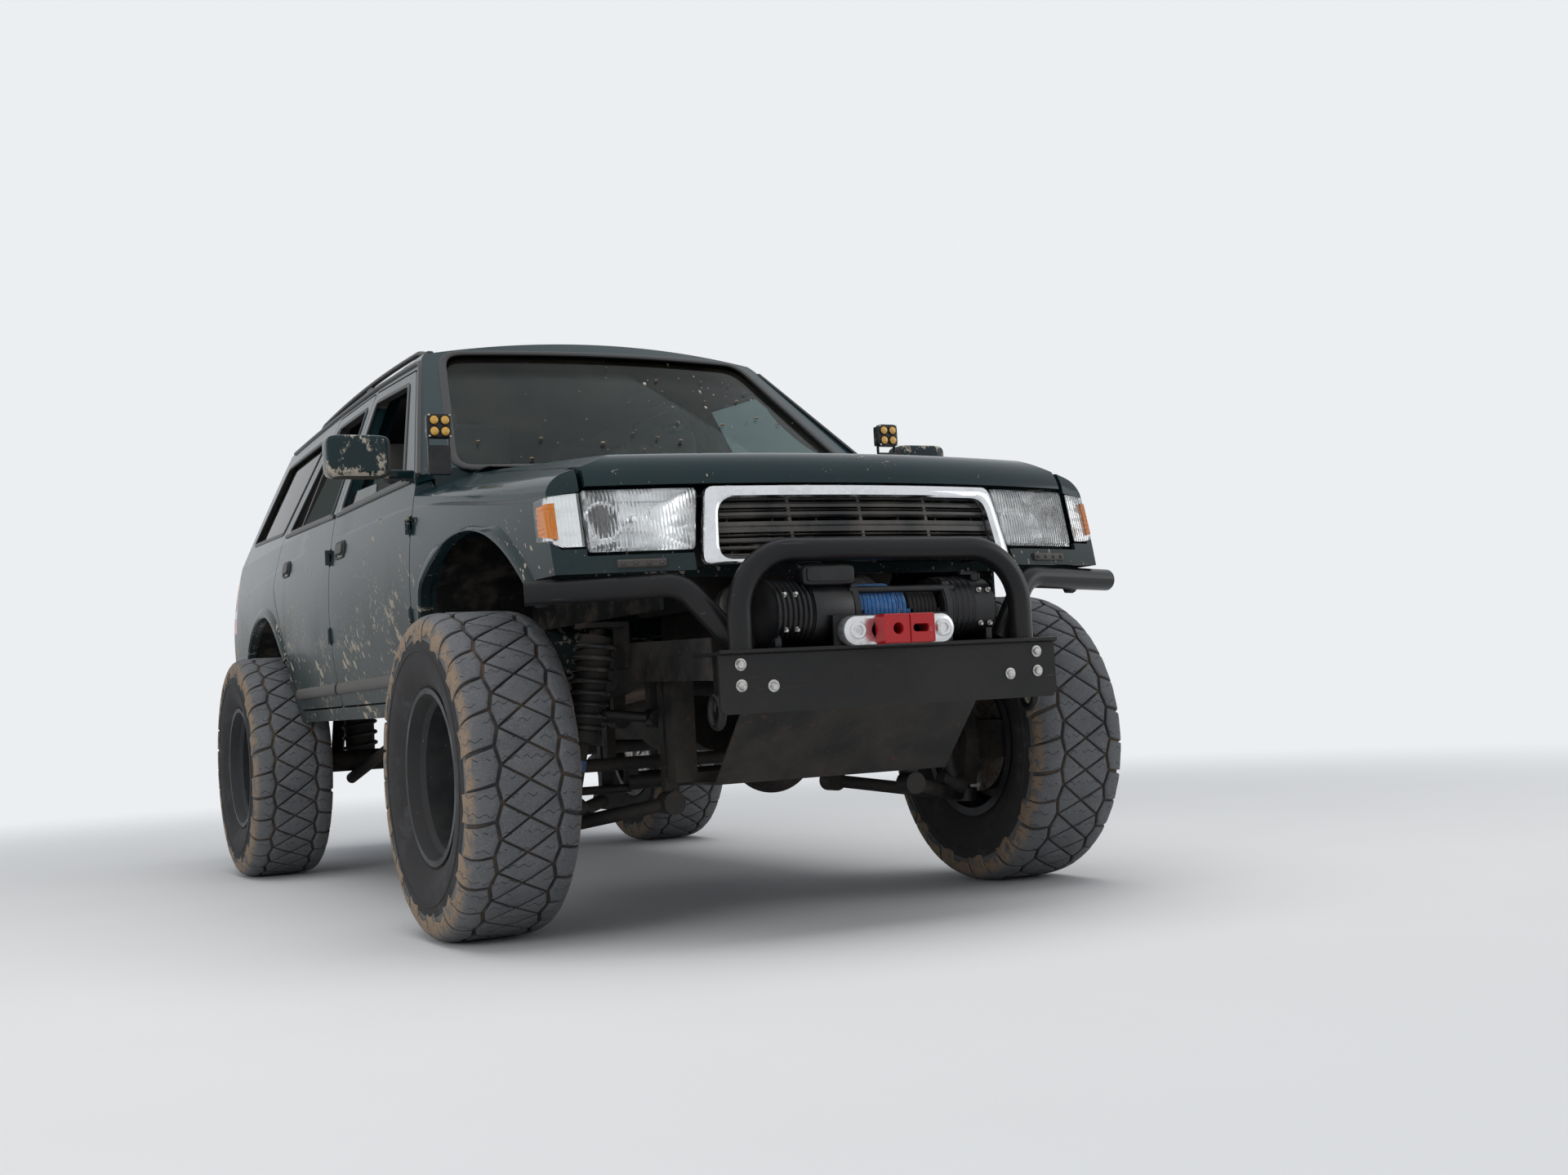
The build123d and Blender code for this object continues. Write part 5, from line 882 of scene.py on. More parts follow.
def corner_curve(side, share_from, share_to, z_low, z_high, depth):
    """The wrapped lamp face between two heights: across the front, round a bend, back along the side."""
    share = np.linspace(share_from, share_to, 26)
    tall = np.linspace(0, 1, 14)[:, None]
    run = share * 0.190
    corner_run = 0.070
    z_bottom = np.interp(share, (0.0, 0.26, 0.42, 1.0), z_low)
    z_top = np.interp(share, (0.0, 0.42, 1.0), z_high)
    z = z_bottom + (z_top - z_bottom) * tall
    x = np.minimum(0.722 + np.minimum(run, corner_run), side_x(behind(-0.625), z) - depth)
    blend = 0.5 + 0.5 * np.tanh((run - corner_run) / 0.012)
    y = nose_y(x, z) + depth + np.maximum(run - corner_run, 0.0) * 0.98
    x = x * (1 - blend) + (side_x(y, z) - depth) * blend
    return np.stack([side * x, y, z], -1)


# Heights of the lower and upper edges, from the headlamp round to the side
CLEAR_EDGES = (0.972, 0.972, 0.985, 0.997), (1.105, 1.098, 1.092)
AMBER_EDGES = (0.990, 0.990, 0.996, 1.012), (1.086, 1.080, 1.074)
# Cover, amber part and bowl: finish, reach as shares of the wrap, edges, and depths of both faces
CORNER_LAYERS = [
    (0, 0.0, 0.80, CLEAR_EDGES, -0.0020, 0.0010),
    (1, 0.30, 0.70, AMBER_EDGES, -0.0042, 0.0),
    (2, 0.02, 0.78, CLEAR_EDGES, 0.0030, 0.020),
]
shells = []
for side in (-1, 1):
    for finish, low, high, edges, front, back in CORNER_LAYERS:
        outer_face = corner_curve(side, low, high, *edges, front)
        inner_face = corner_curve(side, low, high, *edges, back)
        shells.append(carried(np.concatenate([outer_face, inner_face[:, ::-1]], 1), finish=finish))
piece("corner_lenses", shells, [clear_lens, amber_lens, lamp_bowl], "chassis")

# The strips under the headlamps: short black bars moulded in plastic, each held to the front panel by
# a row of four small screws.
black_bezel, place = new_finish("black_bezel")
colour = mixed(noise(place, 30.0) * 0.3, (0.012, 0.012, 0.012, 1.0), DUST)
close_finish(place, colour, 0.5, noise(place, 500.0), 0.0002)
# The bar's section, as (ahead of the panel, up)
BAR = np.array([
    (-0.006, -0.010), (0.001, -0.010), (0.004, -0.006), (0.004, 0.006), (0.001, 0.010),
    (-0.006, 0.010),
])
SCREW = [(-0.002, 0.0045), (0.003, 0.0045), (0.005, 0.002)]
BAR_Z = 0.926
shells = []
for side in (-1, 1):
    x = np.linspace(0.540, 0.655, 12) * side
    path = np.stack([x, nose_y(x, BAR_Z) - 0.004, np.full(12, BAR_Z)], -1)
    shells.append(along_path(path, -BACK, UP, BAR))
    for x in (0.552, 0.582, 0.613, 0.643):
        shells.append(turned(SCREW, (side * x, float(nose_y(x, BAR_Z)) - 0.008, BAR_Z), -BACK, 6))
piece("lamp_strips", shells, [black_bezel], "chassis")

# The winch bumper: folded plate with a bent hoop and two side tubes welded to it, powder coated satin
# black, with bare zinc bolts at both ends of the plate.
black_paint, place = new_finish("black_powder_coat")
dust = road_dust(place, 1.1, 0.45, 0.04, 0.26)
scuffs = noise(stretched(place, (3.0, 26.0, 60.0)), 1.0, 5.0, 0.7).step(0.63, 0.70)
peel = noise(place, 260.0, 2.0)
colour = mixed(dust * 0.2, (0.004, 0.0045, 0.006, 1.0), DUST)
colour = mixed(scuffs * 0.22, colour, (0.16, 0.15, 0.14, 1.0))
roughness = (dust * 0.5 + 0.26 + scuffs * 0.2).under(1.0)
close_finish(place, colour, roughness, peel, 0.00025, specular=0.28)
dress(black_paint, "winch_bumper", "rear_bumper")
zinc, place = new_finish("zinc_plate")
spots = noise(place, 90.0, 5.0).step(0.4, 0.7)
colour = mixed(spots, (0.55, 0.55, 0.54, 1.0), (0.34, 0.31, 0.27, 1.0))
close_finish(place, colour, spots * 0.3 + 0.32, spots, 0.0003, metallic=0.85)


def bolt(spot, axis, radius=0.011, finish=0):
    """A washer and a six-sided head with its corners turned off."""
    washer = [(-0.001, radius * 1.35), (0.002, radius * 1.35), (0.0026, radius * 1.2)]
    head = [(0.001, radius), (0.008, radius), (0.0095, radius * 0.86)]
    return [turned(washer, spot, axis, 24, finish), turned(head, spot, axis, 6, finish)]


def circle(radius, count):
    """Points of a circle, or of an oval where two radii are given."""
    t = np.linspace(0, 2 * pi, count, endpoint=False)
    return np.stack([np.cos(t), np.sin(t)], -1) * radius


shells = []
for side in (-1, 1):
    for x, z in ((0.425, 0.668), (0.425, 0.618), (0.340, 0.614)):
        shells += bolt((side * x, behind(-0.785), z), (0, -1, 0))
piece("bumper_bolts", shells, [zinc], "chassis")

# The bumper's lip and eyes: the plate's top edge is rolled forward, and a ring of bent rod for a towing
# hook is welded under each of its corners.
x = np.linspace(-0.482, 0.482, 40)
lip = np.array([
    (0.000, -0.006), (0.000, 0.004), (0.006, 0.007), (0.016, 0.006), (0.016, -0.002),
    (0.008, -0.006),
])
path = np.stack([x, np.full(40, behind(-0.784)), np.full(40, 0.697)], -1)
shells = [along_path(path, -BACK, UP, lip)]
around = circle(1.0, 36)
outward = around[:, :1] * BACK + around[:, 1:] * UP
for side in (-1, 1):
    eye_ring = (side * 0.452, behind(-0.700), 0.560) + outward * (0.0, 0.030, 0.036)
    shells.append(along_path(eye_ring, outward, LEFT, circle(0.011, 12), True))
piece("bumper_lip", shells, [black_paint], "chassis")

# The winch: a ribbed motor and a gear case either side of a drum, tied by two rods, with its relay box
# and clutch lever on top, all in satin black with bright screws.
winch_black, place = new_finish("winch_black")
dust = noise(place, 12.0, 6.0, 0.65).step(0.40, 0.80) * 0.16
colour = mixed(dust * 0.5, (0.005, 0.0055, 0.007, 1.0), DUST)
close_finish(place, colour, dust * 0.8 + 0.36, noise(place, 380.0, 2.0), 0.0003, specular=0.4)
WINCH_Y, WINCH_Z = behind(-0.690), 0.790


def ribbed(from_x, to_x, radius, ribs, depth):
    """A turned case with square ribs: its radius steps down between evenly spaced ribs."""
    along = np.linspace(0, 1, ribs * 4 + 1)
    groove = (np.arange(len(along)) % 4 >= 2) * depth
    profile = [(from_x, radius * 0.86), (from_x + 0.002, radius * 0.97)]
    profile += [(from_x + 0.004 + (to_x - from_x - 0.008) * a, radius - g) for a, g in zip(along, groove)]
    profile += [(to_x - 0.002, radius * 0.97), (to_x, radius * 0.86)]
    return profile


def winch_part(profile, sides=64, finish=0):
    """A turned form on the drum's axis."""
    return turned(profile, (0.0, WINCH_Y, WINCH_Z), LEFT, sides, finish)


shells = [
    winch_part(ribbed(-0.311, -0.205, 0.084, 7, 0.006)),
    winch_part([
        (-0.207, 0.060), (-0.206, 0.084), (-0.100, 0.084), (-0.094, 0.080), (-0.080, 0.080),
        (-0.079, 0.04),
    ]),
    winch_part(ribbed(0.186, 0.262, 0.083, 4, 0.004)),
    winch_part([(0.258, 0.060), (0.260, 0.078), (0.318, 0.078), (0.328, 0.066), (0.330, 0.030)]),
    winch_part([(0.165, 0.050), (0.166, 0.080), (0.175, 0.082), (0.190, 0.082), (0.191, 0.050)]),
    rounded_block((-0.230, behind(-0.762), 0.853), (-0.083, behind(-0.706), 0.905), 0.30),
    rounded_block((-0.222, behind(-0.768), 0.862), (-0.091, behind(-0.760), 0.898), 0.30),
]
TIE_ROD = [(-0.104, 0.006), (-0.102, 0.009), (0.202, 0.009), (0.204, 0.006)]
for x in (-0.300, -0.100, 0.190, 0.310):
    low, high = (x - 0.010, WINCH_Y - 0.056, 0.7005), (x + 0.010, WINCH_Y + 0.056, 0.786)
    shells.append(rounded_block(low, high, 0.16))
for y in (WINCH_Y - 0.062, WINCH_Y + 0.062):
    shells.append(turned(TIE_ROD, (0, y, WINCH_Z + 0.050), LEFT, 18))
# Angular end shrouds bolted to the drum ends
SHROUD = [(-0.078, 0.716), (-0.086, 0.800), (-0.060, 0.866), (0.060, 0.866), (0.080, 0.800), (0.070, 0.716)]
SHROUD_DEPTHS, SHROUD_SHARES = (-0.010, -0.008, 0.008, 0.010), (0.96, 1.0, 1.0, 0.96)
shroud_ring = rounded(np.array(SHROUD) + (WINCH_Y, 0.0), 0.016)
for x, way in ((-0.088, -1), (0.178, 1)):
    outline = np.insert(shroud_ring, 0, x, axis=1)
    shells.append(filled(outline, outline.mean(0), SHROUD_DEPTHS, SHROUD_SHARES, LEFT))
    for y, z in ((-0.072, 0.742), (-0.078, 0.800), (-0.052, 0.852)):
        shells += bolt((x + way * 0.010, WINCH_Y + y * 0.88, z), (way, 0, 0), 0.006, finish=1)
for x in (-0.286, -0.255, 0.276, 0.304):
    for z in (0.748, 0.832):
        depth = sqrt(0.084**2 - (z - WINCH_Z) ** 2) - 0.004
        shells += bolt((x, WINCH_Y - depth, z), (0, -1, (z - WINCH_Z) * 8), 0.005, finish=1)
# Clutch lever and the boss that it turns on
boss = [(0.0, 0.016), (0.018, 0.016), (0.020, 0.010)]
lever = (0.250, WINCH_Y - 0.030, WINCH_Z + 0.084), (0.302, WINCH_Y - 0.012, WINCH_Z + 0.094)
shells.append(turned(boss, (0.296, WINCH_Y - 0.020, WINCH_Z + 0.070), UP, 24))
shells.append(rounded_block(*lever, 0.35))
piece("winch_body", shells, [winch_black, zinc], "chassis", ("winch",))

# The winch rope: braided blue synthetic line wound side by side on the drum, its last third in a black
# sleeve, with one run that leaves through the fairlead to the link.
rope_blue, place = new_finish("rope_blue")
run = place.node("ShaderNodeUVMap", {"uv_map": "run"})
u, v, _ = split(run)
twist = (u * 900.0 + v * 6.283 * 4).sine()
counter = (u * 900.0 - v * 6.283 * 4).sine()
weave = (twist * counter) * 0.5 + 0.5
fade = noise(place, 60.0, 4.0).step(0.4, 0.75)
colour = mixed(weave, (0.010, 0.070, 0.230, 1.0), (0.060, 0.260, 0.620, 1.0))
colour = mixed(fade * 0.35, colour, (0.30, 0.42, 0.55, 1.0))
close_finish(place, colour, 0.72, weave, 0.0012, sheen=0.2)
rope_sleeve, place = new_finish("rope_sleeve")
colour = mixed(noise(place, 300.0), (0.010, 0.010, 0.011, 1.0), (0.035, 0.034, 0.033, 1.0))
close_finish(place, colour, 0.8, noise(place, 300.0), 0.0006)


WOUND_STEPS, WOUND_SIDES = 26, 9


def wound(from_x, to_x, pitch, coil, thick, finish):
    """A line wound as a helix: it advances one pitch for each turn round the drum."""
    turns = round((to_x - from_x) / pitch)
    t = np.linspace(0, turns * 2 * pi, turns * WOUND_STEPS)
    x, y, z = from_x + pitch * t / (2 * pi), WINCH_Y - coil * np.cos(t), WINCH_Z + coil * np.sin(t)
    path = np.stack([x, y, z], -1)
    outward = np.stack([np.zeros_like(t), -np.cos(t), np.sin(t)], -1)
    steps = (coil * 2 * pi / WOUND_STEPS, 1 / WOUND_SIDES)
    return along_path(path, outward, LEFT, circle(thick, WOUND_SIDES), finish=finish, steps=steps)


shells = [
    winch_part([(-0.078, 0.030), (-0.078, 0.046), (0.163, 0.046), (0.163, 0.030)], sides=48, finish=1),
    wound(-0.071, 0.070, 0.0118, 0.0565, 0.0062, 0),
    wound(0.080, 0.160, 0.0118, 0.0525, 0.0062, 1),
    wound(-0.070, 0.040, 0.0118, 0.0640, 0.0060, 0),
]
# The free run, from the drum out through the fairlead
free_run = [(-0.010, WINCH_Y - 0.045, WINCH_Z - 0.046), (-0.008, behind(-0.772), 0.742)]
free_run = np.array(free_run + [(-0.004, behind(-0.800), 0.738), (0.0, behind(-0.823), 0.737)])
shells.append(along_path(evenly(free_run, 14), LEFT, UP, circle(0.0062, 10), steps=(0.006, 0.1)))
piece("rope_windings", shells, [rope_blue, rope_sleeve], "chassis", ("winch_rope",))

# The fairlead and the link: a cast and polished alloy guide held by two large screws, and a red
# anodised flat link that the rope is spliced to.
alloy, place = new_finish("polished_alloy")
brush = noise(stretched(place, (8.0, 8.0, 260.0)), 1.0, 4.0)
wear = noise(place, 40.0, 5.0).step(0.5, 0.75)
colour = mixed(wear, (0.70, 0.70, 0.71, 1.0), (0.46, 0.44, 0.41, 1.0))
close_finish(place, colour, brush * 0.18 + 0.20, brush, 0.00015, metallic=0.9)
red_link, place = new_finish("red_anodising")
wear = noise(place, 55.0, 6.0, 0.7).step(0.58, 0.68)
colour = mixed(wear * 0.4, (0.42, 0.010, 0.014, 1.0), (0.40, 0.24, 0.22, 1.0))
close_finish(place, colour, wear * 0.25 + 0.34, wear, 0.0002, metallic=0.35, coat=0.2)


def slot_outline(half_length, half_height, centre_x=0.0):
    """A slot seen from ahead: two half circles joined by straight sides."""
    way = circle(1.0, 64)
    straight = np.sign(way[:, :1]) * (half_length - half_height, 0.0)
    return way * half_height + straight + (centre_x, LEAD_Z)


def slotted(rims):
    """A closed loop of outlines, each set at its own row y."""
    return carried(np.array([np.insert(outline, 1, y, axis=1) for outline, y in rims]), along=True)


FRONT_Y, FOOT_Y, LEAD_Z = behind(-0.8216), behind(-0.7855), 0.737
# How much smaller than the guide's outline, and larger than its slot, each rim is
OUTER_RIMS = [
    (0.002, FOOT_Y), (0.0, behind(-0.790)), (0.0, FRONT_Y + 0.012), (0.003, FRONT_Y + 0.004),
    (0.009, FRONT_Y),
]
INNER_RIMS = [
    (0.012, FRONT_Y), (0.005, FRONT_Y + 0.003), (0.001, FRONT_Y + 0.010), (0.0, behind(-0.790)),
    (0.0, FOOT_Y),
]
guide = [(slot_outline(0.160 - inset, 0.038 - inset), y) for inset, y in OUTER_RIMS]
guide += [(slot_outline(0.075 + grow, 0.015 + grow), y) for grow, y in INNER_RIMS]
GUIDE_SCREW = [(0.0, 0.022), (0.006, 0.022), (0.009, 0.019), (0.009, 0.012), (0.004, 0.011), (0.004, 0.001)]
shells = [slotted(guide)]
for side in (-1, 1):
    shells.append(turned(GUIDE_SCREW, (side * 0.122, FRONT_Y + 0.001, LEAD_Z), -BACK, 40))
piece("fairlead_guide", shells, [alloy], "chassis", ("fairlead",))
near, far = behind(-0.8219), behind(-0.868)
# The link's two halves: the eye's middle, half length and half height, and the half's ends
LINK_HALVES = [(-0.034, 0.0131, 0.013, -0.072, 0.0), (0.032, 0.022, 0.009, 0.0, 0.072)]
shells = []
for centre_x, half_length, half_height, low_x, high_x in LINK_HALVES:
    hole = slot_outline(half_length, half_height, centre_x)
    way = circle(1.0, 64)
    middle = np.array((centre_x, LEAD_Z))
    reach = np.where(way[:, 0] > 0, high_x - centre_x, centre_x - low_x)
    span_x = reach / np.maximum(np.abs(way[:, 0]), 1e-6)
    span_z = 0.036 / np.maximum(np.abs(way[:, 1]), 1e-6)
    rim = middle + way * np.minimum(span_x, span_z)[:, None]
    rims = [(hole, near), (rim, near), (rim, far + 0.003), (middle + (rim - middle) * 0.94, far)]
    rims += [(middle + (hole - middle) * 1.12, far), (hole, far + 0.003)]
    shells.append(slotted(rims))
piece("red_link", shells, [red_link], "chassis", ("rope_link",))

# The cowl lights: square finned pods on folded brackets, each with four domed amber lenses behind a
# bezel held by small screws.
amber_dome, place = new_finish("amber_dome")
fleck = cells(place, 260.0)
colour = mixed(fleck, (0.95, 0.42, 0.02, 1.0), (1.0, 0.62, 0.10, 1.0))
close_finish(place, colour, 0.14, fleck, 0.0004, clear=0.3, coat=0.6)
LENS_BEZEL = [(0.0, 0.0158), (0.004, 0.0158), (0.005, 0.0145), (0.0048, 0.0140), (0.001, 0.0138)]
DOME = [(0.001, 0.0136), (0.0038, 0.0122), (0.0056, 0.008), (0.0062, 0.001)]
SMALL_SCREW = [(0.0, 0.0032), (0.004, 0.0032), (0.005, 0.001)]
PIVOT_SCREW = [(0.0, 0.006), (0.003, 0.006), (0.004, 0.001)]
QUARTERS = ((-1, -1), (-1, 1), (1, -1), (1, 1))
for side, tag in SIDES:
    cx, cy, cz = side * 0.760, behind(0.459), 1.431
    low, high = (cx - 0.037, cy - 0.018, cz - 0.037), (cx + 0.037, cy + 0.006, cz + 0.037)
    shells = [rounded_block(low, high, 0.30)]
    # Cooling fins, the bracket's two cheeks and its foot
    for index in range(7):
        fin_x = cx - 0.030 + 0.010 * index
        low, high = (fin_x - 0.0018, cy + 0.002, cz - 0.032), (fin_x + 0.0018, cy + 0.024, cz + 0.032)
        shells.append(rounded_block(low, high, 0.2, 16, 10))
    for cheek_x in (cx - 0.033, cx + 0.029):
        low, high = (cheek_x, cy - 0.004, cz - 0.060), (cheek_x + 0.004, cy + 0.008, cz + 0.006)
        shells.append(rounded_block(low, high, 0.2, 20, 12))
    low, high = (cx - 0.034, cy - 0.008, 1.288), (cx + 0.034, cy + 0.006, cz - 0.056)
    shells.append(rounded_block(low, high, 0.14, 24, 14))
    for across, up in QUARTERS:
        spot = (cx + 0.0165 * across, cy - 0.0175, cz + 0.0165 * up)
        shells.append(turned(LENS_BEZEL, spot, -BACK, 28))
        shells.append(turned(DOME, spot, -BACK, 24, finish=1))
    for across, up in QUARTERS:
        spot = (cx + 0.031 * across, cy - 0.0165, cz + 0.031 * up)
        shells.append(turned(SMALL_SCREW, spot, -BACK, 6, finish=2))
    for way in (-1, 1):
        spot = (cx + way * 0.03312, cy + 0.002, cz - 0.012)
        shells.append(turned(PIVOT_SCREW, spot, way * LEFT, 6, finish=2))
    made = piece(f"cowl_light_{tag}", shells, [winch_black, amber_dome, zinc], "chassis")
    if side < 0:
        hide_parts("light_pods")

# The wipers: pressed steel arms on two spindles in the cowl, each holding a rubber blade against the
# foot of the glass.
WIPER_ARM = np.array([(-0.007, -0.003), (0.007, -0.003), (0.006, 0.004), (-0.006, 0.004)])
WIPER_BLADE = [
    (-0.004, -0.003), (0.004, -0.003), (0.002, 0.002), (0.001, 0.010), (-0.001, 0.010),
    (-0.002, 0.002),
]
SPINDLE_CAP = [(0.0, 0.012), (0.016, 0.012), (0.020, 0.009), (0.021, 0.001)]
t = np.linspace(0, 1, 20)
shells = []
for pivot_x, tip_x in ((-0.330, 0.105), (0.150, 0.560)):
    x = pivot_x + (tip_x - pivot_x) * t
    z = 1.312 + 0.012 * np.sin(pi * t) + 0.010 * t
    y = behind(0.395) + 0.010 * np.sin(pi * t)
    path = np.stack([x, y, z], -1)
    shells.append(along_path(path[:12], BACK, UP, WIPER_ARM))
    shells.append(along_path(path + (0.0, 0.006, 0.004), BACK, UP, np.array(WIPER_BLADE)))
    shells.append(turned(SPINDLE_CAP, (pivot_x, behind(0.395), 1.2995), UP, 24))
trim_piece("wiper_arms", shells, replaces=("wipers",))

# The tyres: wide hybrid tread in dust-grey rubber. Slanted cuts divide the middle into three-cornered
# blocks that interlock, and long lugs wrap each shoulder; brown mud is packed between them.
tyre_rubber, place = new_finish("tyre_rubber")
run = place.node("ShaderNodeUVMap", {"uv_map": "run"})
u, v, _ = split(run)
height = place.node("ShaderNodeAttribute", {"attribute_name": "height"}, output="Fac")
fine = noise(place, 240.0, 4.0)
patch = noise(place, 9.0, 6.0, 0.65)
mud_share = (height.step(0.92, 0.30) * patch.step(0.38, 0.70) * 0.65).under(1.0)
tread_wear_and_shade = mixed(patch, (0.074, 0.079, 0.087, 1.0), (0.170, 0.172, 0.177, 1.0))
tread_wear_and_shade = mixed(fine.step(0.45, 0.75) * 0.5, tread_wear_and_shade, (0.24, 0.235, 0.225, 1.0))
shoulder = abs(v).step(0.122, 0.148) * height.step(0.96, 1.0)
clumps = noise(place, 26.0, 6.0, 0.7).step(0.36, 0.50)
lug_mud = mixed(fine, (0.15, 0.100, 0.062, 1.0), (0.43, 0.320, 0.220, 1.0))
tread_wear_and_shade = mixed(shoulder * clumps * 0.9, tread_wear_and_shade, lug_mud)
side_wall = height.step(0.98, 0.94) * height.step(0.90, 0.92)
tread_wear_and_shade = mixed(side_wall * (0.95 - patch.step(0.5, 0.8) * 0.35), tread_wear_and_shade, (0.030, 0.029, 0.029, 1.0))
# Painted shade: the groove floors and the feet of the blocks are darkened, most where they are deepest
tread_wear_and_shade = mixed(height.step(0.6, 0.2), tread_wear_and_shade, (0.030, 0.028, 0.026, 1.0))
colour = mixed(mud_share, tread_wear_and_shade, mixed(fine, (0.13, 0.085, 0.050, 1.0), (0.27, 0.19, 0.12, 1.0)))
# Fine cuts across the blocks: sunk by the bump, and darkened in colour as painted shade inside each cut
wave = (v * 240.0).sine() * 0.004
cut = u.maths("PINGPONG", u + wave, 0.0232).step(0.0016, 0.0006) * height.step(0.9, 0.99)
cut = cut * noise(place, 34.0, 2.0).step(0.46, 0.52)
colour = mixed(cut * 0.7, colour, (0.016, 0.015, 0.014, 1.0))
close_finish(place, colour, 0.86, fine * 0.35 - cut + patch * 0.2, 0.0012, specular=0.3)

# Across the tyre from its middle to the bead: distance outboard and radius
CASING = np.array([
    (0.0, 0.4178), (0.060, 0.4178), (0.092, 0.4168), (0.114, 0.4140), (0.128, 0.4075),
    (0.1375, 0.3960), (0.1425, 0.3800), (0.1455, 0.3600), (0.1480, 0.3400), (0.1485, 0.3300),
    (0.1480, 0.3050), (0.1440, 0.2850), (0.1360, 0.2640), (0.1270, 0.2480), (0.1235, 0.2400),
    (0.1195, 0.2370), (0.1185, 0.2170),
])
CASING_RUN = np.concatenate([[0.0], np.cumsum(np.linalg.norm(np.diff(CASING, axis=0), axis=1))])


def on_casing(run):
    """Distance outboard and radius at a run along the casing from its middle."""
    return np.stack([np.interp(run, CASING_RUN, CASING[:, k]) for k in (0, 1)], -1)


def casing_at(across):
    """Distance outboard, radius and outward direction of the casing on either half."""
    side, run = np.sign(across), np.abs(across)
    spot = on_casing(run)
    along = unit(on_casing(run + 0.004) - on_casing(run - 0.004))
    return spot[..., 0] * side, spot[..., 1], -along[..., 1] * side, along[..., 0]


def block_height(across):
    """Tread depth: full over the crown, thinning down the shoulder."""
    depths = (0.0110, 0.0110, 0.0090, 0.0055, 0.0025)
    return np.interp(np.abs(across), (0.0, 0.095, 0.130, 0.160, 0.200), depths)


PITCHES = 29
PITCH = 2 * pi * WHEEL_RADIUS / PITCHES
# The lugs of a shoulder: inner and outer edge, gap, height of the zigzag, slant, and how much every
# second one is short
LUG_IN, LUG_OUT = 0.0785, 0.192
LUG_GAP = 0.0096
LUG_ZIGZAG = 0.006
LUG_SLANT = 0.22
LUG_SHORT = 0.020
# Which way from the middle, shifts of the inner and outer zigzag, and start of each row in pitches
SHOULDERS = [(1, 0.35, 0.00, 0.65), (-1, 0.00, 0.50, 0.50)]
# The middle band has three blocks to a pitch, each given by four corners as pitches around and metres
# across: long cuts run slantwise from edge to edge, and short ones cross them
SLANT = 1.15
BAND = 0.070
POINT = 0.012
BLOCK_GAP = 0.0066
MIDDLE_BLOCKS = [
    [(0.0, -BAND), (SLANT / 2, 0.0), (1.0, -BAND), (0.5, -BAND - POINT)],
    [(SLANT / 2, 0.0), (SLANT, BAND), (1.0 + SLANT / 2, 0.0), (1.0, -BAND)],
    [(SLANT, BAND), (SLANT + 0.5, BAND + POINT), (SLANT + 1.0, BAND), (1.0 + SLANT / 2, 0.0)],
]


def raised(u, across, level):
    """Blocks standing off the casing: level 0 is sunk in it, 1 the top's edge and 2 the top itself."""
    x, radius, normal_x, normal_r = casing_at(across)
    rise = np.where(level == 0, -0.002, block_height(across) - 0.0022 * (level == 1))
    angle = u / WHEEL_RADIUS
    radius = radius + normal_r * rise
    x, u, across, high = np.broadcast_arrays(x + normal_x * rise, u, across, np.minimum(level, 1.0))
    return np.stack([x, radius * np.cos(angle), radius * np.sin(angle)], -1), u, across, high


def drawn_in(corners, by):
    """A four-sided outline with every edge moved inwards: each corner is where two moved edges cross."""
    corners = np.array(corners) * (PITCH, 1.0)
    ahead = unit(np.roll(corners, -1, 0) - corners)
    turning = np.sign(ahead[0, 0] * ahead[1, 1] - ahead[0, 1] * ahead[1, 0])
    inward = np.stack([-ahead[:, 1], ahead[:, 0]], -1) * turning
    level = (corners * inward).sum(1) + by
    before, level_before = np.roll(inward, 1, 0), np.roll(level, 1)
    crossing = before[:, 0] * inward[:, 1] - before[:, 1] * inward[:, 0]
    x = (level_before * inward[:, 1] - level * before[:, 1]) / crossing
    y = (level * before[:, 0] - level_before * inward[:, 0]) / crossing
    return np.stack([x, y], -1)


def middle_blocks(corners):
    """One block of every pitch, its four corners blended over two parameters from 0 to 1."""
    first, second, third, fourth = drawn_in(corners, BLOCK_GAP / 2)
    steps = np.array([0.0, 0.0, 0.05, 0.35, 0.65, 0.95, 1.0, 1.0])
    a, b = steps[:, None, None], steps[None, :, None]
    flat = (first * (1 - a) + second * a) * (1 - b) + (fourth * (1 - a) + third * a) * b
    edge = np.array([0, 1, 2, 2, 2, 2, 1, 0])
    u = np.arange(PITCHES)[:, None, None] * PITCH + flat[..., 0]
    return raised(u, flat[..., 1], np.minimum(edge[:, None], edge))


def zigzag(u, shift):
    """A triangle wave of one pitch."""
    return LUG_ZIGZAG * (4 * np.abs((u / PITCH + shift) % 1.0 - 0.5) - 1)


def shoulder_lugs(way, shift_in, shift_out, begin):
    """One lug of every pitch: it slants, its ends follow two zigzags, and every second one is short."""
    number = np.arange(PITCHES)[:, None, None]
    a = np.array([0.0, 0.0, 0.03, 0.27, 0.5, 0.73, 0.97, 1.0, 1.0])[:, None]
    b = np.concatenate([[0.0, 0.0, 0.04], np.linspace(0.14, 0.86, 8), [0.96, 1.0, 1.0]])
    level_a = np.array([0, 1, 2, 2, 2, 2, 2, 1, 0])[:, None]
    level_b = np.array([0, 1] + [2] * 10 + [1, 0])
    u = (number + begin) * PITCH + LUG_GAP / 2 + (PITCH - LUG_GAP) * a + LUG_SLANT * (LUG_OUT - LUG_IN) * b
    edge_in = way * (LUG_IN + LUG_GAP / 2) + zigzag(u, shift_in)
    edge_out = way * (LUG_OUT - LUG_GAP / 2 - LUG_SHORT * (number % 2)) + zigzag(u, shift_out)
    return raised(u, edge_in + (edge_out - edge_in) * b, np.minimum(level_a, level_b))


TYRE_SIDES = 136
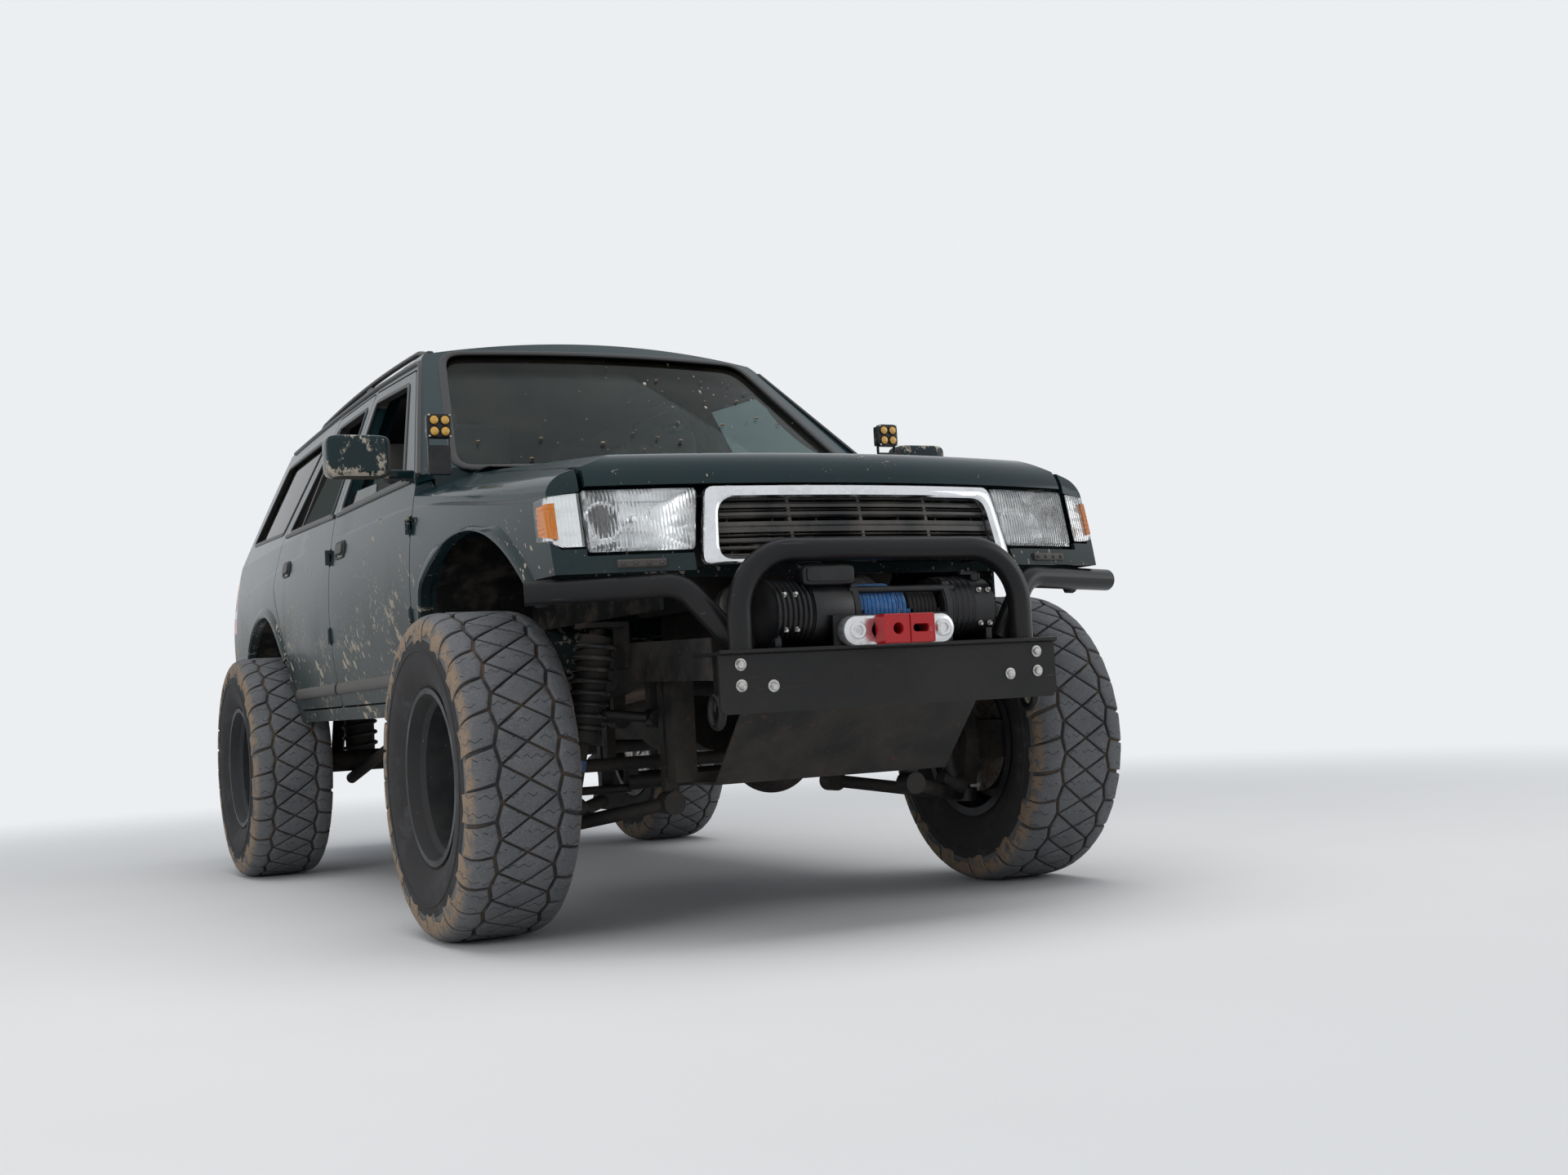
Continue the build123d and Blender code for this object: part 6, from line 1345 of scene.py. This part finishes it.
# A tyre's inner wall from bead to crown, and the raised band on its outer wall, as (outboard, radius)
INNER_WALL = [
    (0.1150, 0.2168), (0.104, 0.246), (0.128, 0.300), (0.130, 0.350), (0.110, 0.396), (0.0, 0.402),
]
WALL_BAND = np.array([(0.1478, 0.3360), (0.1505, 0.3345), (0.1508, 0.3310), (0.1480, 0.3290)])


def swept(profile, steps, heights):
    """A closed profile of (outboard, radius) turned about the axle, with a finish height for each point."""
    angle = np.linspace(0, 2 * pi, TYRE_SIDES, endpoint=False)
    x = np.broadcast_to(profile[:, :1], (len(profile), TYRE_SIDES))
    ring = np.stack([x, profile[:, 1:] * np.cos(angle), profile[:, 1:] * np.sin(angle)], -1)
    return {**carried(ring, along=True, steps=steps), "height": np.repeat(heights, TYRE_SIDES)}


def block_row(grid, u, across, high):
    """Many closed blocks in one shell: each a patch of points whose rim is joined by one hidden face."""
    count, rows, columns = grid.shape[:3]
    i, j = np.meshgrid(np.arange(rows - 1), np.arange(columns - 1), indexing="ij")
    first = i * columns + j
    one = np.stack([first, first + 1, first + columns + 1, first + columns], -1).reshape(-1, 4)
    sides = np.arange(columns), np.arange(1, rows) * columns + columns - 1
    sides += (rows - 1) * columns + np.arange(columns - 2, -1, -1), np.arange(rows - 2, 0, -1) * columns
    loop = np.concatenate(sides)
    points = grid.reshape(-1, 3)
    base = (np.arange(count) * rows * columns)[:, None, None]
    quads = (one[None] + base).reshape(-1, 4)
    caps = [loop[::-1] + begin for begin in base.ravel()]
    marks = np.stack([u, across], -1).reshape(-1, 2)[quads]
    if volume(points, quads[: len(one)], caps[:1]) < 0:
        quads, caps, marks = quads[:, ::-1], [cap[::-1] for cap in caps], marks[:, ::-1]
    height = high.ravel()
    return {"points": points, "quads": quads, "caps": caps, "finish": 0, "marks": marks, "height": height}


def tyre_shells(side, spot):
    """The casing, the bands on its walls and the tread blocks, turned outboard and moved to a wheel."""
    x, radius = casing_at(np.concatenate([-CASING_RUN[::-1], CASING_RUN[1:]]))[:2]
    inside = INNER_WALL + [(-x, radius) for x, radius in INNER_WALL[-2::-1]]
    profile = np.concatenate([np.stack([x, radius], -1), inside])
    # The finish reads 0.35 as the muddy ground between blocks and 0.93 as clean wall
    muddy = (profile[:, 1] > 0.360) & (np.arange(len(profile)) < len(x))
    parts = [swept(profile, (0.01, 2 * pi * WHEEL_RADIUS / TYRE_SIDES), np.where(muddy, 0.35, 0.93))]
    parts += [swept(WALL_BAND * (way, 1.0), (0.01, 0.01), [0.93] * 4) for way in (-1, 1)]
    parts += [block_row(*shoulder_lugs(*row)) for row in SHOULDERS]
    parts += [block_row(*middle_blocks(corners)) for corners in MIDDLE_BLOCKS]
    for part in parts:
        part["points"] = part["points"] * (side, 1.0, 1.0) + spot
        if side < 0:
            part["quads"] = part["quads"][:, ::-1]
            part["caps"] = [cap[::-1] for cap in part["caps"]]
            part["marks"] = part["marks"][:, ::-1]
    return parts


# Corner, side, distance of the wheel's middle from the vehicle's and distance behind the front axle
WHEELS = [
    ("fl", 1, 0.833, 0.0), ("fr", -1, 0.833, 0.0),
    ("rl", 1, 0.830, WHEELBASE), ("rr", -1, 0.830, WHEELBASE),
]
for corner, side, track, back in WHEELS:
    shells = tyre_shells(side, (side * track, behind(back), WHEEL_RADIUS))
    name, body, stands_for = f"tread_{corner}", f"wheel_{corner}", (f"tyre_{corner}",)
    tyre = piece(name, shells, [tyre_rubber], body, stands_for, angle=38.0)
    heights = np.concatenate([shell["height"] for shell in shells]).astype(np.float32)
    layer = tyre.data.attributes.new("height", "FLOAT", "POINT")
    layer.data.foreach_set("value", heights)

# The rims: deep-dished steel in dull dark grey, dusty in the barrel, each held by six chromed nuts
# round a capped hub.
rim_paint, place = new_finish("rim_paint")
dust = noise(place, 7.0, 6.0, 0.65).step(0.30, 0.75)
chips = noise(place, 120.0, 3.0).step(0.70, 0.74)
colour = mixed(dust * 0.22, (0.009, 0.012, 0.016, 1.0), (0.16, 0.14, 0.115, 1.0))
colour = mixed(chips * 0.6, colour, (0.30, 0.28, 0.26, 1.0))
close_finish(place, colour, dust * 0.4 + 0.38, dust * 0.3 - chips, 0.0004, metallic=0.2)
dress(rim_paint, *[f"rim_{corner}" for corner in CORNERS])
brake_steel, place = new_finish("brake_steel")
rust = noise(place, 22.0, 6.0, 0.7).step(0.45, 0.62)
colour = mixed(rust, (0.30, 0.29, 0.27, 1.0), (0.12, 0.060, 0.035, 1.0))
close_finish(place, colour, rust * 0.4 + 0.38, rust, 0.0005, metallic=1.0 - rust * 0.8)
dress(brake_steel, *[f"hub_{corner}" for corner in CORNERS])
NUT = [(-0.004, 0.0125), (0.004, 0.0125), (0.006, 0.0105), (0.022, 0.0100), (0.027, 0.0075), (0.029, 0.001)]
HUB_CAP = [(-0.004, 0.047), (0.006, 0.047), (0.010, 0.044), (0.034, 0.041), (0.040, 0.034), (0.042, 0.001)]
for corner, side, track, back in WHEELS:
    face = np.array((side * (track - 0.028), behind(back), WHEEL_RADIUS))
    nut_spots = face + np.insert(circle(0.06985, 6), 0, 0.0, axis=1)
    shells = [turned(NUT, spot, side * LEFT, 6) for spot in nut_spots]
    shells.append(turned(HUB_CAP, face, side * LEFT, 44, finish=1))
    piece(f"wheel_nuts_{corner}", shells, [bright_trim, rim_paint], f"wheel_{corner}")

# The running gear: ladder frame, axles, arms, springs and shafts in black chassis paint and bare cast
# iron, all under a layer of dried brown dust.
chassis_black, place = new_finish("chassis_black")
crust = noise(place, 6.0, 7.0, 0.68).step(0.34, 0.72)
rust = noise(place, 30.0, 5.0).step(0.62, 0.70)
colour = mixed(crust * 0.30, (0.008, 0.008, 0.008, 1.0), (0.15, 0.125, 0.10, 1.0))
colour = mixed(rust * 0.4, colour, (0.10, 0.045, 0.022, 1.0))
close_finish(place, colour, crust * 0.3 + 0.55, crust * 0.7 + rust * 0.3, 0.0012)
dress(chassis_black, "frame", "front_suspension", "rear_suspension", "skid_plate", "fuel_tank")
cast_iron, place = new_finish("cast_iron")
crust = noise(place, 8.0, 7.0, 0.68).step(0.38, 0.75)
sand = noise(place, 240.0, 3.0)
colour = mixed(crust * 0.55, (0.026, 0.025, 0.024, 1.0), (0.13, 0.10, 0.075, 1.0))
close_finish(place, colour, 0.78, sand, 0.0008, metallic=0.3)
dress(cast_iron, "driveline", "rear_axle", "knuckle_l", "knuckle_r")

# The engine: a cast block with two ribbed rocker covers, an intake chest with six bent runners, and
# a belt drive with its fan at the front.
dusty_alloy, place = new_finish("dusty_alloy")
crust = noise(place, 9.0, 7.0, 0.68).step(0.36, 0.72)
colour = mixed(crust * 0.7, (0.36, 0.35, 0.33, 1.0), (0.17, 0.145, 0.115, 1.0))
close_finish(place, colour, crust * 0.3 + 0.42, noise(place, 300.0), 0.0006, metallic=0.7 - crust * 0.6)
ENGINE_FRONT_Y = -1.740
FAN = np.array((0.0, -1.780, 0.850))
BANK_LEAN = radians(28)
RUNNER_RADIUS = 0.023
# Block, sump and intake chest
shells = [
    rounded_block((-0.195, ENGINE_FRONT_Y, 0.605), (0.195, -1.170, 0.860), 0.18),
    rounded_block((-0.130, -1.700, 0.600), (0.130, -1.260, 0.660), 0.25),
    rounded_block((-0.115, -1.670, 0.985), (0.115, -1.270, 1.070), 0.34, finish=1),
]
t = np.linspace(0, 1, 16)
for side in (-1, 1):
    # The rocker cover and its ribs, made level and then leaned outwards
    bank = [rounded_block((-0.085, -1.700, -0.045), (0.085, -1.230, 0.060), 0.24)]
    for index in range(9):
        rib_y = -1.668 + 0.050 * index
        low, high = (-0.070, rib_y, 0.052), (0.070, rib_y + 0.012, 0.066)
        bank.append(rounded_block(low, high, 0.3, 20, 12, finish=1))
    c, s = np.cos(side * BANK_LEAN), np.sin(side * BANK_LEAN)
    lean = np.array([(c, 0.0, -s), (0.0, 1.0, 0.0), (s, 0.0, c)])
    for part in bank:
        part["points"] = part["points"] @ lean + (side * 0.228, 0.0, 0.905)
    shells += bank
    for index in range(3):
        runner_y = -1.600 + 0.135 * index + 0.030 * (side > 0)
        runner_z = 1.035 + 0.020 * np.sin(pi * t) - 0.125 * t**2
        path = np.stack([side * (0.060 + 0.125 * t), np.full(16, runner_y), runner_z], -1)
        away = unit(np.cross(np.gradient(path, axis=0), BACK))
        shells.append(along_path(path, BACK, away, circle(RUNNER_RADIUS, 20), finish=1))
# Grooved belt pulleys as (x, z, radius), then the generator and the steering pump in the same way
GROOVES = [(0.0, 0.92), (0.006, 1.0), (0.012, 0.90), (0.018, 1.0), (0.024, 0.92)]
PULLEYS = [(0.0, 0.700, 0.085), (0.155, 0.860, 0.045), (-0.160, 0.850, 0.055), (0.0, 0.880, 0.060)]
BELT_DRIVEN = [(0.185, 0.850, 0.062), (-0.190, 0.840, 0.058)]
for x, z, radius in PULLEYS:
    pulley = [(0.0, 0.02)] + [(along, radius * share) for along, share in GROOVES] + [(0.024, 0.02)]
    shells.append(turned(pulley, (x, ENGINE_FRONT_Y, z), -BACK, 44, finish=1))
for x, z, radius in BELT_DRIVEN:
    case = ribbed(-0.150, -0.005, radius, 6, 0.003)
    shells.append(turned(case, (x, ENGINE_FRONT_Y, z), -BACK, 40, finish=1))
BLADE = np.array([(-0.026, -0.0012), (0.026, -0.0012), (0.026, 0.0012), (-0.026, 0.0012)])
for x, z in circle(1.0, 7):
    way, across = np.array((x, 0.0, z)), np.array((-z, 0.45, x))
    path = FAN + way * np.linspace(0.030, 0.170, 8)[:, None]
    shells.append(along_path(path, unit(across), unit(np.cross(way, across)), BLADE))
fan_hub = [(-0.030, 0.020), (-0.028, 0.045), (0.006, 0.045), (0.010, 0.030), (0.011, 0.001)]
filler_cap = [(0.0, 0.026), (0.018, 0.026), (0.020, 0.022), (0.0205, 0.001)]
shells.append(turned(fan_hub, FAN, -BACK, 32, finish=1))
shells.append(turned(filler_cap, (0.235, -1.330, 0.965), (0.40, 0, 1), 12))
piece("engine_dressing", shells, [cast_iron, dusty_alloy], "chassis", ("engine_block",))

# The exhaust: bent steel pipe and a pressed silencer, welded together, hung under the floor and stained
# by heat.
pipe_steel, place = new_finish("pipe_steel")
heat = noise(place, 5.0, 6.0, 0.7)
colour = mixed(heat, (0.20, 0.16, 0.13, 1.0), (0.11, 0.065, 0.040, 1.0))
close_finish(place, colour, heat * 0.3 + 0.45, heat, 0.0008, metallic=0.6)
dress(pipe_steel, "exhaust")

# The springs: painted steel coils round the front and rear dampers, seated on their collars, and the
# blue anodised band on each front damper's body.
spring_paint, place = new_finish("spring_paint")
crust = noise(place, 20.0, 6.0).step(0.4, 0.75)
colour = mixed(crust * 0.6, (0.030, 0.031, 0.033, 1.0), (0.18, 0.15, 0.12, 1.0))
close_finish(place, colour, crust * 0.4 + 0.4, crust, 0.0006)
damper_blue, place = new_finish("damper_blue")
colour = mixed(noise(place, 40.0) * 0.4, (0.015, 0.10, 0.34, 1.0), DUST)
close_finish(place, colour, 0.45, noise(place, 200.0), 0.0003)


def coil(foot, head, radius, wire, turns):
    """A helix about the line from foot to head."""
    foot, head = np.array(foot, float), np.array(head, float)
    axis = unit(head - foot)
    first = unit(np.cross(axis, (0.0, 1.0, 0.0)))
    second = np.cross(axis, first)
    t = np.linspace(0, turns * 2 * pi, int(turns * 30))
    outward = first * np.cos(t)[:, None] + second * np.sin(t)[:, None]
    path = foot + (head - foot) * (t / t[-1])[:, None] + outward * radius
    return along_path(path, outward, axis, circle(wire, 10))


BLUE_BAND = [(0.0, 0.022), (0.001, 0.0235), (0.030, 0.0235), (0.031, 0.022)]
shells = []
for side in (-1, 1):
    foot = np.array((side * 0.600, behind(-0.070), 0.324))
    damper = np.array((side * 0.500, behind(-0.070), 0.795)) - foot
    shells.append(coil(foot + damper * 0.43, foot + damper * 0.95, 0.053, 0.0065, 8))
    shells.append(turned(BLUE_BAND, foot + damper * 0.20, damper, 32, finish=1))
    rear_x, rear_y = side * 0.480, behind(WHEELBASE)
    shells.append(coil((rear_x, rear_y, 0.478), (rear_x, rear_y, 0.735), 0.064, 0.007, 6))
piece("coil_springs", shells, [spring_paint, damper_blue], "chassis")

# The tail lamps: ribbed covers over the rear corners, moulded in red with an amber band on top and a
# clear one below the middle.
tail_lens, place = new_finish("tail_lens")
x, y, z = split(place)
amber_band = z.step(1.184, 1.187)
clear_band = z.step(1.062, 1.064) * z.step(1.104, 1.102)
divider = abs(z - 1.1855).under(abs(z - 1.0630)).under(abs(z - 1.1030)).step(0.0035, 0.0025)
cloud = noise(place, 20.0, 5.0).step(0.45, 0.85) * 0.30
colour = mixed(amber_band, (0.46, 0.010, 0.012, 1.0), (0.80, 0.26, 0.02, 1.0))
colour = mixed(clear_band, colour, (0.78, 0.76, 0.74, 1.0))
colour = mixed(divider * 0.9, colour, (0.05, 0.004, 0.004, 1.0))
colour = mixed(cloud, colour, DUST)
rows = (z * 900.0).sine()
columns = ((x + y) * 700.0).sine()
close_finish(place, colour, cloud * 0.8 + 0.12, rows * 0.5 + columns * 0.5 - divider, 0.0010, coat=0.5)
dress(tail_lens, "tail_lamps")

# The tailgate's pull and the bumper's step: a grip and a row of ribbed pads, both moulded in black
# plastic, screwed to the tailgate's skin and to the rear bumper's top.
TAIL_RADIUS = 3.5
TAIL_Y = 2.252
x = np.linspace(-0.105, 0.105, 24)
path = np.stack([x, TAIL_Y - TAIL_RADIUS + np.sqrt(TAIL_RADIUS**2 - x**2) - 0.004, np.full(24, 1.010)], -1)
grip = np.array([
    (-0.004, -0.020), (0.010, -0.022), (0.016, -0.016), (0.018, 0.010), (0.012, 0.020),
    (-0.004, 0.022),
])
trim_piece("tailgate_pull", [along_path(path, BACK, UP, grip)], "tailgate")
shells = []
for index in range(7):
    rib_y = 2.250 - 0.026 * index
    low, high = (-0.560, rib_y - 0.005, 0.852), (0.560, rib_y + 0.005, 0.8585)
    shells.append(rounded_block(low, high, 0.12, 24, 10))
trim_piece("bumper_step_ribs", shells)

# The roof rails: moulded black bars of oval section that rise from the roof at both ends and stand on
# three feet, each bolted through the roof.
RAIL_X = 0.520
RAIL_START, RAIL_END = 1.305, 2.995


def roof_z(distance):
    """Height of the roof under the rails: it is crowned both ways."""
    return 1.860 - RAIL_X**2 / 6.96 - (behind(distance) - 0.534) ** 2 / 28


distance = np.linspace(RAIL_START, RAIL_END, 90)
ends = np.minimum(distance - RAIL_START, RAIL_END - distance) / 0.130
rail_z = roof_z(distance) + 0.036 * np.clip(ends, 0.0, 1.0) ** 0.6 + 0.004
shells = []
for side in (-1, 1):
    path = np.stack([np.full(90, side * RAIL_X), behind(distance), rail_z], -1)
    shells.append(along_path(path, LEFT, UP, circle((0.0125, 0.0085), 20)))
    for foot in (1.350, 2.100, 2.950):
        middle = np.array((side * RAIL_X, behind(foot), roof_z(foot)))
        low, high = middle - (0.013, 0.045, 0.006), middle + (0.013, 0.045, 0.030)
        shells.append(rounded_block(low, high, 0.45, 40, 24))
trim_piece("roof_bars", shells, replaces=("roof_rails",))

# The cabin: a grained dashboard with its column and wheel, and sprung seats in woven grey cloth with
# sewn channels, each a base, a back and a head rest.
cabin_plastic, place = new_finish("cabin_plastic")
leather_grain = cells(place, 420.0)
dust = noise(place, 5.0, 5.0).step(0.35, 0.75) * 0.4
colour = mixed(dust, (0.045, 0.044, 0.042, 1.0), (0.13, 0.12, 0.105, 1.0))
close_finish(place, colour, 0.62, leather_grain, 0.0004)
dress(cabin_plastic, "dashboard")
seat_cloth, place = new_finish("seat_cloth")
x, y, z = split(place)
warp = (x * 2600.0).sine()
weft = ((y + z) * 2600.0).sine()
weave = warp * weft * 0.5 + 0.5
colour = mixed(weave, (0.060, 0.058, 0.056, 1.0), (0.150, 0.145, 0.138, 1.0))
colour = mixed(noise(place, 6.0, 5.0).step(0.45, 0.8) * 0.35, colour, (0.22, 0.19, 0.155, 1.0))
close_finish(place, colour, 0.92, weave, 0.0006, sheen=0.25)


def cushion(low, high, lean, channels, crown, down=40, around=64):
    """A stuffed pad: a soft block whose faces swell between sewn channels, leaning back as it rises."""
    low, high = np.array(low, float), np.array(high, float)
    shell = rounded_block(low, high, 0.34, around, down)
    middle, half = (low + high) / 2, (high - low) / 2
    local = (shell["points"] - middle) / half
    upright = half[2] > half[1]
    swell = (1 - local[:, 0] ** 4) * (1 - local[:, 2 if upright else 1] ** 4)
    seam = np.zeros(len(local))
    for channel in channels:
        seam = np.maximum(seam, np.exp(-(((local[:, 0] - channel) / 0.045) ** 2)))
    face = 1 if upright else 2
    shift = np.sign(local[:, face]) * (np.abs(local[:, face]) > 0.6) * (crown * swell - 0.008 * seam)
    points = shell["points"].copy()
    points[:, face] += shift
    points[:, 1] += lean * (points[:, 2] - low[2])
    shell["points"] = points
    return shell


# Name, left and right edge, distance behind the front axle, height, channels and middles of the head rests
SEATS = [
    ("seat_l", 0.120, 0.600, 0.850, 0.830, (-0.5, 0.0, 0.5), (0.36,)),
    ("seat_r", -0.600, -0.120, 0.850, 0.830, (-0.5, 0.0, 0.5), (-0.36,)),
    ("bench", -0.590, 0.590, 1.610, 0.880, (-0.66, -0.33, 0.0, 0.33, 0.66), (-0.35, 0.35)),
]
for name, low_x, high_x, distance, z, channels, heads in SEATS:
    y = behind(distance)
    base = cushion((low_x, y + 0.010, z + 0.012), (high_x, y + 0.475, z + 0.138), 0.0, channels, 0.010)
    back_low, back_high = (low_x + 0.015, y + 0.440, z + 0.130), (high_x - 0.015, y + 0.530, z + 0.600)
    back = cushion(back_low, back_high, 0.11, channels, 0.010)
    rests = []
    for x in heads:
        rest_low, rest_high = (x - 0.130, y + 0.505, z + 0.610), (x + 0.130, y + 0.580, z + 0.765)
        rests.append(cushion(rest_low, rest_high, 0.06, (), 0.006, 24, 40))
    for part, shells in (("base", [base]), ("back", [back]), ("rest", rests)):
        replaced = ("seats",) if (name, part) == ("bench", "base") else ()
        made = piece(f"{name}_{part}", shells, [seat_cloth], "chassis", replaced)

# The grab handles: moulded grey plastic round a steel core, one on the inside of each windshield pillar,
# held at both ends.
t = np.linspace(0, 1, 30)
z = 1.420 + 0.190 * t
shells = []
for side in (-1, 1):
    x = side * (0.655 - (z - 1.420) * 0.30 - 0.034 * np.sin(pi * t) ** 0.5)
    path = np.stack([x, windshield_y(x, z) + 0.070, z], -1)
    tangent = unit(np.gradient(path, axis=0))
    first = unit(np.cross(tangent, (0.0, 1.0, 0.0)))
    shells.append(along_path(path, first, np.cross(tangent, first), circle(0.008, 14)))
piece("grab_handles", shells, [cabin_plastic], "chassis")

# The strap left on the dashboard: one band of bright green woven webbing, lying loose in a wavy loop on
# the dashboard's top.
green_webbing, place = new_finish("green_webbing")
rib = noise(stretched(place, (60.0, 60.0, 900.0)), 1.0, 2.0)
colour = mixed(rib, (0.16, 0.48, 0.02, 1.0), (0.36, 0.80, 0.06, 1.0))
close_finish(place, colour, 0.8, rib, 0.0008)
t = np.linspace(0, 1, 60)
x = -0.060 + 0.120 * np.cos(2 * pi * t) + 0.020 * np.cos(6 * pi * t)
y = behind(0.500) + 0.050 * np.sin(2 * pi * t)
z = 1.262 + 0.012 * (1 + np.sin(2 * pi * t + 0.6))
path = np.stack([x, y, z], -1)
tangent = unit(np.gradient(path, axis=0))
flat = unit(np.cross(tangent, (0.0, 0.0, 1.0)))
band = np.array([(-0.0012, -0.010), (0.0012, -0.010), (0.0012, 0.010), (-0.0012, 0.010)])
piece("green_strap", [along_path(path, flat, UP, band, True)], [green_webbing], "chassis")

# The seat frames: pressed steel boxes in grey plastic covers, bolted to the floor under the cushions.
# They are as plain as they look from outside.
frames = []
for low_x, high_x, distance in ((0.170, 0.550, 0.910), (-0.550, -0.170, 0.910), (-0.540, 0.540, 1.670)):
    low, high = (low_x, behind(distance), 0.7003), (high_x, behind(distance) + 0.340, 0.860)
    frames.append(rounded_block(low, high, 0.15, 32, 20))
piece("seat_frames", frames, [cabin_plastic], "chassis")

# Dried clods of mud, thrown up by the wheels on to the foot of the windshield and the cowl, where they
# stick as small lumps.
clod_mud, place = new_finish("dried_mud")
crumb = noise(place, 160.0, 5.0, 0.7)
colour = mixed(crumb, (0.16, 0.105, 0.065, 1.0), (0.36, 0.28, 0.20, 1.0))
close_finish(place, colour, 0.95, crumb, 0.0015)
chance = np.random.default_rng(7)


def clod(spot, size):
    """A lump: a coarse ball whose radius wanders."""
    u = np.linspace(0.15, pi - 0.15, 7)[:, None]
    v = np.linspace(0, 2 * pi, 9, endpoint=False)[None, :]
    radius = size * (0.7 + 0.5 * chance.random((7, 9)))
    across, deep, high = np.sin(u) * np.cos(v), np.sin(u) * np.sin(v), np.cos(u)
    grid = np.stack([across * radius * 1.3, deep * radius, high * radius * 0.6], -1)
    return carried(np.array(spot) + grid)


shells = []
for _ in range(46):
    x = chance.uniform(-0.60, 0.60)
    z = 1.34 + 0.40 * chance.random() ** 1.3
    shells.append(clod((x, float(windshield_y(x, z)) + 0.012, z), 0.0025 + 0.0045 * chance.random() ** 3))
for _ in range(16):
    x = chance.uniform(-0.60, 0.60)
    spot = (x, behind(0.352 + 0.05 * chance.random()), 1.305)
    shells.append(clod(spot, 0.003 + 0.005 * chance.random() ** 2))
piece("glass_clods", shells, [clod_mud], "chassis", angle=60.0)

low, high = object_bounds()
